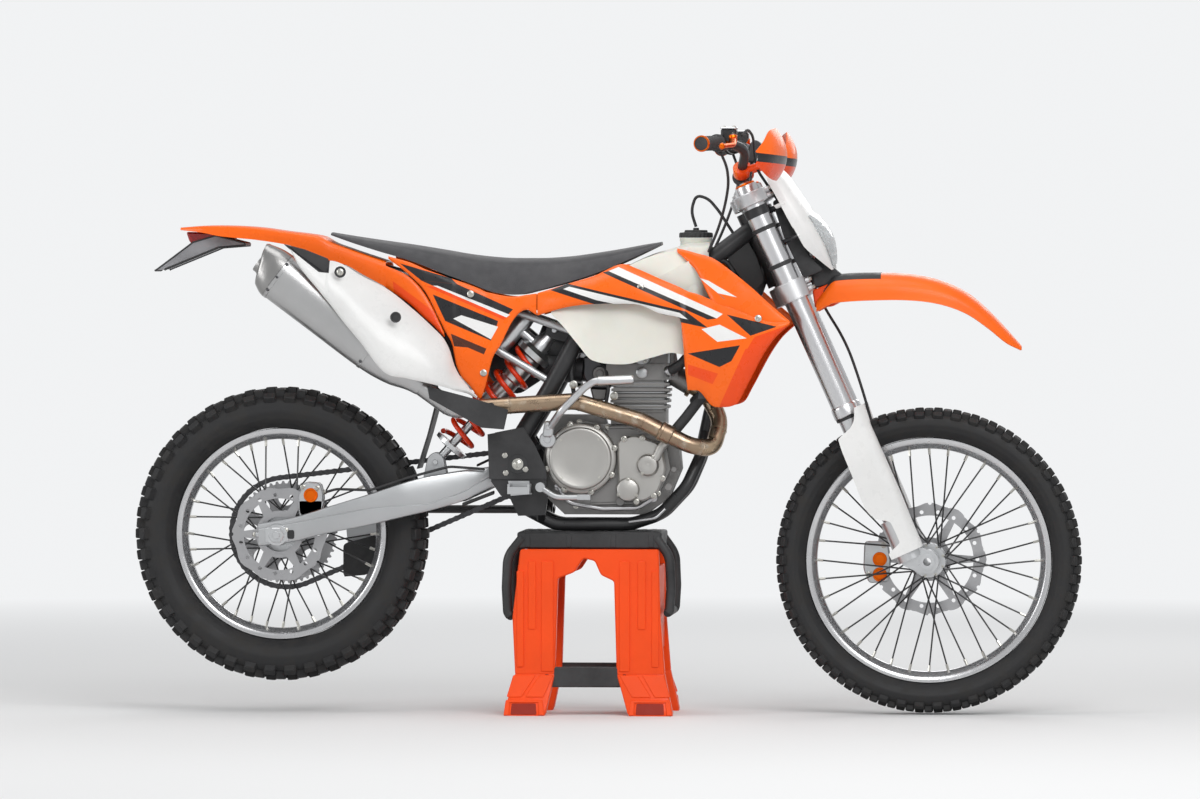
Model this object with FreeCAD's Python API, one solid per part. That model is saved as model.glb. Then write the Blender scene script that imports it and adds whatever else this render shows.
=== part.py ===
import FreeCAD, Part
import math
import os

# Enduro dirt bike standing on a moulded paddock stand, in millimetres.
# +X is the way the bike faces, +Y its left side and +Z up.
# The pieces are drawn from a point on the floor below the engine, and each is moved at the end by
# MIDDLE_X, so that the origin is on the floor below the middle of the bike's length.

V = FreeCAD.Vector

# Driving dimensions of the whole bike
WHEELBASE = 1484.0
FRONT_AXLE_X = 711.0
FRONT_AXLE_Z = 352.0
REAR_AXLE_Z = 410.0
RAKE = 24.0
FORK_SPACING = 206.0
CLAMP_OFFSET = 22.0
AXLE_LEAD = 32.0
LOWER_CLAMP_TO_AXLE = 687.0
CLAMP_SPACING = 229.0
BAR_WIDTH = 810.0

# Clearances: seated faces, running fits on axles, and moving pieces past fixed ones
SEAT_GAP = 0.3
RUN_FIT = 0.5
MOVE_GAP = 6.0

# Front wheel
FRONT_TYRE_R = 350.0
FRONT_TYRE_WIDTH = 90.0
FRONT_LUG_HEIGHT = 12.0
FRONT_RIM_R = 280.0
FRONT_RIM_WIDTH = 48.0
FRONT_HUB_FLANGE_R = 40.0
FRONT_HUB_WIDTH = 76.0
FRONT_DISC_R = 130.0
FRONT_DISC_Y = 62.0

# Rear wheel
REAR_TYRE_R = 338.0
REAR_TYRE_WIDTH = 132.0
REAR_LUG_HEIGHT = 14.0
REAR_RIM_R = 242.0
REAR_RIM_WIDTH = 62.0
REAR_HUB_FLANGE_R = 52.0
REAR_HUB_WIDTH = 84.0
REAR_DISC_R = 110.0
REAR_DISC_Y = -70.0

# What both wheels share
LUG_ROWS = 38
LUG_SHARE = 0.45
RIM_DEPTH = 20.0
SPOKES = 36
SPOKE_R = 1.9
SPOKE_CROSS = 38.0
AXLE_R = 13.0
AXLE_BORE_R = 9.0
DISC_THICKNESS = 4.0

# Chain drive on the left side
CHAIN_Y = 82.0
CHAIN_WIDTH = 17.0
CHAIN_HEIGHT = 14.0
CHAIN_PITCH = 15.875
CHAIN_WAIST = 2.6
FRONT_TEETH = 13
REAR_TEETH = 50
SPROCKET_THICKNESS = 6.0
FRONT_SPROCKET_X = -150.0
FRONT_SPROCKET_Z = 578.0

# Fork and steering
FORK_OUTER_R = 27.0
FORK_INNER_R = 24.0
FORK_TOP = 262.0
FORK_OUTER_BOTTOM = -311.0
STEM_R = 15.0
HEAD_TUBE_R = 29.0
LOWER_CLAMP_HEIGHT = 44.0
UPPER_CLAMP_HEIGHT = 30.0

# Frame tubes
PIVOT_X = -223.0
PIVOT_Z = 572.0
CRADLE_TUBE_R = 14.0
CRADLE_Z = 433.0
CRADLE_Y = 62.0
DOWN_TUBE_R = 19.0
SPAR_R = 20.0
SUBFRAME_TUBE_R = 9.0
PIVOT_PLATE_Y = 104.0
PLATE_THICKNESS = 12.0

# Paddock stand
STAND_TOP_THICKNESS = 40.0
STAND_TOP_HALF_WIDTH = 112.0
STAND_FOOT_HALF_WIDTH = 150.0
STAND_WALL = 26.0
STAND_OUTER = 122.0
STAND_BAR_Z = (66.0, 108.0)

# Worked out from the driving dimensions
REAR_AXLE_X = FRONT_AXLE_X - WHEELBASE
MIDDLE_X = (FRONT_AXLE_X + FRONT_TYRE_R + REAR_AXLE_X - REAR_TYRE_R) / 2.0
FORK_Y = FORK_SPACING / 2.0
BAR_HALF = BAR_WIDTH / 2.0
FRONT_SPROCKET_R = CHAIN_PITCH / (2.0 * math.sin(math.pi / FRONT_TEETH))
REAR_SPROCKET_R = CHAIN_PITCH / (2.0 * math.sin(math.pi / REAR_TEETH))
STAND_TOP_Z = CRADLE_Z - CRADLE_TUBE_R - SEAT_GAP
SIN_RAKE = math.sin(math.radians(RAKE))
COS_RAKE = math.cos(math.radians(RAKE))
FORK_UP = V(-SIN_RAKE, 0, COS_RAKE)
FORK_AHEAD = V(COS_RAKE, 0, SIN_RAKE)
SIDE = V(0, 1, 0)
FRONT_AXLE = V(FRONT_AXLE_X, 0, FRONT_AXLE_Z)
REAR_AXLE = V(REAR_AXLE_X, 0, REAR_AXLE_Z)
LOWER_CLAMP = FRONT_AXLE + FORK_UP * LOWER_CLAMP_TO_AXLE - FORK_AHEAD * AXLE_LEAD


def fork_point(up, ahead=0.0, y=0.0):
    """A point in the fork's own frame: up its legs from the lower clamp, ahead of them, and to the left."""
    return LOWER_CLAMP + FORK_UP * up + FORK_AHEAD * ahead + V(0, y, 0)


# Shapes that the sub-parts are made from

def rod(start, end, radius):
    """A round bar from one point to another."""
    run = end - start
    return Part.makeCylinder(radius, run.Length, start, run)


def ring(start, end, outer, inner):
    """A round tube from one point to another."""
    return rod(start, end, outer).cut(rod(start - (end - start), end + (end - start), inner))


def block(x0, x1, y0, y1, z0, z1):
    """A box between two corners."""
    return Part.makeBox(x1 - x0, y1 - y0, z1 - z0, V(x0, y0, z0))


def polygon(points):
    """A closed wire of straight edges through the points."""
    return Part.makePolygon(points + [points[0]])


def plate(outline, y0, y1):
    """A flat plate: an outline of X and Z pairs, extruded from one Y to another."""
    face = Part.Face(polygon([V(x, y0, z) for x, z in outline]))
    return face.extrude(V(0, y1 - y0, 0))


def rounded(shape, radius, edges):
    """The shape with the chosen edges rounded."""
    return shape.makeFillet(radius, edges)


def tangent_path(points, radius):
    """Straight runs through the points, joined by tangent arcs of the wanted radius, or what the runs allow."""
    edges = []
    start = points[0]
    for before, corner, after in zip(points, points[1:], points[2:]):
        back = (before - corner)
        ahead = (after - corner)
        turn = math.pi - back.getAngle(ahead)
        reach = min(radius * math.tan(turn / 2.0), 0.45 * back.Length, 0.45 * ahead.Length)
        back.normalize()
        ahead.normalize()
        arc_start = corner + back * reach
        arc_end = corner + ahead * reach
        middle_way = back + ahead
        middle_way.normalize()
        arc_radius = reach / math.tan(turn / 2.0)
        centre = corner + middle_way * (arc_radius / math.cos(turn / 2.0))
        arc_middle = centre - middle_way * arc_radius
        edges.append(Part.LineSegment(start, arc_start).toShape())
        edges.append(Part.Arc(arc_start, arc_middle, arc_end).toShape())
        start = arc_end
    edges.append(Part.LineSegment(start, points[-1]).toShape())
    return Part.Wire(edges)


def pipe(points, radius, bend):
    """A solid round tube along straight runs and tangent arcs."""
    path = tangent_path(points, bend)
    run = points[1] - points[0]
    section = Part.Wire(Part.makeCircle(radius, points[0], run))
    return path.makePipeShell([section], True, False)


def joined(shapes):
    """One solid of shapes that overlap."""
    first = shapes[0]
    return first.multiFuse(shapes[1:]).removeSplitter()


def mirrored(shape):
    """The same shape on the bike's other side."""
    return shape.mirror(V(0, 0, 0), V(0, 1, 0))


def both_sides(shape):
    """The shape and its mirror image, as solids that don't touch."""
    return Part.Compound([shape, mirrored(shape)])


def loft(wires):
    """A solid with straight rulings from each closed wire to the next."""
    return Part.makeLoft(wires, True, True)


def side_panel_solid(stations, wall):
    """A curved panel: at each X a bowed strip from its low edge to its high edge, a wall thick.

    A station is X, low Z, high Z, and the Y of the outer face at the low edge, halfway up and at the high edge.
    """
    wires = []
    for x, low, high, y_low, y_mid, y_high in stations:
        mid = (low + high) / 2.0
        outer = [V(x, y_low, low), V(x, (y_low + y_mid * 3) / 4.0, (low + mid) / 2.0), V(x, y_mid, mid),
                 V(x, (y_high + y_mid * 3) / 4.0, (high + mid) / 2.0), V(x, y_high, high)]
        inner = [point + V(0, wall, 0) for point in reversed(outer)]
        wires.append(polygon(outer + inner))
    return loft(wires)


def crowned_section(x, low, high, half_low, half_high, crown):
    """A closed section across the bike: flat below, sloping sides, and a top that rises by the crown."""
    shoulder = high - crown
    points = [V(x, -half_low, low), V(x, half_low, low), V(x, half_high, shoulder),
              V(x, half_high * 0.8, shoulder + crown * 0.55), V(x, half_high * 0.4, high - crown * 0.1),
              V(x, -half_high * 0.4, high - crown * 0.1), V(x, -half_high * 0.8, shoulder + crown * 0.55),
              V(x, -half_high, shoulder)]
    return polygon(points)


# Wheels

def faceted_ring(centre, profile, facets):
    """A ring of flat facets about a wheel's axle, from a profile of radius and Y pairs."""
    wires = []
    step = 2.0 * math.pi / facets
    shapes = []
    for index in range(facets):
        angle = (index + 0.5) * step
        wires.append(polygon([centre + V(r * math.cos(angle), y, r * math.sin(angle)) for r, y in profile]))
    count = len(profile)
    for index, wire in enumerate(wires):
        ahead = wires[(index + 1) % facets]
        near = [vertex.Point for vertex in wire.OrderedVertexes]
        far = [vertex.Point for vertex in ahead.OrderedVertexes]
        for corner in range(count):
            after = (corner + 1) % count
            shapes.append(Part.Face(polygon([near[corner], near[after], far[after], far[corner]])))
    shell = Part.makeShell(shapes)
    solid = Part.makeSolid(shell)
    if solid.Volume < 0:
        solid.reverse()
    return solid


def tyre_profile(tread_r, rim_r, rim_width, width):
    """The carcass's section: a foot on the rim's flanges, bulged walls, shoulders and a flat tread."""
    half = width / 2.0
    depth = tread_r - rim_r
    side = [(rim_r, rim_width / 2.0), (rim_r + depth * 0.5, half * 0.94), (tread_r - depth * 0.2, half * 0.94),
            (tread_r, half * 0.55)]
    return side + [(r, -y) for r, y in reversed(side)]


def tyre_lug(centre, angle, length, section):
    """One tread lug: a section of radius and Y pairs, as long along the tread as its length, at an angle."""
    out = V(math.cos(angle), 0, math.sin(angle))
    along = V(-math.sin(angle), 0, math.cos(angle))
    corners = [centre + out * r + SIDE * y - along * (length / 2.0) for r, y in section]
    return Part.Face(polygon(corners)).extrude(along * length)


def lug_sections(outer_r, tread_r, width):
    """The lugs' sections: two middle ones beside the centre line, a wide middle one, and the edge ones."""
    half = width / 2.0
    root = tread_r - 5.0
    pair = [(root, half * 0.08), (outer_r, half * 0.10), (outer_r, half * 0.42), (root, half * 0.46)]
    wide = [(root, -half * 0.26), (outer_r, -half * 0.23), (outer_r, half * 0.23), (root, half * 0.26)]
    edge = [(root, half * 0.56), (outer_r - 1.0, half * 0.60), (outer_r - 7.0, half * 0.98), (root - 16.0, half),
            (root - 18.0, half * 0.86)]
    return pair, wide, edge


def tyre(centre, outer_r, lug_height, rim_r, rim_width, width):
    """A knobbly tyre: a faceted carcass with rows of two middle lugs, or a wide one and one at each edge."""
    foot_r = (rim_r + SEAT_GAP) / math.cos(math.pi / LUG_ROWS)
    tread_r = outer_r - lug_height
    pair, wide, edge = lug_sections(outer_r, tread_r, width)
    length = 2.0 * math.pi * outer_r / LUG_ROWS * LUG_SHARE
    lugs = []
    for row in range(LUG_ROWS):
        angle = 2.0 * math.pi * row / LUG_ROWS
        sections = [pair] if row % 2 else [edge]
        mirrored_sections = [[(r, -y) for r, y in reversed(section)] for section in sections]
        middle = [] if row % 2 else [wide]
        for section in sections + mirrored_sections + middle:
            lugs.append(tyre_lug(centre, angle, length, section))
    carcass = faceted_ring(centre, tyre_profile(tread_r, foot_r, rim_width, width), LUG_ROWS)
    return carcass.fuse(lugs).removeSplitter()


def revolved(centre, profile):
    """A solid turned about a wheel's axle from a closed profile of radius and Y pairs."""
    face = Part.Face(polygon([centre + V(r, y, 0) for r, y in profile]))
    return face.revolve(centre, SIDE, 360)


def rim(centre, rim_r, width):
    """A spoked wheel's rim: a drop-centre channel with flanges that hold the beads."""
    half = width / 2.0
    well = rim_r - RIM_DEPTH
    bead_seat = rim_r - 12.0
    wall = 3.0
    return revolved(centre, [(rim_r, half), (rim_r, half - wall), (bead_seat, half - wall), (bead_seat - 2, half * 0.5),
                             (well, half * 0.3), (well, -half * 0.3), (bead_seat - 2, -half * 0.5),
                             (bead_seat, wall - half), (rim_r, wall - half), (rim_r, -half),
                             (bead_seat - 4, -half), (well - 5, -half * 0.42), (well - 5, half * 0.42),
                             (bead_seat - 4, half)])


def hub_and_spokes(centre, rim_r, flange_r, width, carriers):
    """A hub with two flanges, crossed spokes to the rim, and spigots for a disc or sprocket."""
    half = width / 2.0
    bore = AXLE_R + RUN_FIT
    flange = 6.0
    barrel_r = flange_r - 14.0
    boss_r = AXLE_R + 9.0
    boss = 10.0
    hub = revolved(centre, [(bore, -half - boss), (boss_r, -half - boss), (boss_r, -half), (flange_r, -half),
                            (flange_r, flange - half), (barrel_r, flange - half + 6), (barrel_r, half - flange - 6),
                            (flange_r, half - flange), (flange_r, half), (boss_r, half), (boss_r, half + boss),
                            (bore, half + boss)])
    shapes = [hub]
    for face_y, carrier_r in carriers:
        start = half - 2.0 if face_y > 0 else 2.0 - half
        shapes.append(ring(centre + SIDE * start, centre + SIDE * face_y, carrier_r, boss_r - 1.0))
    inner_r = flange_r - 5.0
    outer_r = rim_r - RIM_DEPTH - 5.0 - SEAT_GAP - 0.7
    for index in range(SPOKES):
        side = 1 if index % 2 else -1
        lean = SPOKE_CROSS if (index // 2) % 2 else -SPOKE_CROSS
        rim_angle = math.radians(index * 360.0 / SPOKES)
        hub_angle = rim_angle + math.radians(lean)
        start = centre + V(inner_r * math.cos(hub_angle), side * (half - 3), inner_r * math.sin(hub_angle))
        end = centre + V(outer_r * math.cos(rim_angle), side * 6, outer_r * math.sin(rim_angle))
        shapes.append(rod(start, end, SPOKE_R))
    return joined(shapes)


def disc(centre, radius, inner_r, collar_r, y, holes, lobes):
    """A brake disc with a waved edge and a ring of round holes."""
    wave = 3.0
    points = []
    steps = lobes * 6
    for index in range(steps):
        angle = 2.0 * math.pi * index / steps
        r = radius - wave + wave * math.cos(lobes * angle)
        points.append(centre + V(r * math.cos(angle), y - DISC_THICKNESS / 2.0, r * math.sin(angle)))
    body = Part.Face(polygon(points)).extrude(V(0, DISC_THICKNESS, 0))
    cuts = [rod(centre + V(0, y - 10, 0), centre + V(0, y + 10, 0), inner_r)]
    mid_r = (radius + inner_r) / 2.0 + 4.0
    for index in range(holes):
        angle = 2.0 * math.pi * index / holes
        r = mid_r + (10.0 if index % 2 else -10.0)
        at = centre + V(r * math.cos(angle), 0, r * math.sin(angle))
        cuts.append(rod(at + V(0, y - 10, 0), at + V(0, y + 10, 0), 4.5))
    ring_shape = body.cut(cuts)
    arms = []
    arm_inner = collar_r
    for index in range(6):
        angle = 2.0 * math.pi * index / 6
        out = V(math.cos(angle), 0, math.sin(angle))
        across = V(-math.sin(angle), 0, math.cos(angle))
        base = centre + V(0, y - DISC_THICKNESS / 2.0, 0)
        corners = [base + out * arm_inner + across * 12, base + out * arm_inner - across * 12,
                   base + out * (inner_r + 3) - across * 7, base + out * (inner_r + 3) + across * 7]
        arms.append(Part.Face(polygon(corners)).extrude(V(0, DISC_THICKNESS, 0)))
    collar = ring(centre + V(0, y - DISC_THICKNESS / 2.0, 0), centre + V(0, y + DISC_THICKNESS / 2.0, 0),
                  arm_inner + 6.0, arm_inner - 8.0)
    return joined([ring_shape, collar] + arms)


def sprocket(centre, teeth, pitch_r, y, thickness, inner_r):
    """A toothed sprocket, with round lightening holes where it is large."""
    tip_r = pitch_r - CHAIN_HEIGHT / 2.0 - 3.0 * SEAT_GAP
    root_r = tip_r - 6.0
    points = []
    for index in range(teeth):
        for share, r in ((-0.32, root_r), (-0.12, tip_r), (0.12, tip_r), (0.32, root_r)):
            angle = 2.0 * math.pi * (index + share) / teeth
            points.append(centre + V(r * math.cos(angle), y - thickness / 2.0, r * math.sin(angle)))
    body = Part.Face(polygon(points)).extrude(V(0, thickness, 0))
    through = V(0, thickness * 2, 0)
    cuts = [rod(centre + V(0, y, 0) - through, centre + V(0, y, 0) + through, inner_r)]
    if pitch_r > 2 * inner_r:
        hole_r = (root_r - inner_r) * 0.26
        for index in range(8):
            angle = 2.0 * math.pi * index / 8
            mid_r = (root_r + inner_r) / 2.0 + 4.0
            at = centre + V(mid_r * math.cos(angle), y, mid_r * math.sin(angle))
            cuts.append(rod(at - through, at + through, hole_r))
    return body.cut(cuts)


def axle(centre, half_length, nut_r, spacer):
    """A hollow spindle with a head at each end, and a spacer between the hub and each carrier."""
    head = 10.0
    inner, outer, spacer_r = spacer
    spindle = rod(centre - SIDE * half_length, centre + SIDE * half_length, AXLE_R)
    right_head = rod(centre - SIDE * (half_length + head), centre - SIDE * half_length, nut_r)
    left_head = rod(centre + SIDE * half_length, centre + SIDE * (half_length + head), nut_r)
    bore = rod(centre - SIDE * (half_length + 2 * head), centre + SIDE * (half_length + 2 * head), AXLE_BORE_R)
    spacers = [rod(centre + SIDE * (side * inner), centre + SIDE * (side * outer), spacer_r) for side in (-1, 1)]
    return joined([spindle, right_head, left_head] + spacers).cut(bore)


def chain_band(grow, waist):
    """The chain's outline at a distance outside its pitch line, narrowed by the waist between the pins."""
    front = V(FRONT_SPROCKET_X, 0, FRONT_SPROCKET_Z)
    run = front - REAR_AXLE
    base = math.atan2(run.z, run.x)
    lean = math.asin((REAR_SPROCKET_R - FRONT_SPROCKET_R) / run.Length)
    points = []
    for centre, radius, start, end, steps in (
            (REAR_AXLE, REAR_SPROCKET_R, base + math.pi / 2 - lean, base + 1.5 * math.pi + lean, 28),
            (front, FRONT_SPROCKET_R, base - math.pi / 2 + lean, base + math.pi / 2 - lean, 8)):
        for index in range(steps + 1):
            angle = start + (end - start) * index / steps
            out = V(math.cos(angle), 0, math.sin(angle))
            points.append(centre + out * (radius + grow) - SIDE * (CHAIN_WIDTH / 2.0 - CHAIN_Y))
        out = V(math.cos(end), 0, math.sin(end))
        along = V(-out.z, 0, out.x)
        length = run.Length * math.cos(lean)
        links = int(length / CHAIN_PITCH) if waist else 0
        last = points[-1]
        for link in range(1, 2 * links):
            inset = waist if link % 2 else 0.0
            points.append(last + along * (length * link / (2.0 * links)) - out * inset)
    return polygon(points)


def chain():
    """The drive chain as one closed band round both sprockets, its plates waisted on the outer side."""
    half = CHAIN_HEIGHT / 2.0
    outer = Part.Face(chain_band(half, CHAIN_WAIST)).extrude(V(0, CHAIN_WIDTH, 0))
    inner = Part.Face(chain_band(-half, 0.0)).extrude(V(0, CHAIN_WIDTH, 0))
    return outer.cut(inner)


# Fork, clamps and what turns with them

def clamp(up, height, front):
    """A fork clamp: two split rings round the legs, a bridge between them and a boss for the stem."""
    leg_wall = 10.0
    half = height / 2.0
    ends = FORK_UP * half
    shapes = []
    bores = []
    for side in (-1, 1):
        middle = fork_point(up, 0, side * FORK_Y)
        shapes.append(rod(middle - ends, middle + ends, FORK_OUTER_R + leg_wall))
        bores.append(rod(middle - ends * 2, middle + ends * 2, FORK_OUTER_R + SEAT_GAP))
    stem = fork_point(up, -CLAMP_OFFSET)
    shapes.append(rod(stem - ends, stem + ends, STEM_R + 14.0))
    low = half * 0.8
    corners = [fork_point(up - low, -CLAMP_OFFSET - 20, -28), fork_point(up - low, -30, -FORK_Y),
               fork_point(up - low, front, -FORK_Y), fork_point(up - low, front + 4, 0),
               fork_point(up - low, front, FORK_Y), fork_point(up - low, -30, FORK_Y),
               fork_point(up - low, -CLAMP_OFFSET - 20, 28)]
    shapes.append(Part.Face(polygon(corners)).extrude(FORK_UP * (2 * low)))
    bores.append(rod(stem - ends * 2, stem + ends * 2, STEM_R + SEAT_GAP))
    return joined(shapes).cut(bores)


def steering_stem():
    """The stem through the head tube, with a nut above the upper clamp."""
    bottom = fork_point(-LOWER_CLAMP_HEIGHT / 2.0, -CLAMP_OFFSET)
    top = fork_point(CLAMP_SPACING + UPPER_CLAMP_HEIGHT / 2.0 + 14.0, -CLAMP_OFFSET)
    nut_base = fork_point(CLAMP_SPACING + UPPER_CLAMP_HEIGHT / 2.0 + SEAT_GAP, -CLAMP_OFFSET)
    nut = rod(nut_base, nut_base + FORK_UP * 9.0, STEM_R + 6.0)
    return joined([rod(bottom, top, STEM_R), nut]).cut(rod(bottom - FORK_UP, top + FORK_UP, STEM_R - 5.0))


def fork_outer_tube(side):
    """An upper fork tube with its cap, and a lip that carries the seal at its lower end."""
    y = side * FORK_Y
    tube = rod(fork_point(FORK_OUTER_BOTTOM, 0, y), fork_point(FORK_TOP, 0, y), FORK_OUTER_R)
    lip = rod(fork_point(FORK_OUTER_BOTTOM, 0, y), fork_point(FORK_OUTER_BOTTOM + 26, 0, y), FORK_OUTER_R + 3.0)
    cap = rod(fork_point(FORK_TOP - 2, 0, y), fork_point(FORK_TOP + 8, 0, y), FORK_OUTER_R - 4.0)
    bore = rod(fork_point(FORK_OUTER_BOTTOM - 1, 0, y), fork_point(-80, 0, y), FORK_INNER_R + SEAT_GAP)
    return joined([tube, lip, cap]).cut(bore)


def fork_inner_tube(side):
    """A sliding fork tube, from inside the outer tube down to the axle foot."""
    y = side * FORK_Y
    return rod(fork_point(-LOWER_CLAMP_TO_AXLE + 62.0, 0, y), fork_point(-90, 0, y), FORK_INNER_R)


def fork_foot(side):
    """The casting at the bottom of a leg: a socket for the tube, and an eye ahead of it for the axle."""
    y = side * FORK_Y
    socket = rod(fork_point(-LOWER_CLAMP_TO_AXLE + 20.0, 0, y), fork_point(-LOWER_CLAMP_TO_AXLE + 120.0, 0, y),
                 FORK_INNER_R + 7.0)
    half = 19.0
    eye = rod(FRONT_AXLE + V(0, y - half, 0), FRONT_AXLE + V(0, y + half, 0), AXLE_R + 13.0)
    web_points = [fork_point(-LOWER_CLAMP_TO_AXLE + 40, 26, y - half + 3),
                  fork_point(-LOWER_CLAMP_TO_AXLE + 100, -26, y - half + 3),
                  fork_point(-LOWER_CLAMP_TO_AXLE + 14, -22, y - half + 3),
                  fork_point(-LOWER_CLAMP_TO_AXLE - 16, 6, y - half + 3),
                  fork_point(-LOWER_CLAMP_TO_AXLE - 20, AXLE_LEAD + 14, y - half + 3),
                  fork_point(-LOWER_CLAMP_TO_AXLE + 16, AXLE_LEAD + 22, y - half + 3)]
    web = Part.Face(polygon(web_points)).extrude(V(0, 2 * half - 6, 0))
    tube_bore = rod(fork_point(-LOWER_CLAMP_TO_AXLE + 62.0 - SEAT_GAP, 0, y),
                    fork_point(-LOWER_CLAMP_TO_AXLE + 140.0, 0, y), FORK_INNER_R + SEAT_GAP)
    axle_bore = rod(FRONT_AXLE - SIDE * 200, FRONT_AXLE + SIDE * 200, AXLE_R + SEAT_GAP)
    return joined([socket, eye, web]).cut([tube_bore, axle_bore])


def fork_guard(side):
    """A curved plastic guard ahead of a sliding tube, from below the outer tube down beside the axle foot."""
    reach = FORK_INNER_R + 14.0
    wall = 3.5
    y = side * FORK_Y
    stations = [(-300.0, 46, 22), (-338.0, 43, 46), (-352.0, 41, 80), (-440.0, 41, 85), (-510.0, 41, 88),
                (-548.0, 40, 76), (-573.0, 39, 46), (-620.0, 38, 44), (-637.0, 38, 78), (-650.0, 37, 76)]
    wires = []
    for up, ahead, width in stations:
        back = ahead - width
        out = side * (reach + wall)
        inset = side * reach
        wires.append(polygon([fork_point(up, back, y + out), fork_point(up, ahead - 18, y + out),
                              fork_point(up, ahead, y + out * 0.55), fork_point(up, ahead, y - out * 0.5),
                              fork_point(up, ahead - wall, y - out * 0.5), fork_point(up, ahead - wall, y + inset * 0.5),
                              fork_point(up, ahead - 18 - wall * 0.4, y + inset), fork_point(up, back, y + inset)]))
    lug = rod(fork_point(-600.0, 0.0, y + side * (FORK_INNER_R + 7.0 + SEAT_GAP)),
              fork_point(-600.0, 0.0, y + side * (reach + wall / 2.0)), 6.0)
    return joined([loft(wires), lug])


BAR_R = 11.0
BAR_CENTRE = V(284.0, 0.0, 1226.0)
BAR_POINTS = [V(284.0, 0.0, 1226.0), V(284.0, 80.0, 1226.0), V(300.0, 150.0, 1288.0), V(262.0, 212.0, 1303.0),
              V(214.0, BAR_HALF, 1298.0)]
GRIP_R = 17.0
GRIP_LENGTH = 122.0


def along_bar(distance):
    """The point on the left grip's line at a distance in from the bar's end."""
    way = BAR_POINTS[3] - BAR_POINTS[4]
    way.normalize()
    return BAR_POINTS[4] + way * distance


def handlebar():
    """The bent bar, open at both ends, with its clamps on the upper fork clamp."""
    path = [mirror_point(p) for p in reversed(BAR_POINTS[1:])] + BAR_POINTS[1:]
    bar = pipe(path, BAR_R, 60.0)
    shapes = [bar]
    for side in (-1, 1):
        foot = fork_point(CLAMP_SPACING + UPPER_CLAMP_HEIGHT / 2.0 + SEAT_GAP, -CLAMP_OFFSET + 8, side * 46.0)
        shapes.append(rod(foot, V(BAR_CENTRE.x, side * 46.0, BAR_CENTRE.z), 12.0))
        shapes.append(rod(V(BAR_CENTRE.x, side * 46.0 - 14, BAR_CENTRE.z), V(BAR_CENTRE.x, side * 46.0 + 14, BAR_CENTRE.z),
                          BAR_R + 9.0))
    solid = joined(shapes)
    for side in (-1, 1):
        end = V(BAR_POINTS[4].x, side * BAR_POINTS[4].y, BAR_POINTS[4].z)
        inner = along_bar(60.0)
        solid = solid.cut(rod(end + (end - V(inner.x, side * inner.y, inner.z)) * 0.1,
                              V(inner.x, side * inner.y, inner.z), BAR_R - 3.5))
    return solid


def mirror_point(point):
    return V(point.x, -point.y, point.z)


def grip():
    """The left grip: a ribbed rubber sleeve on the bar with a flange at its inner end."""
    start = along_bar(2.0)
    end = along_bar(2.0 + GRIP_LENGTH)
    way = end - start
    way.normalize()
    sleeve = rod(start, end, GRIP_R)
    flange = rod(end - way * 6, end, GRIP_R + 9.0)
    lip = rod(start, start + way * 5, GRIP_R + 3.0)
    return joined([sleeve, flange, lip]).cut(rod(start - way * 5, end + way * 5, BAR_R + SEAT_GAP))


def lever_set(front_reach):
    """The left control: a clamp on the bar, its fluid reservoir, and the lever ahead of the grip."""
    clamp_at = along_bar(GRIP_LENGTH + 30.0)
    way = along_bar(GRIP_LENGTH + 40.0) - clamp_at
    way.normalize()
    body = rod(clamp_at - way * 9, clamp_at + way * 9, BAR_R + 8.0)
    ahead = V(0.93, 0, 0.1)
    cylinder = rod(clamp_at + ahead * 16 + way * 34 + V(0, 0, 12), clamp_at + ahead * 26 - way * 28 + V(0, 0, 12), 11.0)
    tank_base = clamp_at + ahead * 16 + way * 8 + V(0, 0, 12)
    reservoir = Part.makeBox(38, 52, 22, tank_base + V(-19, -26, 0))
    pivot = clamp_at + ahead * 34 - way * 22 + V(0, 0, 6)
    perch = rod(pivot + V(0, 0, -9), pivot + V(0, 0, 9), 10.0)
    bridge = rod(clamp_at, pivot, 8.0)
    tip = along_bar(14.0) + V(front_reach, 0, -6)
    middle = along_bar(90.0) + V(front_reach + 4, 0, -4)
    lever = pipe([pivot, middle, tip], 6.0, 60.0)
    ball = Part.makeSphere(8.0, tip)
    return joined([body, cylinder, reservoir, perch, bridge, lever, ball]).cut(
        rod(clamp_at - way * 60, clamp_at + way * 60, BAR_R + SEAT_GAP))


def hand_guard():
    """The left hand guard: a bowed shield ahead of the lever, and the arm that clamps it to the bar."""
    wall = 4.0
    stations = [(150.0, 372.0, 1246.0, 1276.0), (190.0, 392.0, 1228.0, 1306.0), (250.0, 398.0, 1216.0, 1334.0),
                (320.0, 386.0, 1220.0, 1330.0), (372.0, 362.0, 1236.0, 1300.0), (394.0, 342.0, 1252.0, 1282.0)]
    wires = []
    for y, x, low, high in stations:
        mid = (low + high) / 2.0
        bow = (high - low) * 0.2
        wires.append(polygon([V(x - bow, y, low), V(x - bow * 0.2, y, (low + mid) / 2), V(x, y, mid),
                              V(x - bow * 0.2, y, (mid + high) / 2), V(x - bow, y, high),
                              V(x - bow - wall, y, high), V(x - bow * 0.2 - wall, y, (mid + high) / 2),
                              V(x - wall, y, mid), V(x - bow * 0.2 - wall, y, (low + mid) / 2),
                              V(x - bow - wall, y, low)]))
    shield = loft(wires)
    root = V(287.0, 98.0, 1240.0)
    arm = pipe([root, V(330.0, 112.0, 1252.0), V(366.0, 170.0, 1262.0), V(386.0, 205.0, 1266.0)], 8.0, 30.0)
    collar = rod(root - V(0, 10, 8), root + V(0, 10, 8), BAR_R + 8.0)
    bore = pipe([mirror_point(BAR_POINTS[1])] + BAR_POINTS[1:4], BAR_R + SEAT_GAP, 60.0)
    return joined([shield, arm, collar]).cut(bore)


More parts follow.
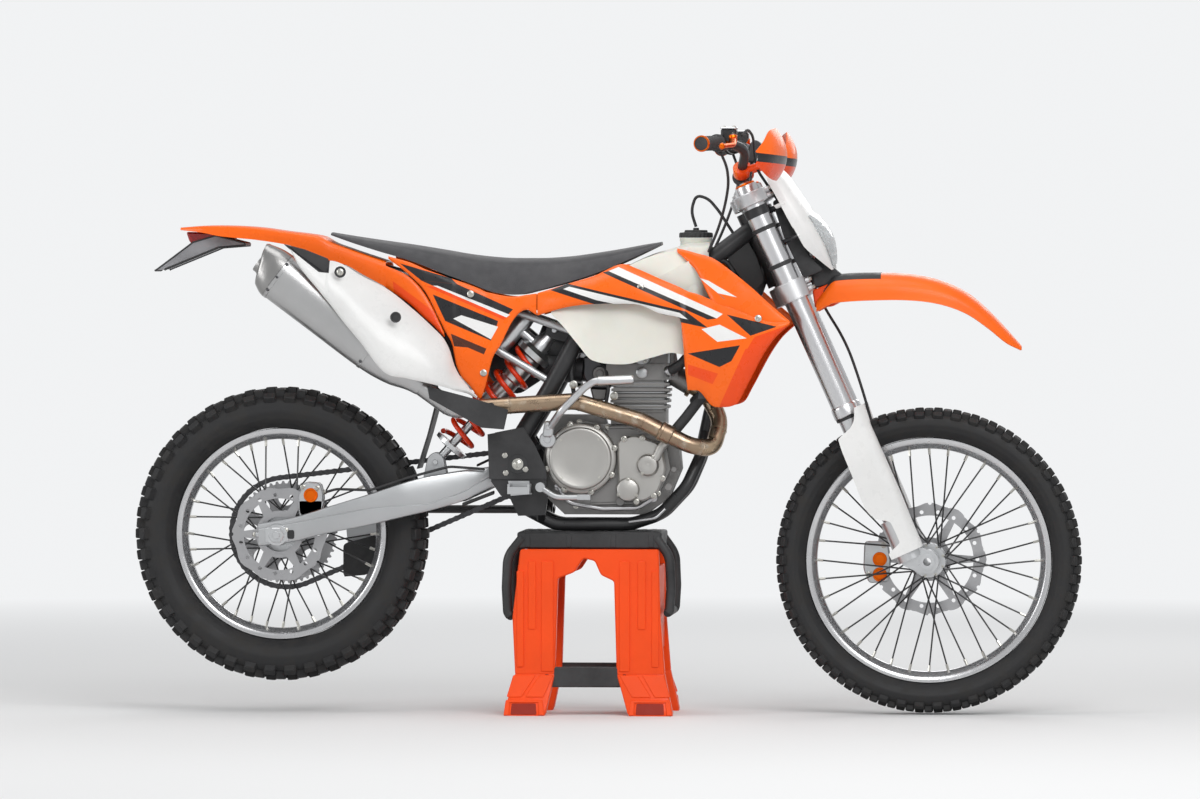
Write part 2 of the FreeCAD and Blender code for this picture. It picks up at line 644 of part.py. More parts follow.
MASK_STATIONS = [(8.0, 100.0, 110.0, 52.0), (40.0, 84.0, 118.0, 72.0), (80.0, 66.0, 124.0, 88.0),
                 (110.0, 62.0, 122.0, 95.0), (154.0, 58.0, 114.0, 100.0), (210.0, 54.0, 104.0, 92.0),
                 (254.0, 50.0, 94.0, 78.0), (280.0, 60.0, 80.0, 56.0)]
MASK_WALL = 4.0
MASK_STUD_R = 5.0


def mask_form(inset, back_inset):
    """The mask's bowed form, smaller by an inset all round and longer towards the rear by another."""
    wires = []
    for up, back, nose, half in MASK_STATIONS:
        back = back - back_inset
        front = nose - inset
        side = half - inset
        middle = back + (front - back) * 0.55
        wires.append(polygon([fork_point(up, back, -side), fork_point(up, middle, -side * 0.92),
                              fork_point(up, front - 8, -side * 0.5), fork_point(up, front, 0),
                              fork_point(up, front - 8, side * 0.5), fork_point(up, middle, side * 0.92),
                              fork_point(up, back, side)]))
    return loft(wires)


def headlight_mask():
    """The white mask ahead of the fork: a hollow cowl, with studs back to the fork tubes."""
    shapes = [mask_form(0.0, 0.0).cut(mask_form(MASK_WALL, 3.0 * MASK_WALL))]
    for up, half in ((110.0, 95.0), (190.0, 95.0)):
        for side in (-1, 1):
            y = side * (half - MASK_WALL)
            back = math.sqrt(FORK_OUTER_R ** 2 - (FORK_Y - half + MASK_WALL - MASK_STUD_R) ** 2) + SEAT_GAP
            shapes.append(rod(fork_point(up, back, y), fork_point(up, 68.0, y), MASK_STUD_R))
    return joined(shapes)


def headlight_lens():
    """The clear lamp lens, bulging from the mask's lower front."""
    bulge = mask_form(-5.0, 0.0).cut(mask_form(-SEAT_GAP, 0.0))
    low = fork_point(14.0, 80.0, -46.0)
    corners = [low, low + V(0, 92, 0), low + V(0, 92, 0) + FORK_AHEAD * 80, low + FORK_AHEAD * 80]
    return bulge.common(Part.Face(polygon(corners)).extrude(FORK_UP * 128.0))


def front_fender():
    """The front mudguard: an arched blade over the wheel, fixed below the lower clamp."""
    wall = 4.5
    stations = [(456.0, 950.0, 30.0, 62.0), (500.0, 1004.0, 64.0, 70.0), (600.0, 1008.0, 62.0, 76.0),
                (660.0, 1006.0, 60.0, 78.0), (740.0, 990.0, 54.0, 76.0), (800.0, 962.0, 48.0, 68.0),
                (850.0, 920.0, 40.0, 58.0), (890.0, 878.0, 30.0, 44.0), (922.0, 842.0, 10.0, 24.0)]
    wires = []
    for x, top, drop, half in stations:
        outer = [V(x, -half, top - drop), V(x, -half * 0.92, top - drop * 0.45), V(x, -half * 0.6, top - drop * 0.1),
                 V(x, 0, top), V(x, half * 0.6, top - drop * 0.1), V(x, half * 0.92, top - drop * 0.45),
                 V(x, half, top - drop)]
        inner = [V(p.x, p.y * (half - wall) / half, p.z - wall) for p in reversed(outer)]
        wires.append(polygon(outer + inner))
    stays = [rod(fork_point(-10.0, 33.3, y), fork_point(-34.0, 74.0, y), 7.0) for y in (-20.0, 20.0)]
    return joined([loft(wires)] + stays)


def calliper(axle_at, disc_r, centre, disc_y, size):
    """A brake calliper: two blocks astride the disc, joined past its edge, with round pistons' covers."""
    length, height, side_y = size
    gap = V(0, DISC_THICKNESS / 2.0 + 1.5, 0)
    disc_at = axle_at + V(0, disc_y, 0)
    half = 17.0
    x, z = centre
    shapes = [block(x - length / 2, x + length / 2, disc_y - half, disc_y + half, z - height / 2, z + height / 2)]
    for offset in (-length / 4, length / 4):
        shapes.append(rod(V(x + offset, disc_y, z), V(x + offset, disc_y + side_y * (half + 7), z), 12.0))
    return joined(shapes).cut(rod(disc_at - gap, disc_at + gap, disc_r + 4.0))


# Frame, swingarm and what they carry

SPAR_POINTS = [fork_point(170, -CLAMP_OFFSET, 0) + V(0, 14, 0), V(180.0, 34.0, 1012.0), V(20.0, 60.0, 930.0),
               V(-88.0, 76.0, 862.0), V(-150.0, 82.0, 745.0), V(-214.0, 83.0, 640.0)]
DOWN_TUBE_POINTS = [fork_point(90, -CLAMP_OFFSET - 8, 0), V(214.0, 0.0, 690.0), V(196.0, 0.0, 606.0)]
CRADLE_POINTS = [V(200.0, 8.0, 640.0), V(191.0, 40.0, 590.0), V(160.0, CRADLE_Y, 520.0), V(100.0, CRADLE_Y, 456.0),
                 V(30.0, CRADLE_Y, CRADLE_Z), V(-140.0, CRADLE_Y, CRADLE_Z), V(-208.0, 58.0, 468.0)]


def frame():
    """The bare frame: head tube, two spars, one down tube that splits into a cradle, and pivot plates."""
    head_low = fork_point(LOWER_CLAMP_HEIGHT / 2.0 + MOVE_GAP, -CLAMP_OFFSET)
    head_high = fork_point(CLAMP_SPACING - UPPER_CLAMP_HEIGHT / 2.0 - MOVE_GAP, -CLAMP_OFFSET)
    shapes = [rod(head_low, head_high, HEAD_TUBE_R), pipe(DOWN_TUBE_POINTS, DOWN_TUBE_R, 120.0)]
    plate_outline = [(-286, 632), (-212, 650), (-186, 610), (-160, 560), (-154, 500), (-160, 456), (-222, 454),
                     (-240, 492), (-262, 500), (-284, 532)]
    for side in (1, -1):
        spar = pipe(SPAR_POINTS, SPAR_R, 90.0)
        cradle = pipe(CRADLE_POINTS, CRADLE_TUBE_R, 80.0)
        pivot_plate = plate(plate_outline, PIVOT_PLATE_Y - PLATE_THICKNESS, PIVOT_PLATE_Y)
        gusset = rod(V(-90.0, 0, 850.0), V(-90.0, 92.0, 850.0), 13.0)
        for shape in (spar, cradle, pivot_plate, gusset):
            shapes.append(shape if side > 0 else mirrored(shape))
    shapes.append(rod(V(-204, -96, 466), V(-204, 96, 466), 11.0))
    for side in (-1, 1):
        shapes.append(rod(V(PIVOT_X, side * (PIVOT_HALF + SEAT_GAP), PIVOT_Z), V(PIVOT_X, side * 96.0, PIVOT_Z), 16.0))
    shapes.append(rod(V(-60, -CRADLE_Y, CRADLE_Z), V(-60, CRADLE_Y, CRADLE_Z), 10.0))
    for side in (-1, 1):
        shapes.append(rod(V(-172.0, side * 70.0, 447.0), V(-172.0, side * 98.0, 470.0), 10.0))
    shapes.append(rod(SIDE_STAND_PIVOT - SIDE_STAND_AXIS * 76, SIDE_STAND_PIVOT - SIDE_STAND_AXIS * 12, 12.0))
    shapes.append(rod(SIDE_STAND_PIVOT - SIDE_STAND_AXIS * 20, SIDE_STAND_PIVOT + SIDE_STAND_AXIS * 12, 7.0))
    shapes.append(rod(SIDE_STAND_PIVOT + SIDE_STAND_AXIS * 11.5, SIDE_STAND_PIVOT + SIDE_STAND_AXIS * 16, 11.0))
    for y in (SHOCK_Y - 20.0, SHOCK_Y + 12.0):
        shapes.append(plate([(-84, 842), (-84, 862), (-140, 898), (-160, 890), (-164, 870), (-150, 858)], y, y + 8.0))
    bores = [rod(SHOCK_HIGH - SIDE * 60, SHOCK_HIGH + SIDE * 60, SHOCK_BOLT_R + SEAT_GAP),
             rod(head_low - FORK_UP * 50, head_high + FORK_UP * 50, STEM_R + RUN_FIT),
             rod(V(PIVOT_X, -150, PIVOT_Z), V(PIVOT_X, 150, PIVOT_Z), 9.0)]
    return joined(shapes).cut(bores)


def frame_guard():
    """The left frame guard: a plastic shield over the pivot plate."""
    outline = [(-292, 640), (-210, 656), (-182, 612), (-158, 560), (-156, 538), (-288, 538)]
    start = PIVOT_PLATE_Y + SEAT_GAP
    return plate(outline, start, start + 4.0).cut(rod(V(PIVOT_X, 0, PIVOT_Z), V(PIVOT_X, 200, PIVOT_Z), 22.0))


def pivot_bolt():
    """The swingarm's through bolt with its heads outside the pivot plates."""
    half = PIVOT_PLATE_Y + SEAT_GAP
    shapes = [rod(V(PIVOT_X, -half, PIVOT_Z), V(PIVOT_X, half, PIVOT_Z), 8.7)]
    for side in (-1, 1):
        shapes.append(rod(V(PIVOT_X, side * half, PIVOT_Z), V(PIVOT_X, side * (half + 9), PIVOT_Z), 16.0))
    return joined(shapes)


UPPER_RAIL = [V(-96, 74, 872), V(-260, 60, 930), V(-430, 50, 990), V(-640, 44, 1046)]
LOWER_RAIL = [V(-150, 80, 760), V(-320, 74, 860), V(-560, 47, 1022)]


def rail_at(rail, x):
    """The point of a subframe rail's line at a given X, on the left side."""
    for start, end in zip(rail[:-1], rail[1:]):
        if end.x <= x <= start.x:
            return start + (end - start) * ((start.x - x) / (start.x - end.x))
    return rail[-1]


def rail_top(rail, x, pad_r):
    """The lowest Z at which an upright pad of that radius clears a rail's top by the seat gap."""
    slope = (rail[-1].z - rail[0].z) / (rail[0].x - rail[-1].x)
    return rail_at(rail, x).z + SUBFRAME_TUBE_R / math.cos(math.atan(slope)) + pad_r * slope * 1.2 + SEAT_GAP


def subframe():
    """The light tubes under the seat, from the spars back to the rear mudguard."""
    shapes = []
    for path in (UPPER_RAIL, LOWER_RAIL):
        tube = pipe(path, SUBFRAME_TUBE_R, 80.0)
        shapes.extend([tube, mirrored(tube)])
    for x, y, z in ((-640, 44, 1046), (-430, 50, 990), (-260, 60, 930)):
        shapes.append(rod(V(x, -y, z), V(x, y, z), SUBFRAME_TUBE_R * 0.9))
    spar_room = pipe(SPAR_POINTS, SPAR_R + SEAT_GAP, 90.0)
    return joined(shapes).cut([spar_room, mirrored(spar_room)])


PIVOT_HALF = 70.0
ARM_INNER = 97.0
ARM_OUTER = 124.0
SHOCK_Y = -30.0
SHOCK_BOLT_R = 6.0
SPRING_LOW = 0.14
SPRING_HIGH = 0.80
SHOCK_LOW = V(-416.0, SHOCK_Y, 575.0)
SHOCK_HIGH = V(-143.0, SHOCK_Y, 877.0)


def swingarm():
    """The cast swingarm: a pivot tube, a cross piece ahead of the tyre, two deep arms and axle blocks."""
    stations = [(-223.0, 550.0, 594.0, 44.0, 69.0), (-300.0, 508.0, 562.0, 44.0, 72.0),
                (-350.0, 486.0, 556.0, 52.0, 88.0), (-430.0, 464.0, 544.0, 78.0, 110.0),
                (-487.0, 450.0, 529.0, ARM_INNER - 6, ARM_OUTER - 3), (-563.0, 432.0, 503.0, ARM_INNER, ARM_OUTER),
                (-677.0, 410.0, 468.0, ARM_INNER, ARM_OUTER), (-734.0, 394.0, 450.0, ARM_INNER, ARM_OUTER),
                (-815.0, 384.0, 436.0, ARM_INNER, ARM_OUTER)]
    wires = []
    for x, low, high, inner, outer in stations:
        bevel = 6.0
        wires.append(polygon([V(x, inner, low + bevel), V(x, inner + bevel, low), V(x, outer - bevel, low),
                              V(x, outer, low + bevel), V(x, outer, high - bevel), V(x, outer - bevel, high),
                              V(x, inner + bevel, high), V(x, inner, high - bevel)]))
    arm = loft(wires)
    bridge = block(-424.0, -340.0, -80.0, 80.0, 486.0, 540.0)
    pivot = rod(V(PIVOT_X, -PIVOT_HALF, PIVOT_Z), V(PIVOT_X, PIVOT_HALF, PIVOT_Z), 25.0)
    clevis = []
    for y in (SHOCK_Y - 20.0, SHOCK_Y + 12.0):
        clevis.append(plate([(-446, 530), (-386, 530), (-398, 588), (-416, 598), (-434, 588)], y, y + 8.0))
    shapes = [arm, mirrored(arm), bridge, pivot] + clevis
    slot_half = 26.0
    cuts = [rod(V(PIVOT_X, -150, PIVOT_Z), V(PIVOT_X, 150, PIVOT_Z), 9.0),
            rod(REAR_AXLE - SIDE * 200, REAR_AXLE + SIDE * 200, AXLE_R + SEAT_GAP),
            rod(SHOCK_LOW - SIDE * 60, SHOCK_LOW + SIDE * 60, SHOCK_BOLT_R + SEAT_GAP)]
    cuts.append(block(REAR_AXLE_X - slot_half, REAR_AXLE_X, -200, 200, REAR_AXLE_Z - AXLE_R - SEAT_GAP,
                      REAR_AXLE_Z + AXLE_R + SEAT_GAP))
    return joined(shapes).cut(cuts)


def shock_point(share, lift=0.0):
    """A point on the shock's line: a share of the way up it, lifted square to it."""
    way = SHOCK_HIGH - SHOCK_LOW
    normal = V(-way.z, 0, way.x)
    normal.normalize()
    return SHOCK_LOW + way * share + normal * lift


def shock():
    """The rear shock: eyes with their bolts, rod, body, spring seats and a reservoir beside its top."""
    shapes = [rod(SHOCK_LOW - SIDE * 11, SHOCK_LOW + SIDE * 11, 16.0),
              rod(SHOCK_HIGH - SIDE * 11, SHOCK_HIGH + SIDE * 11, 17.0),
              rod(shock_point(0.0), shock_point(1.0), 10.0), rod(shock_point(SPRING_LOW - 0.025), shock_point(SPRING_LOW), 42.0),
              rod(shock_point(0.36), shock_point(0.90), 24.0),
              rod(shock_point(SPRING_HIGH), shock_point(SPRING_HIGH + 0.035), 44.0),
              rod(shock_point(0.87), shock_point(0.87, 60.0), 13.0),
              rod(shock_point(0.68, 67.0), shock_point(0.98, 67.0), 20.0),
              rod(SHOCK_LOW - SIDE * 30, SHOCK_LOW + SIDE * 30, SHOCK_BOLT_R),
              rod(SHOCK_HIGH - SIDE * 30, SHOCK_HIGH + SIDE * 30, SHOCK_BOLT_R)]
    return joined(shapes)


def shock_spring():
    """The red coil spring between the shock's seats."""
    start = shock_point(SPRING_LOW)
    end = shock_point(SPRING_HIGH)
    wire_r = 6.0
    coil_r = 36.0
    way = end - start
    turns = 7
    pitch = (way.Length - 2 * wire_r - 2 * SEAT_GAP) / turns
    helix = Part.makeHelix(pitch, pitch * turns, coil_r)
    section = Part.Wire(Part.makeCircle(wire_r, V(coil_r, 0, 0), V(0, 1, 0)))
    spring = Part.Wire(helix).makePipeShell([section], True, True)
    spring.Placement = FreeCAD.Placement(start + way * ((wire_r + SEAT_GAP) / way.Length),
                                         FreeCAD.Rotation(V(0, 0, 1), way))
    return spring


# Engine and exhaust

CRANK = V(32.0, 0.0, 566.0)
CLUTCH = V(-80.0, 0.0, 585.0)


OUTPUT_SHAFT_R = 10.0 - SEAT_GAP


def engine_cases():
    """The crankcases: one block out to the gasket faces, with a bulge for the clutch and gearbox."""
    outline = [(-172, 560), (-160, 652), (-130, 684), (-32, 684), (-26, 662), (114, 658), (140, 626), (146, 560), (118, 494),
               (66, 456), (-120, 456), (-158, 492)]
    half = 46.0
    cases = plate(outline, -half, half)
    wide = plate([(-110, 500), (-140, 560), (-136, 640), (-80, 672), (40, 650), (112, 628), (124, 560), (96, 500),
                  (50, 470), (-90, 470)], -78.0, 72.0)
    cut = rod(V(FRONT_SPROCKET_X, 48, FRONT_SPROCKET_Z), V(FRONT_SPROCKET_X, 120, FRONT_SPROCKET_Z), 52.0)
    shaft = rod(V(FRONT_SPROCKET_X, 40, FRONT_SPROCKET_Z), V(FRONT_SPROCKET_X, CHAIN_Y + 6, FRONT_SPROCKET_Z), OUTPUT_SHAFT_R)
    return joined([joined([cases, wide]).cut(cut), shaft])


PORT_END = V(166.0, -34.0, 753.0)
PORT_WAY = V(0.857, 0.0, -0.515)


def engine_top():
    """The cylinder with its fins, and the head above it, leaned a little ahead."""
    lean = V(0.08, 0, 0.997)
    base = V(48.0, 0, 668.0)
    shapes = [block(-14, 112, -50, 50, 662.0 + SEAT_GAP, 700.0)]
    for level in range(5):
        middle = base + lean * (34.0 + level * 13.0)
        shapes.append(block(middle.x - 66, middle.x + 66, -62, 62, middle.z - 3, middle.z + 3))
    shapes.append(block(-8, 108, -54, 54, 690.0, 768.0))
    shapes.append(block(-24, 140, -62, 62, 764.0, 800.0))
    shapes.append(plate([(-16, 798), (134, 798), (126, 842), (96, 858), (10, 858), (-10, 842)], -56.0, 56.0))
    shapes.append(rod(PORT_END - PORT_WAY * 46.0, PORT_END, 24.0))
    shapes.append(rod(V(-20, 0, 800), V(-66, 0, 816), 27.0))
    return joined(shapes)


def clutch_cover():
    """The round clutch cover, with its outer cap, on the right case."""
    face = -78.0 - SEAT_GAP
    shapes = [rod(V(CLUTCH.x, face, CLUTCH.z), V(CLUTCH.x, face - 26, CLUTCH.z), 82.0),
              rod(V(CLUTCH.x, face - 25, CLUTCH.z), V(CLUTCH.x, face - 36, CLUTCH.z), 70.0)]
    solid = joined(shapes)
    edges = [edge for edge in solid.Edges if abs(edge.BoundBox.YMin - (face - 36)) < 0.01
             and abs(edge.BoundBox.YMax - (face - 36)) < 0.01]
    return rounded(solid, 5.0, edges)


def right_case_cover():
    """The right case cover ahead of the clutch, with the water pump and the oil filter's cap on it."""
    face = -78.0 - SEAT_GAP
    body = plate([(6, 520), (20, 500), (60, 484), (96, 506), (116, 560), (104, 618), (44, 640), (4, 628)],
                 face - 22.0, face)
    clear = rod(V(CLUTCH.x, face + 5, CLUTCH.z), V(CLUTCH.x, face - 60, CLUTCH.z), 82.0 + SEAT_GAP)
    shapes = [body.cut(clear), rod(V(28, face - 20, 514), V(28, face - 36, 514), 27.0),
              rod(V(74, face - 20, 570), V(74, face - 38, 570), 25.0), rod(V(74, face - 26, 570), V(102, face - 22, 600), 10.0)]
    return joined(shapes).cut(clear)


def ignition_cover():
    """The round generator cover on the left case."""
    face = 72.0 + SEAT_GAP
    shapes = [rod(V(CRANK.x + 14, face, CRANK.z), V(CRANK.x + 14, face + 24, CRANK.z), 66.0),
              rod(V(CRANK.x + 14, face + 22, CRANK.z), V(CRANK.x + 14, face + 32, CRANK.z), 44.0)]
    return joined(shapes)


KICK_X = -154.0
KICK_Z = 628.0
KICK_SHAFT_R = 13.0


def kick_starter():
    """The folded kick starter: a shaft boss, a curved lever and its foot peg."""
    case_y = -46.0 - SEAT_GAP
    lever_y = HEADER_POINTS[6].y - HEADER_R - 15.0
    shaft = V(KICK_X, -104.0, KICK_Z)
    shapes = [rod(V(shaft.x, case_y, shaft.z), shaft - V(0, 12, 0), KICK_SHAFT_R),
              pipe([shaft, V(-150, -118, 654), V(-120, lever_y, 694), V(-66, lever_y, 748), V(-44, lever_y, 762),
                    V(44, lever_y, 766)], 8.5, 30.0)]
    return joined(shapes)


HEADER_POINTS = [PORT_END + PORT_WAY * SEAT_GAP, PORT_END + PORT_WAY * 44.0, V(238.0, -52.0, 672.0),
                 V(222.0, -98.0, 606.0), V(170.0, -124.0, 616.0), V(60.0, -126.0, 672.0), V(-90.0, -126.0, 716.0),
                 V(-240.0, -126.0, 706.0), V(-330.0, -130.0, 700.0)]
HEADER_R = 19.0


def exhaust_header():
    """The header pipe: out of the head, down ahead of the engine and back along its right side."""
    flange = rod(HEADER_POINTS[0], HEADER_POINTS[0] + PORT_WAY * 9.0, HEADER_R + 9.0)
    joint_a = HEADER_POINTS[4] + (HEADER_POINTS[5] - HEADER_POINTS[4]) * 0.38
    joint_b = HEADER_POINTS[4] + (HEADER_POINTS[5] - HEADER_POINTS[4]) * 0.56
    return joined([pipe(HEADER_POINTS, HEADER_R, 70.0), flange, rod(joint_a, joint_b, HEADER_R + 3.0)])


SILENCER_Y = -142.0
SILENCER_FRONT = V(-440.0, SILENCER_Y, 748.0)
SILENCER_REAR = V(-806.0, SILENCER_Y, 1030.0)


def silencer_frame(share):
    """The silencer's centre at a share of its length, and the direction square to it in side view."""
    way = SILENCER_REAR - SILENCER_FRONT
    normal = V(way.z, 0, -way.x)
    normal.normalize()
    return SILENCER_FRONT + way * share, normal


def silencer_section(share, height, width):
    """An oval cut across the silencer, with straight edges round its ends."""
    centre, normal = silencer_frame(share)
    points = []
    steps = 20
    for index in range(steps):
        angle = 2.0 * math.pi * index / steps
        c = math.cos(angle)
        s = math.sin(angle)
        points.append(centre + normal * (height / 2.0 * math.copysign(abs(c) ** 0.75, c))
                      + V(0, width / 2.0 * math.copysign(abs(s) ** 0.75, s), 0))
    return polygon(points)


def silencer():
    """The silencer's tapered oval body, and the link pipe from the header."""
    body = loft([silencer_section(0.0, 46, 44), silencer_section(0.14, 82, 74), silencer_section(0.3, 104, 90),
                 silencer_section(0.9, 112, 96)])
    centre, normal = silencer_frame(0.05)
    end = HEADER_POINTS[-1]
    before = HEADER_POINTS[-2]
    way = end - before
    way.normalize()
    link = pipe([end + way * SEAT_GAP, end + way * 40, centre], HEADER_R + 2.0, 60.0)
    return joined([body, link])


def silencer_cap():
    """The silencer's dark end cap, with the hollow outlet."""
    cap = loft([silencer_section(0.9, 114, 98), silencer_section(0.97, 112, 94), silencer_section(1.0, 92, 74)])
    start, normal = silencer_frame(0.9005)
    centre, normal = silencer_frame(0.94)
    rear, normal = silencer_frame(1.06)
    outlet = rod(silencer_frame(0.98)[0], silencer_frame(1.02)[0], 24.0)
    trimmed = joined([cap, outlet]).cut(rod(centre, rear, 19.0))
    way = SILENCER_REAR - SILENCER_FRONT
    way.normalize()
    return trimmed.cut(rod(start - way * 60, start, 90.0))


RADIATOR_OUTER = 128.0
RADIATOR_TOP_AHEAD = 34.0


def radiator():
    """The left radiator: a tall finned core with tanks at its ends, leaned along the shroud."""
    y0, y1 = 60.0, RADIATOR_OUTER
    ahead = RADIATOR_TOP_AHEAD
    core = plate([(196, 735), (224, 735), (224 + ahead, 1000), (196 + ahead, 1000)], y0, y1)
    low = plate([(190, 722), (228, 722), (231, 752), (194, 752)], y0 - 3, y1 + 3)
    high = plate([(192 + ahead, 988), (226 + ahead, 988), (230 + ahead, 1014), (196 + ahead, 1014)], y0 - 3, y1 + 3)
    shapes = [core, low, high]
    fins = []
    for level in range(11):
        z = 764.0 + level * 20.0
        x = 202.0 + (z - 735.0) * ahead / 265.0
        fins.append(block(x + 20, x + 40, y0 + 6, y1 - 6, z, z + 12))
    grille = joined(shapes).cut(fins)
    return grille


# Bodywork

PANEL_WALL = 3.5


def shroud():
    """The right radiator shroud: a flank beside the tank, a deep front over the radiator, and an upper blade."""
    flank = [(-178.0, 911.0, 962.0, -106.0, -107.0, -104.0), (-109.0, 930.0, 983.0, -128.0, -128.0, -110.0),
             (-49.0, 937.0, 1001.0, -138.0, -137.0, -112.0), (19.0, 938.0, 1028.0, -143.0, -141.0, -108.0),
             (49.0, 937.0, 1018.0, -146.0, -144.0, -112.0), (109.0, 914.0, 992.0, -151.0, -150.0, -126.0),
             (150.0, 904.0, 975.0, -154.0, -155.0, -138.0), (168.0, 742.0, 966.0, -150.0, -164.0, -144.0),
             (190.0, 741.0, 960.0, -152.0, -170.0, -150.0), (224.0, 706.0, 946.0, -152.0, -178.0, -156.0),
             (242.0, 703.0, 940.0, -152.0, -181.0, -160.0), (280.0, 711.0, 925.0, -156.0, -186.0, -168.0),
             (300.0, 745.0, 918.0, -164.0, -189.0, -172.0), (341.0, 822.0, 903.0, -180.0, -191.0, -180.0),
             (365.0, 857.0, 898.0, -186.0, -191.0, -184.0), (401.0, 891.0, 899.0, -186.0, -187.0, -185.0)]
    blade = [(140.0, 1056.0, 1064.0, -88.0, -86.0, -84.0), (166.0, 1032.0, 1058.0, -102.0, -98.0, -92.0),
             (184.0, 1014.0, 1053.0, -114.0, -108.0, -98.0), (224.0, 943.0, 1041.0, -156.0, -136.0, -112.0),
             (268.0, 926.0, 1011.0, -166.0, -154.0, -136.0), (312.0, 906.0, 976.0, -175.0, -168.0, -156.0),
             (356.0, 893.0, 937.0, -183.0, -179.0, -172.0), (400.0, 893.0, 900.0, -186.0, -185.0, -184.0)]
    radiator_room = mirrored(plate([(186, 718), (232, 718), (280, 1020), (186 + RADIATOR_TOP_AHEAD, 1020)], 50.0, RADIATOR_OUTER + 3.0 + SEAT_GAP))
    boss = rod(V(20.0, -96.9, 960.0), V(20.0, -140.0, 960.0), 7.0)
    return joined([side_panel_solid(flank, PANEL_WALL), side_panel_solid(blade, PANEL_WALL), boss]).cut(radiator_room)


def side_cover():
    """The right cover under the seat, between the shroud and the rear panel."""
    stations = [(-520.0, 1040.0, 1046.0, -97.0, -97.0, -97.0), (-468.0, 1000.0, 1031.0, -102.0, -101.0, -99.0),
                (-434.0, 964.0, 1016.0, -106.0, -104.0, -100.0), (-400.0, 898.0, 1004.0, -111.0, -107.0, -101.0),
                (-386.0, 870.0, 999.0, -113.0, -109.0, -101.0), (-372.0, 843.0, 994.0, -115.0, -111.0, -101.0),
                (-363.0, 799.0, 991.0, -118.0, -112.0, -101.0), (-329.0, 747.0, 979.0, -121.0, -115.0, -101.0),
                (-307.0, 722.0, 970.0, -122.0, -116.0, -101.0), (-297.0, 745.0, 965.0, -121.0, -115.0, -101.0),
                (-280.0, 812.0, 961.0, -118.0, -113.0, -101.0), (-262.0, 843.0, 957.0, -116.0, -111.0, -101.0),
                (-232.0, 902.0, 954.0, -111.0, -108.0, -102.0), (-203.0, 924.0, 958.0, -108.0, -107.0, -103.0),
                (-180.0, 912.0, 961.0, -106.0, -106.0, -103.5)]
    rail = rail_at(UPPER_RAIL, -262.0)
    boss = rod(V(rail.x, -rail.y - SUBFRAME_TUBE_R - SEAT_GAP - 0.7, rail.z), V(rail.x, -108.0, rail.z), 7.0)
    return joined([side_panel_solid(stations, PANEL_WALL), boss])


PANEL_BRACKET_X = -490.0
PANEL_BRACKET_Z = 930.0


def rear_panel():
    """The right rear panel, which flares outwards over the silencer."""
    stations = [(-736.0, 1062.0, 1068.0, -188.0, -187.0, -185.0), (-719.0, 1030.0, 1053.0, -194.0, -192.0, -186.0),
                (-700.0, 1004.0, 1040.0, -197.0, -195.0, -186.0), (-675.0, 975.0, 1022.0, -200.0, -198.0, -187.0),
                (-654.0, 949.0, 1010.0, -200.0, -199.0, -186.0), (-648.0, 942.0, 1036.0, -200.0, -199.0, -168.0),
                (-619.0, 904.0, 1028.0, -200.0, -199.0, -160.0), (-576.0, 852.0, 1001.0, -200.0, -198.0, -142.0),
                (-521.0, 783.0, 972.0, -198.0, -196.0, -124.0), (-467.0, 768.0, 930.0, -194.0, -188.0, -120.0),
                (-416.0, 756.0, 884.0, -184.0, -176.0, -123.0), (-388.0, 749.0, 854.0, -174.0, -163.0, -125.0),
                (-376.0, 745.0, 830.0, -168.0, -156.0, -127.0), (-366.0, 742.0, 797.0, -162.0, -150.0, -128.0),
                (-332.0, 733.0, 746.0, -138.0, -135.0, -130.0), (-314.0, 722.0, 727.0, -130.0, -129.0, -128.0)]
    rail = rail_at(LOWER_RAIL, PANEL_BRACKET_X)
    foot = V(PANEL_BRACKET_X, -rail.y - 2.0, PANEL_BRACKET_Z)
    slope = (LOWER_RAIL[2].z - LOWER_RAIL[1].z) / (LOWER_RAIL[1].x - LOWER_RAIL[2].x)
    post_top = rail.z - SUBFRAME_TUBE_R / math.cos(math.atan(slope)) - 6.0 * slope - SEAT_GAP
    bracket = [rod(foot, V(PANEL_BRACKET_X, -144.0, PANEL_BRACKET_Z), 6.0), rod(foot, V(foot.x, foot.y, post_top), 6.0)]
    return joined([side_panel_solid(stations, PANEL_WALL)] + bracket)


def heat_guard():
    """The black guard below the right rear panel, over the mid pipe."""
    outline = [(-424, 750), (-310, 720), (-240, 697), (-250, 652), (-301, 656), (-380, 700), (-420, 722)]
    inner = HEADER_POINTS[-1].y - HEADER_R - 11.0
    boss_z = 705.0
    boss = rod(V(-280.0, inner - 1.0, boss_z), V(-280.0, HEADER_POINTS[7].y - HEADER_R - 2.5, boss_z), 8.0)
    return joined([plate(outline, inner - 3.0, inner), boss])


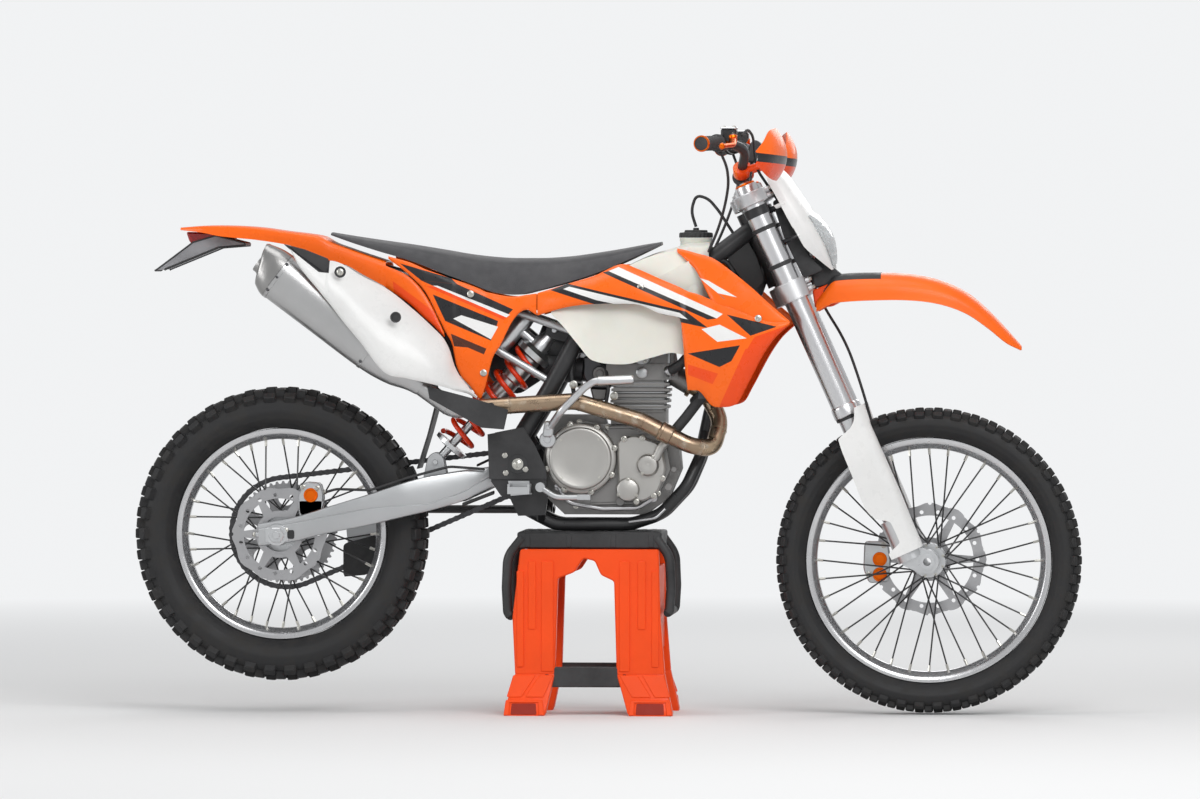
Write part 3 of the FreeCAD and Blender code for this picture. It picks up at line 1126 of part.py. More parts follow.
def rear_fender():
    """The rear mudguard: a blade behind the seat, whose skirts run down beside it to the side covers."""
    wall = 4.0
    stations = [(-1001.0, 1112.0, 6.0, 62.0), (-950.0, 1116.0, 16.0, 80.0), (-909.0, 1117.0, 25.0, 88.0),
                (-821.0, 1113.0, 30.0, 96.0), (-755.0, 1104.0, 31.0, 100.0), (-705.0, 1098.0, 42.0, 101.0),
                (-675.0, 1092.0, 46.0, 101.0), (-650.0, 1078.0, 44.0, 100.0), (-620.0, 1067.0, 40.0, 99.0),
                (-576.0, 1052.0, 49.0, 98.0), (-526.0, 1036.0, 60.0, 97.0)]
    wires = []
    for x, top, drop, half in stations:
        outer = [V(x, -half, top - drop), V(x, -half * 0.98, top - drop * 0.3), V(x, -half * 0.86, top - drop * 0.05),
                 V(x, 0, top), V(x, half * 0.86, top - drop * 0.05), V(x, half * 0.98, top - drop * 0.3),
                 V(x, half, top - drop)]
        inner = [V(p.x, p.y * (half - wall) / half, p.z - wall) for p in reversed(outer)]
        wires.append(polygon(outer + inner))
    band = [(-528.0, 977.0, 1026.0, -97.0, -97.0, -96.6), (-467.0, 935.0, 996.0, -104.0, -102.0, -99.0),
            (-436.0, 906.0, 962.0, -107.0, -105.0, -101.0), (-416.0, 889.0, 930.0, -109.0, -107.0, -103.0),
            (-390.0, 862.0, 872.0, -112.0, -111.0, -110.0)]
    strip = side_panel_solid([(x - 1.0, low, high, a + 1.0, b + 1.0, c + 1.0) for x, low, high, a, b, c in band],
                             PANEL_WALL)
    clear = side_cover_room()
    strip = strip.cut(clear)
    rail = rail_at(UPPER_RAIL, -620.0)
    posts = [rod(V(rail.x, y, rail_top(UPPER_RAIL, rail.x, 6.0) - 0.75), V(rail.x, y, 1064.0), 6.0) for y in (-rail.y, rail.y)]
    return joined([loft(wires), strip, mirrored(strip)] + posts)


def side_cover_room():
    """The space just inside and ahead of the side cover's rear edge, which the mudguard's skirt keeps out of."""
    outline = [(-519, 1060), (-519, 1041), (-467, 999), (-433, 963), (-399, 897), (-385, 869), (-385, 800),
               (-200, 800), (-200, 1060)]
    return plate(outline, -160.0, -60.0)


def seat():
    """The long seat, thin at the tail and deepest in the middle."""
    stations = [(-655.0, 1094.0, 1101.0, 62.0, 58.0, 3.0), (-606.0, 1077.0, 1093.0, 78.0, 72.0, 7.0),
                (-546.0, 1058.0, 1084.0, 86.0, 78.0, 10.0), (-468.0, 1035.0, 1073.0, 92.0, 80.0, 14.0),
                (-388.0, 1004.0, 1060.0, 95.0, 80.0, 16.0), (-335.0, 985.0, 1051.0, 96.0, 78.0, 17.0),
                (-283.0, 965.0, 1045.0, 97.0, 76.0, 18.0), (-230.0, 958.0, 1042.0, 98.0, 74.0, 18.0),
                (-180.0, 968.0, 1042.0, 98.0, 72.0, 18.0), (-109.0, 987.0, 1046.0, 96.0, 70.0, 16.0),
                (-49.0, 1006.0, 1054.0, 92.0, 66.0, 15.0), (19.0, 1034.0, 1065.0, 80.0, 58.0, 12.0),
                (62.0, 1054.0, 1073.0, 62.0, 48.0, 9.0), (100.0, 1072.0, 1079.0, 40.0, 34.0, 3.0)]
    rail = rail_at(UPPER_RAIL, -388.0)
    pads = [rod(V(rail.x, y, rail_top(UPPER_RAIL, rail.x, 8.0)), V(rail.x, y, 1010.0), 8.0) for y in (-rail.y, rail.y)]
    return joined([loft([crowned_section(*station) for station in stations])] + pads)


def fuel_tank():
    """The fuel tank: a saddle over the spars, with a lobe down each side and a raised neck."""
    stations = [(-146.0, 914.0, 950.0, 112.0, 92.0, 6.0), (-117.0, 885.0, 966.0, 122.0, 92.0, 8.0),
                (-85.0, 846.0, 978.0, 126.0, 92.0, 9.0), (-51.0, 809.0, 991.0, 127.0, 90.0, 10.0),
                (20.0, 800.0, 1024.0, 128.0, 86.0, 12.0), (83.0, 815.0, 1052.0, 128.0, 84.0, 14.0),
                (131.0, 826.0, 1066.0, 127.0, 82.0, 16.0), (159.0, 822.0, 1076.0, 126.0, 80.0, 18.0),
                (176.0, 888.0, 1079.0, 122.0, 78.0, 18.0), (212.0, 962.0, 1080.0, 100.0, 70.0, 16.0)]
    neck = rod(V(TANK_CAP_X, 0, 1066.0), V(TANK_CAP_X, 0, 1088.0), 36.0)
    tunnel = plate([(-220, 700), (-220, 884), (-92, 900), (20, 962), (100, 1000), (180, 1042), (230, 1082), (230, 700)],
                   -106.0, 106.0)
    under_seat = loft([crowned_section(x, low - 3.0, high + 30.0, half_low + 6, half_high + 30, crown)
                       for x, low, high, half_low, half_high, crown in SEAT_FRONT_ROOM])
    body = joined([loft([crowned_section(*station) for station in stations]), neck]).cut([tunnel, under_seat])
    spar = SPAR_POINTS[2]
    pads = [rod(V(spar.x, y, spar.z + SPAR_R + 6.8), V(spar.x, y, spar.z + SPAR_R + 20.0), 8.0) for y in (-spar.y, spar.y)]
    return joined([body] + pads)


TANK_CAP_X = 178.0
SEAT_FRONT_ROOM = [(-200.0, 960.0, 1042.0, 110.0, 100.0, 10.0), (-109.0, 985.0, 1046.0, 110.0, 100.0, 10.0),
                   (-49.0, 1004.0, 1054.0, 104.0, 96.0, 10.0), (19.0, 1032.0, 1065.0, 92.0, 80.0, 10.0),
                   (62.0, 1052.0, 1073.0, 74.0, 64.0, 9.0), (103.0, 1070.0, 1079.0, 52.0, 46.0, 6.0)]


def tank_cap():
    """The screw cap on the tank's neck, with a ribbed rim and a vent spigot."""
    base = V(TANK_CAP_X, 0, 1088.0 + SEAT_GAP)
    shapes = [rod(base, base + V(0, 0, 12), 39.0), rod(base + V(0, 0, 11), base + V(0, 0, 18), 26.0),
              rod(base + V(0, 0, 17), base + V(0, 0, 23), 7.0)]
    ribs = []
    for index in range(16):
        angle = 2.0 * math.pi * index / 16
        ribs.append(rod(base + V(40 * math.cos(angle), 40 * math.sin(angle), -5),
                        base + V(40 * math.cos(angle), 40 * math.sin(angle), 20), 3.4))
    return joined(shapes).cut(ribs)


AIRBOX_EAR_X = -400.0


def airbox():
    """The air filter box under the seat, as one block, with the curved flap behind the shock."""
    box = plate([(-600, 960), (-590, 800), (-540, 772), (-350, 772), (-330, 800), (-330, 925), (-400, 955),
                 (-440, 968), (-560, 975)], -38.0, 38.0)
    flap = plate([(-440, 774), (-424, 774), (-412, 706), (-430, 640), (-455, 560), (-459, 560), (-434, 640),
                  (-417, 706)], -56.0, 56.0)
    rail = rail_at(LOWER_RAIL, AIRBOX_EAR_X)
    reach = rail.y - SUBFRAME_TUBE_R - SEAT_GAP - 1.2
    ears = rod(V(AIRBOX_EAR_X, -reach, rail.z), V(AIRBOX_EAR_X, reach, rail.z), 9.0)
    return joined([box, flap, ears])


def plate_holder():
    """The plate holder below the rear mudguard's tip."""
    tip = -1061.0
    body = plate([(tip, 1014), (-973, 1078), (-921, 1094), (-851, 1076), (-851, 1071), (-915, 1066), (-1038, 1016)],
                 -52.0, 52.0)
    boss = block(-930.0, -880.0, -16.0, 16.0, 1072.0, 1111.0)
    holes = [rod(V(-1000.0, y, 1000.0), V(-1000.0, y, 1100.0), PLATE_HOLE_R) for y in (-40.0, 40.0)]
    return joined([body, boss]).cut(holes)


PLATE_HOLE_R = 3.0


def tail_lamp():
    """The tail lamp between the plate holder and the mudguard's tip."""
    return plate([(-1030, 1037.6), (-974, 1078.3), (-958, 1083.4), (-958, 1098), (-1000, 1100), (-1026, 1078)],
                 -30.0, 30.0)


# Stands and controls

SIDE_STAND_PIVOT = V(-172.0, 150.0, 462.0)
SIDE_STAND_TILT = 15.0
SIDE_STAND_AXIS = V(0, math.cos(math.radians(SIDE_STAND_TILT)), math.sin(math.radians(SIDE_STAND_TILT)))
SIDE_STAND_LENGTH = 340.0


def side_stand():
    """The side stand, folded back along the swingarm: an eye on its pin, a leg and a foot."""
    foot_at = SIDE_STAND_PIVOT - V(SIDE_STAND_LENGTH, 0, 0)
    eye = rod(SIDE_STAND_PIVOT - SIDE_STAND_AXIS * 11, SIDE_STAND_PIVOT + SIDE_STAND_AXIS * 11, 16.0)
    leg = rod(SIDE_STAND_PIVOT - V(8, 0, 0), foot_at, 9.5)
    foot = block(foot_at.x - 7, foot_at.x, foot_at.y - 19, foot_at.y + 21, foot_at.z - 26, foot_at.z + 26)
    tang = rod(foot_at + V(60, 0, 0), foot_at + V(52, 24, -16), 5.0)
    bore = rod(SIDE_STAND_PIVOT - SIDE_STAND_AXIS * 40, SIDE_STAND_PIVOT + SIDE_STAND_AXIS * 40, 7.0 + RUN_FIT)
    return joined([eye, leg, foot, tang]).cut(bore)


def footpeg():
    """The left footpeg: a bracket on the pivot plate and a toothed steel frame."""
    start = PIVOT_PLATE_Y + SEAT_GAP
    bracket = plate([(-244, 534), (-196, 534), (-190, 504), (-238, 500)], start, start + 14.0)
    peg = block(-240.0, -190.0, start + 10.0, 192.0, 506.0, 522.0)
    cuts = []
    for index in range(2):
        y0 = start + 24.0 + index * 32.0
        cuts.append(block(-230.0, -200.0, y0, y0 + 22.0, 490.0, 540.0))
    teeth = []
    for x in (-240.0, -195.0):
        for index in range(5):
            y = start + 20.0 + index * 14.0
            teeth.append(block(x, x + 5.0, y, y + 7.0, 520.0, 528.0))
    return joined([bracket, peg.cut(cuts)] + teeth)


def brake_pedal():
    """The rear brake pedal on the right: a boss on the pivot plate, an arm and a toothed tip."""
    start = -PIVOT_PLATE_Y - SEAT_GAP
    pivot = V(-170.0, start, 520.0)
    boss = rod(pivot, pivot - V(0, 26, 0), 11.0)
    arm = pipe([pivot - V(0, 18, 0), V(-134.0, -134.0, 497.0), V(-70.0, -136.0, 497.0)], 6.5, 40.0)
    tip = block(-84.0, -54.0, -152.0, -124.0, 492.0, 504.0)
    return joined([boss, arm, tip])


def shift_lever():
    """The gear lever on the left: a splined boss on its shaft, a flat arm and a round tip."""
    start = 72.0 + SEAT_GAP
    shaft = V(-100.0, start, 520.0)
    shapes = [rod(shaft, shaft + V(0, 46, 0), 9.0), rod(shaft + V(0, 38, 0), shaft + V(0, 52, 0), 13.0),
              rod(shaft + V(0, 45, 0), V(22.0, 128.0, 556.0), 6.0), rod(V(22.0, 120.0, 556.0), V(22.0, 168.0, 556.0), 8.0)]
    return joined(shapes)


def stand_frame():
    """The moulded stand: two side walls with an arch between wide legs, and a web across each end."""
    top = STAND_TOP_Z - STAND_TOP_THICKNESS - SEAT_GAP
    outline = [(-228, 92), (-234, 222), (-216, top), (100, top), (104, 220), (114, 92), (4, 92), (-2, 306), (-32, 320),
               (-46, 352), (-72, 358), (-93, 326), (-130, 312), (-137, 92)]
    outer = STAND_OUTER
    inner = outer - STAND_WALL
    shapes = [plate(outline, inner, outer), plate(outline, -outer, -inner)]
    legs = ((-228.0, -137.0, -254.0, -158.0), (4.0, 114.0, 32.0, 134.0))
    for x0, x1, foot_x0, foot_x1 in legs:
        for side in (-1, 1):
            high = [V(x0, side * inner, 92), V(x1, side * inner, 92), V(x1, side * outer, 92), V(x0, side * outer, 92)]
            low = [V(foot_x0, side * (outer - 16), 0), V(foot_x1, side * (outer - 16), 0),
                   V(foot_x1, side * STAND_FOOT_HALF_WIDTH, 0), V(foot_x0, side * STAND_FOOT_HALF_WIDTH, 0)]
            shapes.append(loft([polygon(high), polygon(low)]))
    shapes.append(block(-224.0, -200.0, -inner - 1, inner + 1, 150.0, 340.0))
    shapes.append(block(78.0, 100.0, -inner - 1, inner + 1, 150.0, 340.0))
    return joined(shapes)


def stand_top():
    """The stand's black top plate with a rubber pad's lip round it, and a handle down each end."""
    low = STAND_TOP_Z - STAND_TOP_THICKNESS
    shapes = [block(-224.0, 106.0, -STAND_TOP_HALF_WIDTH, STAND_TOP_HALF_WIDTH, low, STAND_TOP_Z)]
    reach = STAND_TOP_HALF_WIDTH - 8.0
    for points in ([V(-216, 0, 402), V(-252, 0, 366), V(-252, 0, 226)], [V(98, 0, 402), V(130, 0, 366), V(130, 0, 234)]):
        for side in (-1, 1):
            shapes.append(pipe([p + V(0, side * reach, 0) for p in points], 8.0, 60.0))
        end = points[-1]
        shapes.append(rod(end - SIDE * reach, end + SIDE * reach, 8.0))
    return joined(shapes)


def stand_bars(frame):
    """The two black bars between the stand's legs, one on each side, with their ends against the legs."""
    low, high = STAND_BAR_Z
    room = [frame.translated(V(-SEAT_GAP, 0, 0)), frame.translated(V(SEAT_GAP, 0, 0))]
    bars = []
    for side in (-1, 1):
        y0, y1 = sorted((side * (STAND_OUTER - 22.0), side * (STAND_OUTER - 1.0)))
        bars.append(block(-150.0, 20.0, y0, y1, low, high).cut(room))
    return bars


def chain_guide():
    """The guide under the left arm that keeps the chain's lower run in line."""
    outline = [(-640, 384), (-566, 404), (-556, 352), (-560, 326), (-590, 312), (-640, 308)]
    inner = CHAIN_Y - CHAIN_WIDTH / 2.0 - 2.0
    outer = CHAIN_Y + CHAIN_WIDTH / 2.0 + 2.0
    floor = plate([(-640, 308), (-590, 312), (-560, 326), (-560, 334), (-590, 322), (-640, 318)], inner - 3.0, outer + 3.0)
    hanger = plate([(-612, 380), (-580, 380), (-580, 440.0), (-612, 434.0)], outer, outer + 20.0)
    return joined([plate(outline, inner - 3.0, inner), plate(outline, outer, outer + 3.0), floor, hanger])


# Cables and hoses

THROTTLE_ROUTE = [V(249.0, -264.0, 1280.2), V(262.0, -240.0, 1248.0), V(264.0, -200.0, 1212.0),
                  V(254.0, -150.0, 1165.0), V(236.0, -106.0, 1110.0), V(212.0, -86.0, 1056.0)]
CLUTCH_ROUTE = [mirror_point(point) for point in THROTTLE_ROUTE]
VENT_ROUTE = [V(TANK_CAP_X, 0.0, 1113.2), V(166.0, 0.0, 1150.0), V(178.0, 0.0, 1186.0), V(206.0, 0.0, 1178.0),
              V(230.0, 0.0, 1150.0), V(262.0, 0.0, 1100.0)]
BRAKE_ROUTE = [V(295.0, -226.0, 1318.0), V(306.0, -190.0, 1334.0), V(316.0, -130.0, 1318.0), V(314.0, -70.0, 1282.0),
               V(319.0, -20.0, 1243.0), V(340.0, -8.0, 1211.0), V(363.0, -6.0, 1179.0), V(384.0, -6.0, 1130.0),
               V(420.0, 34.0, 1040.0), V(462.0, 80.0, 938.0), V(518.0, 82.0, 850.0),
               V(556.0, 71.0, 742.0), V(590.0, 70.0, 620.0), V(612.0, 70.0, 500.0), V(606.0, 72.0, 394.0)]


def throttle_cables():
    """The two throttle cables, side by side from the twist grip down towards the tank."""
    shapes = []
    for shift in (0.0, -9.0):
        shapes.append(pipe([p + V(0, shift, 0) for p in THROTTLE_ROUTE], 3.0, 60.0))
    return Part.Compound(shapes)


# Write every sub-part

def sub_parts():
    """Every sub-part's name and solid."""
    parts = {}
    front_clear = FRONT_HUB_WIDTH / 2.0 + 10.0 + RUN_FIT
    rear_clear = REAR_HUB_WIDTH / 2.0 + 10.0 + RUN_FIT
    parts["front_tyre"] = tyre(FRONT_AXLE, FRONT_TYRE_R, FRONT_LUG_HEIGHT, FRONT_RIM_R, FRONT_RIM_WIDTH, FRONT_TYRE_WIDTH)
    parts["front_rim"] = rim(FRONT_AXLE, FRONT_RIM_R, FRONT_RIM_WIDTH)
    parts["front_hub_spokes"] = hub_and_spokes(FRONT_AXLE, FRONT_RIM_R, FRONT_HUB_FLANGE_R, FRONT_HUB_WIDTH,
                                               [(FRONT_DISC_Y - DISC_THICKNESS / 2.0 - SEAT_GAP, 50.0)])
    parts["front_disc"] = disc(FRONT_AXLE, FRONT_DISC_R, 100.0, 44.0, FRONT_DISC_Y, 36, 12)
    parts["rear_tyre"] = tyre(REAR_AXLE, REAR_TYRE_R, REAR_LUG_HEIGHT, REAR_RIM_R, REAR_RIM_WIDTH, REAR_TYRE_WIDTH)
    parts["rear_rim"] = rim(REAR_AXLE, REAR_RIM_R, REAR_RIM_WIDTH)
    parts["rear_hub_spokes"] = hub_and_spokes(REAR_AXLE, REAR_RIM_R, REAR_HUB_FLANGE_R, REAR_HUB_WIDTH,
                                              [(REAR_DISC_Y + DISC_THICKNESS / 2.0 + SEAT_GAP, 54.0),
                                               (CHAIN_Y - SPROCKET_THICKNESS / 2.0 - SEAT_GAP, 60.0)])
    parts["rear_disc"] = disc(REAR_AXLE, REAR_DISC_R, 82.0, 48.0, REAR_DISC_Y, 30, 10)
    parts["rear_sprocket"] = sprocket(REAR_AXLE, REAR_TEETH, REAR_SPROCKET_R, CHAIN_Y, SPROCKET_THICKNESS, 40.0)
    parts["front_sprocket"] = sprocket(V(FRONT_SPROCKET_X, 0, FRONT_SPROCKET_Z), FRONT_TEETH, FRONT_SPROCKET_R,
                                       CHAIN_Y, SPROCKET_THICKNESS, 10.0)
    parts["chain"] = chain()
    parts["front_axle"] = axle(FRONT_AXLE, FORK_Y + 19.0 + SEAT_GAP, 17.0, (front_clear, FORK_Y - 19.0 - SEAT_GAP, 17.0))
    parts["rear_axle"] = axle(REAR_AXLE, ARM_OUTER + SEAT_GAP, 19.0, (rear_clear, ARM_INNER - SEAT_GAP, 18.0))
    parts["lower_clamp"] = joined([clamp(0.0, LOWER_CLAMP_HEIGHT, 26.0), steering_stem()])
    parts["upper_clamp"] = clamp(CLAMP_SPACING, UPPER_CLAMP_HEIGHT, 16.0)
    parts["fork_outer_tubes"] = Part.Compound([fork_outer_tube(side) for side in (-1, 1)])
    parts["fork_lower_legs"] = Part.Compound([joined([fork_inner_tube(side), fork_foot(side)]) for side in (-1, 1)])
    parts["fork_guards"] = Part.Compound([fork_guard(side) for side in (-1, 1)])
    parts["handlebar"] = handlebar()
    parts["grips"] = both_sides(grip())
    parts["controls"] = both_sides(lever_set(56.0))
    parts["hand_guards"] = both_sides(hand_guard())
    parts["headlight_mask"] = headlight_mask()
    parts["headlight_lens"] = headlight_lens()
    parts["front_fender"] = front_fender()
    parts["front_calliper"] = front_calliper()
    parts["rear_calliper"] = rear_calliper()
    parts["frame"] = frame()
    parts["frame_guards"] = both_sides(frame_guard())
    parts["subframe"] = subframe()
    parts["swingarm"] = joined([swingarm(), chain_guide(), pivot_bolt()])
    parts["shock"] = shock()
    parts["shock_spring"] = shock_spring()
    parts["engine_cases"] = engine_cases()
    parts["engine_top"] = engine_top()
    kick_room = rod(V(KICK_X, -140.0, KICK_Z), V(KICK_X, 0.0, KICK_Z), KICK_SHAFT_R + 2.0)
    right_cover = joined([clutch_cover(), right_case_cover()]).cut(kick_room)
    parts["case_covers"] = Part.Compound([right_cover, ignition_cover()])
    parts["kick_starter"] = kick_starter()
    parts["exhaust_header"] = exhaust_header()
    parts["silencer"] = silencer()
    parts["silencer_cap"] = silencer_cap()
    parts["radiators"] = both_sides(radiator())
    parts["shrouds"] = both_sides(shroud())
    parts["side_covers"] = both_sides(side_cover())
    parts["rear_panels"] = both_sides(rear_panel())
    parts["heat_guard"] = heat_guard()
    parts["rear_fender"] = rear_fender()
    parts["seat"] = seat()
    parts["fuel_tank"] = fuel_tank()
    parts["tank_cap"] = tank_cap()
    parts["airbox"] = airbox()
    parts["plate_holder"] = plate_holder()
    parts["tail_lamp"] = tail_lamp()
    parts["side_stand"] = side_stand()
    parts["foot_controls"] = Part.Compound([both_sides(footpeg()), brake_pedal(), shift_lever()])
    parts["stand_frame"] = stand_frame()
    parts["stand_top"] = Part.Compound([stand_top()] + stand_bars(parts["stand_frame"]))
    parts["cables"] = Part.Compound([throttle_cables(), pipe(CLUTCH_ROUTE, 3.2, 30.0), pipe(VENT_ROUTE, 3.5, 30.0)])
    parts["front_brake_hose"] = pipe(BRAKE_ROUTE, 3.2, 90.0)
    return parts


def front_calliper():
    """The front brake calliper on the left, with the bracket to the fork foot."""
    body = calliper(FRONT_AXLE, FRONT_DISC_R, (590.0, 345.0), FRONT_DISC_Y, (62.0, 96.0, 1))
    face = FORK_Y - 16.0 - SEAT_GAP
    bracket = plate([(600, 392), (600, 300), (640, 330), (676, 350), (676, 372), (640, 400)], face - 9.0, face)
    leg_room = rod(fork_point(-720, 0, FORK_Y), fork_point(-500, 0, FORK_Y), FORK_INNER_R + 7.0 + SEAT_GAP)
    return joined([body, bracket]).cut(leg_room)


def rear_calliper():
    """The rear brake calliper on the right, with the bracket to the swingarm's inner face."""
    body = calliper(REAR_AXLE, REAR_DISC_R, (-698.0, 508.0), REAR_DISC_Y, (60.0, 48.0, -1))
    face = -ARM_INNER + SEAT_GAP
    bracket = plate([(-728, 488), (-668, 488), (-684, 436), (-716, 436)], face, face + 12.0)
    return joined([body, bracket])


def main():
    """Write one STEP file for each sub-part."""
    os.makedirs("parts", exist_ok=True)
    for name, shape in sub_parts().items():
        shape.translate(V(-MIDDLE_X, 0, 0))
        solids = shape.Solids
        if not shape.isValid() or not solids:
            print("invalid:", name)
        if len(solids) == 1:
            shape = solids[0]
        shape.exportStep("parts/" + name + ".step")
        box = shape.BoundBox
        print(name, len(solids), round(shape.Volume / 1000.0), [round(v) for v in (box.XMin, box.XMax, box.YMin, box.YMax,
                                                                          box.ZMin, box.ZMax)])


main()
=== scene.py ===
"""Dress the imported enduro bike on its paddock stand: finishes, smooth bodywork, lugs, fasteners and cables.

Points are written in millimetres as the bike was drawn, from the floor below its engine, and at() takes
them to the frame's metres.
"""
import math

import bmesh
import bpy
import numpy as np
from mathutils import Matrix


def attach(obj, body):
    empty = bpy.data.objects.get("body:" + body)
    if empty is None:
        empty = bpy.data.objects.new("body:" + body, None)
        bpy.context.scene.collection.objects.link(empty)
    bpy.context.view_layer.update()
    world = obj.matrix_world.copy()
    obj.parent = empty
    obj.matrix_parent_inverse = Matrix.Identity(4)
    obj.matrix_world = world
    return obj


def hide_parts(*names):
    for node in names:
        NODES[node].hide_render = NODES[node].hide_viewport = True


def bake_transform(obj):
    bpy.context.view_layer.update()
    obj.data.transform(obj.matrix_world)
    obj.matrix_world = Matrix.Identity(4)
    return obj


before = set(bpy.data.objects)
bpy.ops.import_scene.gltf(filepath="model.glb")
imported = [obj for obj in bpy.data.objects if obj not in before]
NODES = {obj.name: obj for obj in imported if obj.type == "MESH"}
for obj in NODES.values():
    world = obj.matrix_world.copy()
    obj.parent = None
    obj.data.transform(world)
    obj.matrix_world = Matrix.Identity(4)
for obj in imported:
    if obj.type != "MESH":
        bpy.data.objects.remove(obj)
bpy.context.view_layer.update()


# Driving sizes, in millimetres
DRAWING_SHIFT = 25.0  # from the drawing's origin to the frame's, along X
FRONT_AXLE = (711.0, 0.0, 352.0)
REAR_AXLE = (-773.0, 0.0, 410.0)
FORK_Y = 103.0
CLAMP_OFFSET = 22.0  # the steering stem behind the fork's legs
CLAMP_SPACING = 229.0  # between both clamps, up the fork
STAND_INNER = 96.0  # the stand's walls, from their inner to their outer face
STAND_FACE = 122.0
LOWER_CLAMP = np.array([402.34, 0.0, 966.59])  # its middle, between the fork's legs
RAKE = math.radians(24.0)
FORK_UP = np.array([-math.sin(RAKE), 0.0, math.cos(RAKE)])
FORK_AHEAD = np.array([math.cos(RAKE), 0.0, math.sin(RAKE)])
SPOKES = 36
SPOKE_CROSS = 38.0  # degrees from hub hole to rim hole
CHAIN_PITCH = 15.875
CHAIN_Y = 82.0
FRONT_SPROCKET = (-150.0, 578.0)
FRONT_RIM_R = 280.0
REAR_RIM_R = 242.0
CASE_FACE = -78.3  # the engine case's right face
PIVOT = np.array([-223.0, 0.0, 572.0])  # of the swingarm
BAR_END = np.array([214.0, 405.0, 1298.0])  # the bar's left end, and where its grip section starts
BAR_INNER = np.array([262.0, 212.0, 1303.0])


# Directions

UP = np.array([0.0, 0.0, 1.0])
SIDE = np.array([0.0, 1.0, 0.0])
RIGHT = -SIDE
ALONG = np.array([1.0, 0.0, 0.0])


# Points and curves

def at(points):
    """Drawing millimetres to the frame's metres: X moves by the shift, and all is divided by 1000."""
    points = np.asarray(points, float)
    return (points + np.array([DRAWING_SHIFT, 0.0, 0.0])) / 1000.0


def fork_point(up, ahead, y):
    """A point given by its distance up the fork, ahead of it and its Y."""
    return LOWER_CLAMP + FORK_UP * up + FORK_AHEAD * ahead + np.array([0.0, y, 0.0])


def unit(vector):
    """The vectors scaled to length one."""
    vector = np.asarray(vector, float)
    return vector / np.maximum(np.linalg.norm(vector, axis=-1, keepdims=True), 1e-12)


def eased(places, values, samples):
    """A smooth curve through values at places: cubic pieces with slopes limited so that none overshoots."""
    places = np.asarray(places, float)
    values = np.asarray(values, float).reshape(len(places), -1)
    gaps = np.diff(places)[:, None]
    rise = np.diff(values, axis=0) / gaps
    slopes = np.vstack([rise[:1], (rise[1:] + rise[:-1]) / 2.0, rise[-1:]])
    turn = rise[1:] * rise[:-1] <= 0
    slopes[1:-1][turn] = 0.0
    limit = 3.0 * np.minimum(np.abs(np.vstack([rise[:1], rise])), np.abs(np.vstack([rise, rise[-1:]])))
    slopes = np.clip(slopes, -limit, limit)
    piece = np.clip(np.searchsorted(places, samples, side="right") - 1, 0, len(places) - 2)
    gap = gaps[piece]
    t = (np.asarray(samples)[:, None] - places[piece][:, None]) / gap
    return ((2 * t**3 - 3 * t**2 + 1) * values[piece] + (t**3 - 2 * t**2 + t) * gap * slopes[piece]
            + (3 * t**2 - 2 * t**3) * values[piece + 1] + (t**3 - t**2) * gap * slopes[piece + 1])


def spline(points, count, closed=False):
    """Points on a Catmull-Rom curve through the given ones, evenly spaced by its length."""
    points = np.asarray(points, float)
    if closed:
        points = np.vstack([points[-1:], points, points[:2]])
    else:
        points = np.vstack([2 * points[:1] - points[1:2], points, 2 * points[-1:] - points[-2:-1]])
    spans = len(points) - 3
    t = np.linspace(0.0, spans - 1e-9, spans * 24 + 1)
    index = t.astype(int)
    u = (t - index)[:, None]
    p0, p1, p2, p3 = (points[index + k] for k in range(4))
    curve = 0.5 * (2 * p1 + (p2 - p0) * u + (2 * p0 - 5 * p1 + 4 * p2 - p3) * u**2
                   + (3 * p1 - p0 - 3 * p2 + p3) * u**3)
    run = np.concatenate([[0.0], np.cumsum(np.linalg.norm(np.diff(curve, axis=0), axis=1))])
    wanted = np.linspace(0.0, run[-1], count + 1)[:-1] if closed else np.linspace(0.0, run[-1], count)
    return np.stack([np.interp(wanted, run, curve[:, axis]) for axis in range(3)], -1)


def bent(points, radius, steps=8):
    """A path of straight runs joined by bends.

    Each corner becomes a quadratic curve between the points where an arc of the radius would start and end,
    or nearly half way along a short run.
    """
    points = np.asarray(points, float)
    out = [points[:1]]
    for before, corner, after in zip(points[:-2], points[1:-1], points[2:]):
        one, two = unit(before - corner), unit(after - corner)
        angle = math.acos(float(np.clip(np.dot(one, two), -1, 1)))
        room = 0.48 * min(np.linalg.norm(before - corner), np.linalg.norm(after - corner))
        reach = min(radius / max(math.tan(angle / 2.0), 1e-3), room)
        t = np.linspace(0.0, 1.0, steps)[:, None]
        start, end = corner + one * reach, corner + two * reach
        out.append((1 - t) ** 2 * start + 2 * t * (1 - t) * corner + t**2 * end)
    out.append(points[-1:])
    return np.vstack(out)


# Forms: vertices with quads, triangles and larger faces

def form(verts, quads=(), tris=(), rims=()):
    """A form from its vertices and faces, all as arrays."""
    return (np.asarray(verts, float).reshape(-1, 3), np.asarray(quads, int).reshape(-1, 4),
            np.asarray(tris, int).reshape(-1, 3), [list(rim) for rim in rims])


def merged(forms):
    """Several forms as one: their vertices in a row, and each one's faces raised by the count before it."""
    counts = np.cumsum([0] + [len(item[0]) for item in forms])
    rims = [[int(k + start) for k in rim] for item, start in zip(forms, counts) for rim in item[3]]
    return (np.vstack([item[0] for item in forms]),
            np.vstack([item[1] + start for item, start in zip(forms, counts)]),
            np.vstack([item[2] + start for item, start in zip(forms, counts)]), rims)


def whole(item):
    """A form as it is, or a list of forms as one form."""
    return merged(item) if isinstance(item, list) else item


def flipped_side(item):
    """The form's mirror image across the bike's middle plane."""
    verts, quads, tris, rims = item
    return (verts * np.array([1.0, -1.0, 1.0]), quads[:, ::-1], tris[:, ::-1], [rim[::-1] for rim in rims])


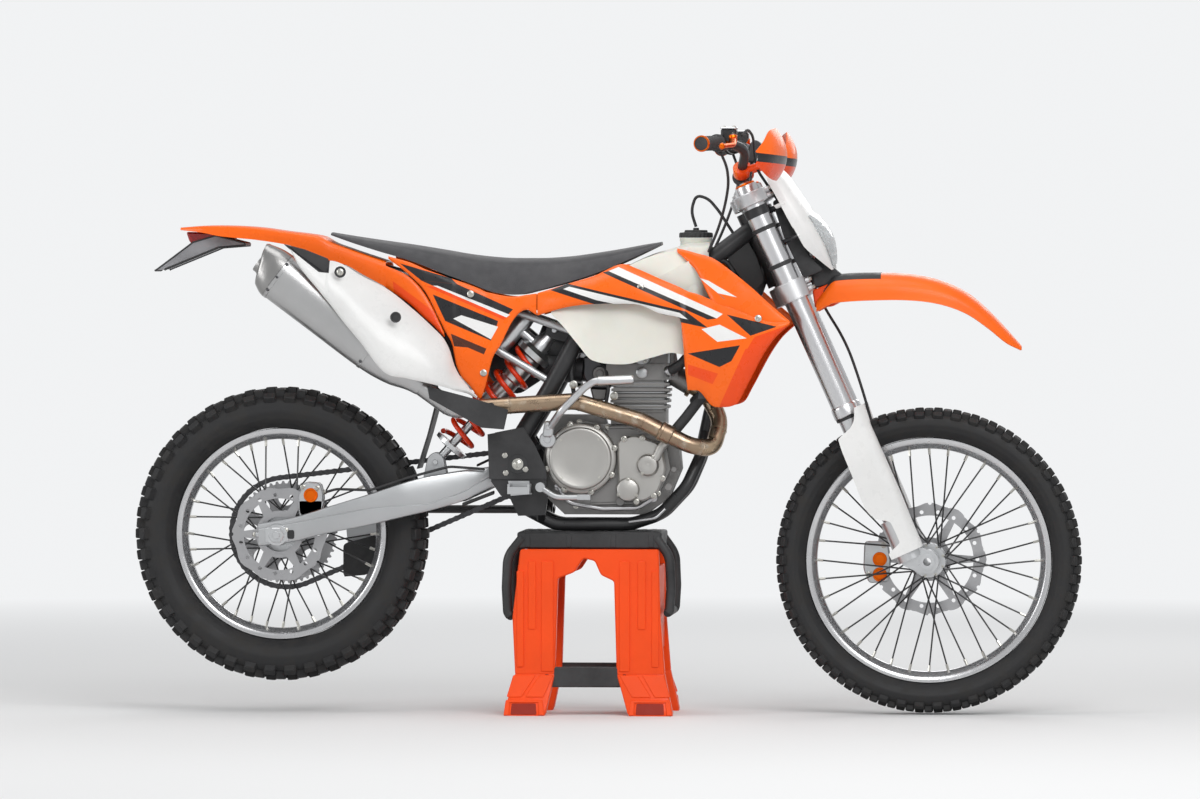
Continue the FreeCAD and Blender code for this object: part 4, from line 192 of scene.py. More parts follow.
def both_sides(item):
    """A form, or a list of them, with its mirror image."""
    item = whole(item)
    return merged([item, flipped_side(item)])


def repeated(item, frames):
    """One form at many frames at once; a frame is an origin and three axes, as rows of a 4 by 3 array."""
    verts, quads, tris, rims = item
    frames = np.asarray(frames, float).reshape(-1, 4, 3)
    placed = np.einsum("vk,nkc->nvc", verts, frames[:, 1:]) + frames[:, None, 0]
    count = len(verts)
    start = (np.arange(len(frames)) * count)[:, None, None]
    all_rims = [[k + n * count for k in rim] for n in range(len(frames)) for rim in rims]
    return (placed.reshape(-1, 3), (quads[None] + start).reshape(-1, 4), (tris[None] + start).reshape(-1, 3),
            all_rims)


def grid(points, close_u=False, close_v=False, caps=False):
    """A net of quads over rows by columns of points, closed round either way, with flat ends if asked."""
    rows, columns = points.shape[:2]
    i = np.arange(rows if close_u else rows - 1)[:, None]
    j = np.arange(columns if close_v else columns - 1)[None, :]
    next_i, next_j = (i + 1) % rows, (j + 1) % columns
    quads = np.stack([i * columns + j, next_i * columns + j, next_i * columns + next_j,
                      i * columns + next_j], -1)
    verts = points.reshape(-1, 3)
    tris = np.zeros((0, 3), int)
    if caps:
        ends = points[[0, -1]].mean(axis=1)
        k = np.arange(columns)
        after = (k + 1) % columns
        last = (rows - 1) * columns
        first_hub = np.full(columns, len(verts))
        tris = np.vstack([np.stack([first_hub, k, after], -1),
                          np.stack([first_hub + 1, last + after, last + k], -1)])
        verts = np.vstack([verts, ends])
    return form(verts, quads, tris)


def axes_about(axis):
    """Two directions square to an axis and to each other."""
    axis = unit(axis)
    helper = UP if abs(axis[2]) < 0.9 else ALONG
    one = unit(np.cross(axis, helper))
    return one, np.cross(axis, one)


def turned(centre, axis, profile, segments=48, closed=False):
    """A turned form: each profile point (distance along the axis, radius) is carried once round the axis."""
    profile = np.asarray(profile, float)
    axis = unit(axis)
    one, two = axes_about(axis)
    angle = np.linspace(0.0, 2.0 * math.pi, segments, endpoint=False)[:, None, None]
    points = (np.asarray(centre, float) + profile[None, :, :1] * axis
              + profile[None, :, 1:] * (np.cos(angle) * one + np.sin(angle) * two))
    item = grid(points, close_u=True, close_v=closed)
    if closed:
        return item
    columns = len(profile)
    ring = np.arange(segments) * columns
    rims = [ring.tolist(), (ring + columns - 1)[::-1].tolist()]
    ends = [rim for rim, end in zip(rims, (0, -1)) if profile[end, 1] > 0.01]
    return form(item[0], item[1], item[2], ends)


def bar(start, end, radius, segments=24, bevel=0.8):
    """A round bar between two points with chamfered ends: a turned profile of four points."""
    start, end = np.asarray(start, float), np.asarray(end, float)
    length = np.linalg.norm(end - start)
    bevel = min(bevel, radius * 0.4, length * 0.3)
    profile = [(0, radius - bevel), (bevel, radius), (length - bevel, radius), (length, radius - bevel)]
    return turned(start, end - start, profile, segments)


def sections_along(path):
    """Two directions square to a path at each of its points, carried along it without twist."""
    path = np.asarray(path, float)
    ways = unit(np.gradient(path, axis=0))
    one, _ = axes_about(ways[0])
    ones = []
    for way in ways:
        one = unit(one - way * np.dot(one, way))
        ones.append(one)
    ones = np.array(ones)
    return ones, np.cross(ways, ones)


def tube(path, radius, sides=16, closed=False):
    """A round tube: circles of the radius, or of one radius for each point, set square to the path."""
    ones, twos = sections_along(path)
    angle = np.linspace(0.0, 2.0 * math.pi, sides, endpoint=False)[None, :, None]
    radius = np.broadcast_to(np.asarray(radius, float), (len(path),))[:, None, None]
    points = (np.asarray(path, float)[:, None] + radius
              * (np.cos(angle) * ones[:, None] + np.sin(angle) * twos[:, None]))
    return grid(points, close_u=closed, close_v=True, caps=not closed)


def pipe(points, bend, radius, sides=16):
    """A round tube along straight runs that are joined by bends of one radius."""
    return tube(bent(points, bend), radius, sides)


def rounded(outline, radius, steps=5):
    """A closed flat outline with rounded corners: each becomes a short curve between its two runs."""
    outline = np.asarray(outline, float)
    before, after = np.roll(outline, 1, axis=0) - outline, np.roll(outline, -1, axis=0) - outline
    length_before = np.linalg.norm(before, axis=1, keepdims=True)
    length_after = np.linalg.norm(after, axis=1, keepdims=True)
    reach = np.minimum(radius, 0.45 * np.minimum(length_before, length_after))
    start, end = outline + before / length_before * reach, outline + after / length_after * reach
    t = np.linspace(0.0, 1.0, steps)[None, :, None]
    curve = (1 - t) ** 2 * start[:, None] + 2 * t * (1 - t) * outline[:, None] + t**2 * end[:, None]
    return curve.reshape(-1, outline.shape[1])


def shrunk(outline, inset):
    """A closed flat outline moved inwards by an inset, each point along the middle of its corner."""
    ways = unit(np.roll(outline, -1, axis=0) - outline)
    normals = np.stack([-ways[:, 1], ways[:, 0]], -1)
    x, z = outline[:, 0], outline[:, 1]
    area = np.sum(x * np.roll(z, -1) - np.roll(x, -1) * z)
    middle = unit(normals + np.roll(normals, 1, axis=0)) * (1.0 if area > 0 else -1.0)
    return outline + middle * inset


def slab(outline, y_low, y_high, bevel=1.0):
    """A flat plate across the bike: an X and Z outline from one Y to the other, with chamfered rims."""
    outline = np.asarray(outline, float)
    inner = shrunk(outline, bevel)
    rows = []
    for ring, y in ((inner, y_low), (outline, y_low + bevel), (outline, y_high - bevel), (inner, y_high)):
        rows.append(np.stack([ring[:, 0], np.full(len(ring), y), ring[:, 1]], -1))
    item = grid(np.array(rows), close_v=True)
    count = len(outline)
    return form(item[0], item[1], item[2], [range(count), range(3 * count, 4 * count)])


def plate(outline, corner, y_low, y_high, bevel=1.0):
    """A flat plate across the bike whose outline has rounded corners."""
    return slab(rounded(outline, corner), y_low, y_high, bevel)


def hex_head(centre, axis, across=10.0, height=6.0, washer=True):
    """A hexagon bolt head with a domed top on a round washer: two turned profiles, one of six sides."""
    profile = [(0, across * 0.5), (height * 0.8, across * 0.577), (height, across * 0.45)]
    top = np.asarray(centre, float) + unit(axis) * height
    head = turned(centre, axis, profile, 6)
    socket = turned(top, axis, [(0, across * 0.30), (0.4, across * 0.26)], 16)
    if not washer:
        return merged([head, socket])
    disc = turned(centre, axis, [(0, across * 0.78), (1.2, across * 0.78), (1.6, across * 0.7)], 24)
    return merged([head, socket, disc])


# Pieces

def placed(name, data):
    """A new object of the scene."""
    obj = bpy.data.objects.new(name, data)
    bpy.context.scene.collection.objects.link(obj)
    return obj


def piece(name, body, item, finish, slot=None, replaces=(), sharp=40.0):
    """Puts a form, or a list of forms as one, into the scene in metres with its faces outwards.

    It takes its finish, its body if it has one, its slot, which is not used, and the nodes that it replaces.
    Edges sharper than an angle in degrees are shaded as edges, and the rest smooth.
    """
    verts, quads, tris, rims = whole(item)
    mesh = bpy.data.meshes.new(name)
    mesh.from_pydata(at(verts).tolist(), [], quads.tolist() + tris.tolist() + rims)
    work = bmesh.new()
    work.from_mesh(mesh)
    bmesh.ops.remove_doubles(work, verts=work.verts, dist=1e-6)
    bmesh.ops.dissolve_degenerate(work, dist=1e-7, edges=work.edges)
    bmesh.ops.recalc_face_normals(work, faces=work.faces)
    work.to_mesh(mesh)
    work.free()
    mesh.shade_smooth()
    mesh.set_sharp_from_angle(angle=math.radians(sharp))
    obj = placed(name, mesh)
    obj.data.materials.append(finish)
    if body:
        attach(obj, body)
    if replaces:
        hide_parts(*replaces)
    return obj


# Finishes

PAINT_EDGE = 0.0002


class Finish:
    """A surface finish: a node material with short calls for the patterns that the finishes below share."""

    def __init__(self, name, colour, roughness, metallic=0.0):
        self.material = bpy.data.materials.new(name)
        self.material.use_nodes = True
        self.tree = self.material.node_tree
        self.shader = self.tree.nodes["Principled BSDF"]
        self.place = self.tree.nodes.new("ShaderNodeTexCoord").outputs["Object"]
        self.shader.inputs["Base Color"].default_value = (*colour, 1.0)
        self.shader.inputs["Roughness"].default_value = roughness
        self.shader.inputs["Metallic"].default_value = metallic
        self.relief = None

    def link(self, source, target):
        """Joins one node's output to another's input."""
        self.tree.links.new(source, target)

    def stretched(self, scale):
        """The place on the object with each axis scaled, for brushed and ribbed patterns."""
        mapping = self.tree.nodes.new("ShaderNodeMapping")
        mapping.inputs["Scale"].default_value = scale
        self.link(self.place, mapping.inputs["Vector"])
        return mapping.outputs["Vector"]

    def noise(self, scale, detail=3.0, place=None, rough=0.5):
        """Soft noise, in features per metre."""
        node = self.tree.nodes.new("ShaderNodeTexNoise")
        node.inputs["Scale"].default_value = scale
        node.inputs["Detail"].default_value = detail
        node.inputs["Roughness"].default_value = rough
        self.link(place or self.place, node.inputs["Vector"])
        return node.outputs["Fac"]

    def ramped(self, value, low, high, out_low=0.0, out_high=1.0):
        """A value stretched from one range to another and held at its ends."""
        node = self.tree.nodes.new("ShaderNodeMapRange")
        for socket, number in zip(("From Min", "From Max", "To Min", "To Max"),
                                  (low, high, out_low, out_high)):
            node.inputs[socket].default_value = number
        self.link(value, node.inputs["Value"])
        return node.outputs["Result"]

    def math(self, operation, one, two=0.0):
        """One sum of two values, either of which may be a number."""
        node = self.tree.nodes.new("ShaderNodeMath")
        node.operation = operation
        for socket, value in zip(node.inputs, (one, two)):
            if isinstance(value, (int, float)):
                socket.default_value = value
            else:
                self.link(value, socket)
        return node.outputs[0]

    def mixed(self, share, one, two):
        """A colour between two, each a socket or an RGB triple."""
        node = self.tree.nodes.new("ShaderNodeMix")
        node.data_type = "RGBA"
        self.link(share, node.inputs["Factor"])
        for socket, value in ((node.inputs[6], one), (node.inputs[7], two)):
            if isinstance(value, (tuple, list)):
                socket.default_value = (*value, 1.0)
            else:
                self.link(value, socket)
        return node.outputs[2]

    def bump(self, height, strength, distance):
        """Relief from a height, on top of any relief there already is."""
        node = self.tree.nodes.new("ShaderNodeBump")
        node.inputs["Strength"].default_value = strength
        node.inputs["Distance"].default_value = distance
        self.link(height, node.inputs["Height"])
        if self.relief:
            self.link(self.relief, node.inputs["Normal"])
        self.relief = node.outputs["Normal"]
        self.link(self.relief, self.shader.inputs["Normal"])

    def colour(self, socket):
        """Takes the finish's colour from a node."""
        self.link(socket, self.shader.inputs["Base Color"])

    def roughness(self, socket):
        """Takes the finish's roughness from a node."""
        self.link(socket, self.shader.inputs["Roughness"])

    def set(self, **values):
        """Sets plain sockets by name, with underscores for spaces."""
        for name, value in values.items():
            self.shader.inputs[name.replace("_", " ")].default_value = value

    def half_plane(self, start, end):
        """One on the left of a line in side view (X, Z, metres), nought on its right, with a soft edge."""
        way = unit(np.array(end, float) - np.array(start, float))
        normal = np.array([-way[1], 0.0, way[0]])
        dot = self.tree.nodes.new("ShaderNodeVectorMath")
        dot.operation = "DOT_PRODUCT"
        self.link(self.place, dot.inputs[0])
        dot.inputs[1].default_value = normal
        offset = float(np.dot(normal, [start[0], 0.0, start[1]]))
        return self.ramped(dot.outputs["Value"], offset - PAINT_EDGE, offset + PAINT_EDGE)

    def inside(self, corners):
        """One inside a convex outline in side view: the least of its edges' half planes."""
        corners = [tuple(corner) for corner in corners]
        area = sum(a[0] * b[1] - b[0] * a[1] for a, b in zip(corners, corners[1:] + corners[:1]))
        if area < 0:
            corners = corners[::-1]
        share = None
        for start, end in zip(corners, corners[1:] + corners[:1]):
            side = self.half_plane(start, end)
            share = side if share is None else self.math("MINIMUM", share, side)
        return share


def toned(colour, factor, lift=0.0):
    """A colour made darker or paler, each of its parts by a factor and a lift."""
    return tuple(min(1.0, factor * value + lift) for value in colour)


def scuffed(finish, base, dark, rough_low, rough_high, scale=9.0):
    """Uneven colour and gloss, as on handled plastic and metal: two noises in colour and roughness."""
    cloud = finish.ramped(finish.noise(scale, 5.0), 0.35, 0.7)
    finish.colour(finish.mixed(cloud, base, dark))
    smear = finish.noise(scale * 6.0, 4.0, rough=0.6)
    finish.roughness(finish.ramped(smear, 0.3, 0.7, rough_low, rough_high))


def body_plastic(name, colour, gloss=0.28):
    """Moulded and clear-decalled plastic: nearly even colour, fine orange peel, and faint scratches."""
    finish = Finish(name, colour, gloss)
    scuffed(finish, colour, toned(colour, 0.9), gloss - 0.06, gloss + 0.12, 7.0)
    finish.bump(finish.noise(420.0, 2.0), 0.04, 0.0006)
    scratches = finish.noise(60.0, 6.0, finish.stretched((1.0, 1.0, 9.0)), 0.7)
    finish.bump(finish.ramped(scratches, 0.62, 0.7), 0.05, 0.0003)
    finish.set(Coat_Weight=0.1, Coat_Roughness=0.15, Specular_IOR_Level=0.32)
    return finish


def rough_plastic(name, colour, roughness=0.55):
    """Grained black plastic: small even grain in the relief, a little worn to grey."""
    finish = Finish(name, colour, roughness)
    scuffed(finish, colour, toned(colour, 1.8, 0.01), roughness - 0.1, roughness + 0.12, 12.0)
    finish.bump(finish.noise(1500.0, 2.0), 0.18, 0.0005)
    return finish


def satin_metal(name, colour, roughness, brushed=None, cast=0.0):
    """Bare or anodised metal: brushed along one way if asked, or with a cast grain, and a little uneven."""
    finish = Finish(name, colour, roughness, 1.0)
    scuffed(finish, colour, toned(colour, 0.9), roughness - 0.03, roughness + 0.06, 7.0)
    if brushed:
        finish.bump(finish.noise(300.0, 4.0, finish.stretched(brushed), 0.7), 0.12, 0.0004)
    if cast:
        finish.bump(finish.noise(900.0, 3.0), cast, 0.0008)
    return finish


def coated_metal(name, colour, roughness=0.35):
    """Powder coat: a non-metal coat with a soft peel."""
    finish = Finish(name, colour, roughness)
    scuffed(finish, colour, toned(colour, 1.6, 0.006), roughness - 0.08, roughness + 0.12, 10.0)
    finish.bump(finish.noise(700.0, 2.0), 0.06, 0.0006)
    return finish


def tyre_rubber(name):
    """Tyre rubber: nearly black, with soft clouds of dust and fine mould grain."""
    finish = Finish(name, (0.012, 0.012, 0.013), 0.75)
    dust = finish.ramped(finish.noise(26.0, 6.0, rough=0.65), 0.45, 0.75)
    finish.colour(finish.mixed(dust, (0.008, 0.008, 0.009), (0.026, 0.024, 0.022)))
    finish.roughness(finish.ramped(dust, 0.0, 1.0, 0.62, 0.88))
    finish.bump(finish.noise(1200.0, 3.0), 0.22, 0.0006)
    return finish


def soft_rubber(name, colour=(0.02, 0.02, 0.021), roughness=0.62):
    """Hose and grip rubber with a fine grain."""
    finish = Finish(name, colour, roughness)
    scuffed(finish, colour, toned(colour, 1.7), roughness - 0.1, roughness + 0.1, 30.0)
    finish.bump(finish.noise(1800.0, 2.0), 0.12, 0.0004)
    return finish


def seat_cover(name):
    """Grippy seat cover: charcoal with fine pimples, from a fine cell pattern, and soft wear on top."""
    finish = Finish(name, (0.043, 0.043, 0.047), 0.68)
    scuffed(finish, (0.040, 0.040, 0.044), (0.062, 0.061, 0.064), 0.58, 0.8, 8.0)
    cells = finish.tree.nodes.new("ShaderNodeTexVoronoi")
    cells.inputs["Scale"].default_value = 420.0
    finish.link(finish.place, cells.inputs["Vector"])
    finish.bump(finish.ramped(cells.outputs["Distance"], 0.1, 0.6, 1.0, 0.0), 0.28, 0.0006)
    finish.bump(finish.noise(18.0, 3.0), 0.1, 0.004)
    finish.set(Sheen_Weight=0.15, Sheen_Roughness=0.5)
    return finish


# Colours, and the photograph's scale: millimetres a pixel, and the pixel of the drawing's origin

ORANGE = (1.0, 0.145, 0.004)
# Deep orange: mostly painted shade on orange plastic that faces away from the light, and also a stripe colour
# in the side covers' decals.
SHADE_AND_STRIPE_ORANGE = (0.86, 0.07, 0.004)
WHITE = (0.80, 0.80, 0.79)
BLACK = (0.016, 0.016, 0.018)
GREY = (0.17, 0.17, 0.18)
BROWN = (0.075, 0.022, 0.012)
PIXEL = 2.29
PHOTO_X = 618.5
PHOTO_Z = 713.0


def photo(points):
    """Points read off the photograph, in pixels, as X and Z in metres in side view."""
    points = np.asarray(points, float)
    x = (points[:, 0] - PHOTO_X) * PIXEL + DRAWING_SHIFT
    z = (PHOTO_Z - points[:, 1]) * PIXEL
    return np.stack([x, z], -1) / 1000.0


def painted(name, ground, patches, gloss=0.28):
    """Body plastic with stripes and painted shade: a patch is a convex outline in side view and its colour,
    over the last.
    """
    finish = body_plastic(name, ground, gloss)
    base = finish.shader.inputs["Base Color"].links[0].from_socket
    for colour, corners in patches:
        base = finish.mixed(finish.inside(photo(corners)), base, colour)
    finish.colour(base)
    return finish


SHROUD_PATCHES = [
    # The first two patches are painted shade: the front flange, which turns in towards the bike, is given a
    # deep orange.
    (SHADE_AND_STRIPE_ORANGE, [(759, 336), (797, 323), (775, 346), (750, 351)]),
    (SHADE_AND_STRIPE_ORANGE, [(750, 348), (776, 343), (742, 406), (722, 408)]),
    (BLACK, [(545.5, 292.8), (571, 283.5), (690, 311), (712, 327), (698, 335), (597, 303.5)]),
    (WHITE, [(560, 291.5), (573, 286.5), (684, 312.5), (700, 325), (690, 329), (601, 300)]),
    (WHITE, [(612, 271), (622, 267), (727, 313.5), (721, 318)]),
    (BLACK, [(606, 272.5), (612, 271), (721, 318), (712, 319)]),
    (BLACK, [(731, 314), (781, 326), (755, 335)]),
    (WHITE, [(706, 328.5), (724, 324), (751, 337.5), (722, 341)]),
    (BLACK, [(692.3, 352.7), (744.6, 344.4), (736, 360), (724, 366)]),
    (SHADE_AND_STRIPE_ORANGE, [(692.3, 363.5), (722.5, 372.5), (717, 383), (692.3, 373.8)]),
    (WHITE, [(702.5, 277.7), (712, 280.5), (741, 297), (722, 293)]),
    (GREY, [(712, 285), (722, 293), (741, 297), (752.2, 304.9), (728, 298.5)]),
]
COVER_PATCHES = [
    (BLACK, [(403, 263.3), (454.6, 278.2), (460.4, 284), (424.8, 280.5)]),
    (BLACK, [(424.8, 280.5), (460.4, 284), (516.6, 309.2), (510.9, 315), (435.1, 285.1)]),
    (SHADE_AND_STRIPE_ORANGE, [(429.4, 286), (438.5, 286.2), (511.5, 316.5), (507.4, 319.6)]),
    (WHITE, [(436.5, 285.6), (441, 285.6), (513.5, 314.6), (510, 317.2)]),
    (BLACK, [(436.3, 294.3), (501.7, 320.7), (500.5, 325.3), (448.9, 320.7)]),
    (BLACK, [(448.9, 320.7), (500.5, 325.3), (494.8, 340.2)]),
    (WHITE, [(456.9, 318.4), (465, 315), (501.7, 326.4), (494.8, 339)]),
    (BROWN, [(454.6, 333.3), (490.2, 348.2), (487.9, 354), (471.8, 347.1)]),
    (BROWN, [(454.6, 333.3), (471.8, 347.1), (458, 345.9)]),
    (ORANGE, [(448.9, 321.8), (494.8, 341.4), (492.5, 347.1), (451.2, 329.9)]),
    (ORANGE, [(519.5, 315), (500.5, 350.5), (487.9, 354), (494.8, 340.2), (512, 316)]),
]

ORANGE_PLASTIC = body_plastic("orange plastic", ORANGE, 0.4).material
# The rear mudguard's deep orange patch is painted shade on the lower part of the band, which faces down.
FENDER_PAINT = painted("rear mudguard plastic", ORANGE, [
    (SHADE_AND_STRIPE_ORANGE, [(396, 281), (437, 311), (449, 339), (420, 322), (398, 300)])]).material
SHROUD_PAINT = painted("shroud plastic, decals and shade", ORANGE, SHROUD_PATCHES).material
COVER_PAINT = painted("side cover plastic and decals", ORANGE, COVER_PATCHES).material
WHITE_PLASTIC = body_plastic("white plastic", WHITE).material
# A darker copy of the orange plastic, for painted shade on the mudguard's root below the lower clamp.
SHADED_ROOT_PLASTIC = body_plastic("shaded orange plastic", SHADE_AND_STRIPE_ORANGE, 0.4).material
PANEL_PAINT = painted("rear panel plastic", WHITE, [
    (BLACK, [(292, 245), (310, 246), (336, 260), (336, 273), (326, 272)])]).material
MASK_PAINT = painted("mask plastic", WHITE, [
    (BLACK, [(752, 172), (767, 176), (796, 229), (833, 271), (820, 292), (770, 250)])]).material
# On the hand guards the deep orange lower part is painted shade; the black band is the guard's mount.
GUARD_PAINT = painted("hand guard plastic", ORANGE, [
    (SHADE_AND_STRIPE_ORANGE, [(740, 158), (801, 159), (800, 190), (740, 190)]),
    (BLACK, [(748, 153), (801, 159), (801, 167), (748, 162)])]).material
BLACK_PLASTIC = rough_plastic("black plastic", (0.017, 0.017, 0.018)).material
GREY_PLASTIC = rough_plastic("grey plastic", (0.19, 0.19, 0.20)).material
STAND_PLASTIC = body_plastic("stand plastic", (0.94, 0.075, 0.002), 0.42).material
# A dark copy of the stand plastic, for painted shade in the stand's sockets.
SHADED_SOCKET_PLASTIC = body_plastic("shaded stand plastic", (0.30, 0.016, 0.003), 0.5).material
TYRE = tyre_rubber("tyre rubber").material
RUBBER = soft_rubber("hose and grip rubber").material
SEAT_COVER = seat_cover("seat cover").material
RIM_METAL = satin_metal("polished rim", (0.62, 0.62, 0.63), 0.24).material
BLACK_METAL = coated_metal("black coat", (0.014, 0.014, 0.015)).material
BARE_METAL = satin_metal("machined aluminium", (0.60, 0.61, 0.62), 0.30).material
ARM_METAL = satin_metal("cast arm aluminium", (0.52, 0.53, 0.54), 0.38, cast=0.1).material
FORK_METAL = Finish("turned fork tube", (0.62, 0.62, 0.63), 0.29, 1.0).material
CLAMP_METAL = satin_metal("bead blasted clamp", (0.66, 0.66, 0.67), 0.42).material
STEEL = satin_metal("ground steel", (0.46, 0.46, 0.47), 0.30, brushed=(6.0, 1.0, 6.0)).material
MIRROR_METAL = satin_metal("lamp reflector", (0.86, 0.86, 0.87), 0.08).material
DISPLAY_GLASS = body_plastic("display glass", (0.02, 0.025, 0.02), 0.1).material
DARK_STEEL = satin_metal("dark steel", (0.10, 0.10, 0.105), 0.4).material
BOLT_STEEL = satin_metal("zinc fastener", (0.55, 0.54, 0.50), 0.28).material
ENGINE_METAL = satin_metal("cast engine metal", (0.26, 0.255, 0.25), 0.5, cast=0.35).material
COVER_METAL = satin_metal("cast cover metal", (0.46, 0.45, 0.43), 0.42, cast=0.2).material
SILENCER_METAL = satin_metal("brushed silencer", (0.50, 0.50, 0.50), 0.34, brushed=(12.0, 1.0, 1.0)).material
CAP_METAL = satin_metal("spun silencer cap", (0.34, 0.335, 0.33), 0.3, brushed=(8.0, 1.0, 1.0)).material
SPRING_PAINT = body_plastic("spring paint", (0.80, 0.04, 0.003), 0.25).material
ORANGE_METAL = satin_metal("orange anodised", (0.90, 0.16, 0.01), 0.3).material


def tank_plastic():
    """Milky fuel-tank plastic: off-white with a little light let through."""
    finish = body_plastic("milky tank plastic", (0.78, 0.77, 0.70), 0.38)
    finish.set(Subsurface_Weight=0.15, Subsurface_Scale=0.02)
    return finish.material


def header_metal():
    """Heat-tinted exhaust pipe: soft clouds of straw and bronze with paler spots, over bare steel."""
    finish = Finish("heat tinted pipe", (0.36, 0.24, 0.15), 0.3, 1.0)
    bands = finish.noise(5.0, 3.0)
    tint = finish.mixed(finish.ramped(bands, 0.35, 0.65), (0.47, 0.36, 0.24), (0.29, 0.21, 0.15))
    spots = finish.ramped(finish.noise(34.0, 4.0), 0.55, 0.75)
    finish.colour(finish.mixed(spots, tint, (0.52, 0.46, 0.38)))
    finish.roughness(finish.ramped(finish.noise(60.0, 3.0), 0.3, 0.7, 0.22, 0.42))
    finish.bump(finish.noise(500.0, 2.0), 0.06, 0.0005)
    return finish.material


def lamp_plastic(name, colour, clear):
    """Lamp plastic: glossy and faintly rippled, and clear to a share from nought to one."""
    finish = Finish(name, colour, 0.08)
    finish.set(Transmission_Weight=clear, IOR=1.49, Coat_Weight=0.5)
    finish.bump(finish.noise(90.0, 1.0, finish.stretched((1.0, 4.0, 1.0))), 0.04, 0.001)
    return finish.material


TANK_PLASTIC = tank_plastic()
HEADER_METAL = header_metal()
CLEAR_LENS = lamp_plastic("clear lamp lens", (0.85, 0.87, 0.88), 0.7)
RED_LENS = lamp_plastic("red lamp lens", (0.45, 0.01, 0.01), 0.3)

FINISH_NODES = [
    (TYRE, "front_tyre rear_tyre"),
    (RIM_METAL, "front_rim rear_rim"),
    (BLACK_METAL, "front_hub_spokes rear_hub_spokes frame side_stand"),
    (STEEL, "front_disc rear_disc rear_sprocket"),
    (DARK_STEEL, "front_sprocket chain handlebar controls radiators"),
    (BARE_METAL, "front_axle rear_axle fork_lower_legs upper_clamp front_calliper rear_calliper "
                 "foot_controls kick_starter shock"),
    (FORK_METAL, "fork_outer_tubes"),
    (ARM_METAL, "swingarm subframe"),
    (CLAMP_METAL, "lower_clamp"),
    (BLACK_PLASTIC, "frame_guards heat_guard airbox tank_cap stand_top"),
    (SILENCER_METAL, "silencer_cap silencer"),
    (GREY_PLASTIC, "plate_holder"),
    (WHITE_PLASTIC, "fork_guards rear_panels"),
    (MASK_PAINT, "headlight_mask"),
    (TANK_PLASTIC, "fuel_tank"),
    (SHROUD_PAINT, "shrouds"),
    (COVER_PAINT, "side_covers"),
    (ORANGE_PLASTIC, "front_fender rear_fender"),
    (GUARD_PAINT, "hand_guards"),
    (STAND_PLASTIC, "stand_frame"),
    (SEAT_COVER, "seat"),
    (RUBBER, "grips cables front_brake_hose"),
    (ENGINE_METAL, "engine_cases engine_top"),
    (COVER_METAL, "case_covers"),
    (HEADER_METAL, "exhaust_header"),
    (SPRING_PAINT, "shock_spring"),
    (CLEAR_LENS, "headlight_lens"),
    (RED_LENS, "tail_lamp"),
]
NODE_FINISH = {name: finish for finish, names in FINISH_NODES for name in names.split()}


def bolts_of(name, body, heads):
    """Fasteners of zinc-plated steel."""
    piece(name, body, heads, BOLT_STEEL, slot="steel")


def finish_nodes():
    """Gives every node of the frame its finish in place of the plain one that it came with."""
    for name, obj in NODES.items():
        obj.data.materials.clear()
        obj.data.materials.append(NODE_FINISH[name])


# Wheels

TYRE_POINTS = 61
FLANGE = 6.0


def rods(starts, ends, radius, sides=8):
    """Many straight rods at once: a circle square to each line at both its ends, with flat ends."""
    starts, ends = np.asarray(starts, float), np.asarray(ends, float)
    ways = unit(ends - starts)
    helper = np.where(np.abs(ways[:, 2:]) < 0.9, UP, ALONG)
    ones = unit(np.cross(ways, helper))
    twos = np.cross(ways, ones)
    angle = np.linspace(0.0, 2.0 * math.pi, sides, endpoint=False)[None, :, None]
    ring = radius * (np.cos(angle) * ones[:, None] + np.sin(angle) * twos[:, None])
    low, high = starts[:, None] + ring, ends[:, None] + ring
    count = len(starts)
    verts = np.concatenate([low, high], axis=1).reshape(-1, 3)
    k = np.arange(sides)
    after = (k + 1) % sides
    base = (np.arange(count) * 2 * sides)[:, None, None]
    quads = np.stack([k, after, after + sides, k + sides], -1)[None] + base
    rims = [list(range(n * 2 * sides, n * 2 * sides + sides))[::-1] for n in range(count)]
    rims += [list(range(n * 2 * sides + sides, (n + 1) * 2 * sides)) for n in range(count)]
    return form(verts, quads.reshape(-1, 4), rims=rims)


def block_lug(length, width, height, root=7.0, bevel=1.6):
    """One tread lug about its foot: a rounded rectangle that narrows as it rises, with a chamfered top."""
    rows = []
    for grow, z in ((2.0, -root), (0.0, height - bevel), (-bevel, height)):
        half_l, half_w = length / 2.0 + grow, width / 2.0 + grow
        outline = [(-half_l, -half_w), (half_l, -half_w), (half_l, half_w), (-half_l, half_w)]
        corners = rounded(outline, 2.5, 2)
        rows.append(np.column_stack([corners, np.full(len(corners), z)]))
    item = grid(np.array(rows), close_v=True)
    count = len(rows[0])
    return form(item[0], item[1], item[2], [range(2 * count, 3 * count)])


def lug_frames(centre, rows, offset, radius, y, tilt):
    """Places for one ring of lugs: evenly turned about the axle, leaned outwards by the tilt."""
    angle = (np.arange(rows) + offset) * 2.0 * math.pi / rows
    out = np.stack([np.cos(angle), np.zeros(rows), np.sin(angle)], -1)
    tangent = np.stack([-np.sin(angle), np.zeros(rows), np.cos(angle)], -1)
    lean = math.copysign(math.radians(tilt), y)
    rise = out * math.cos(lean) + SIDE * math.sin(lean)
    across = np.cross(rise, tangent)
    return np.stack([np.asarray(centre) + out * radius + SIDE * y, tangent, across, rise], 1)


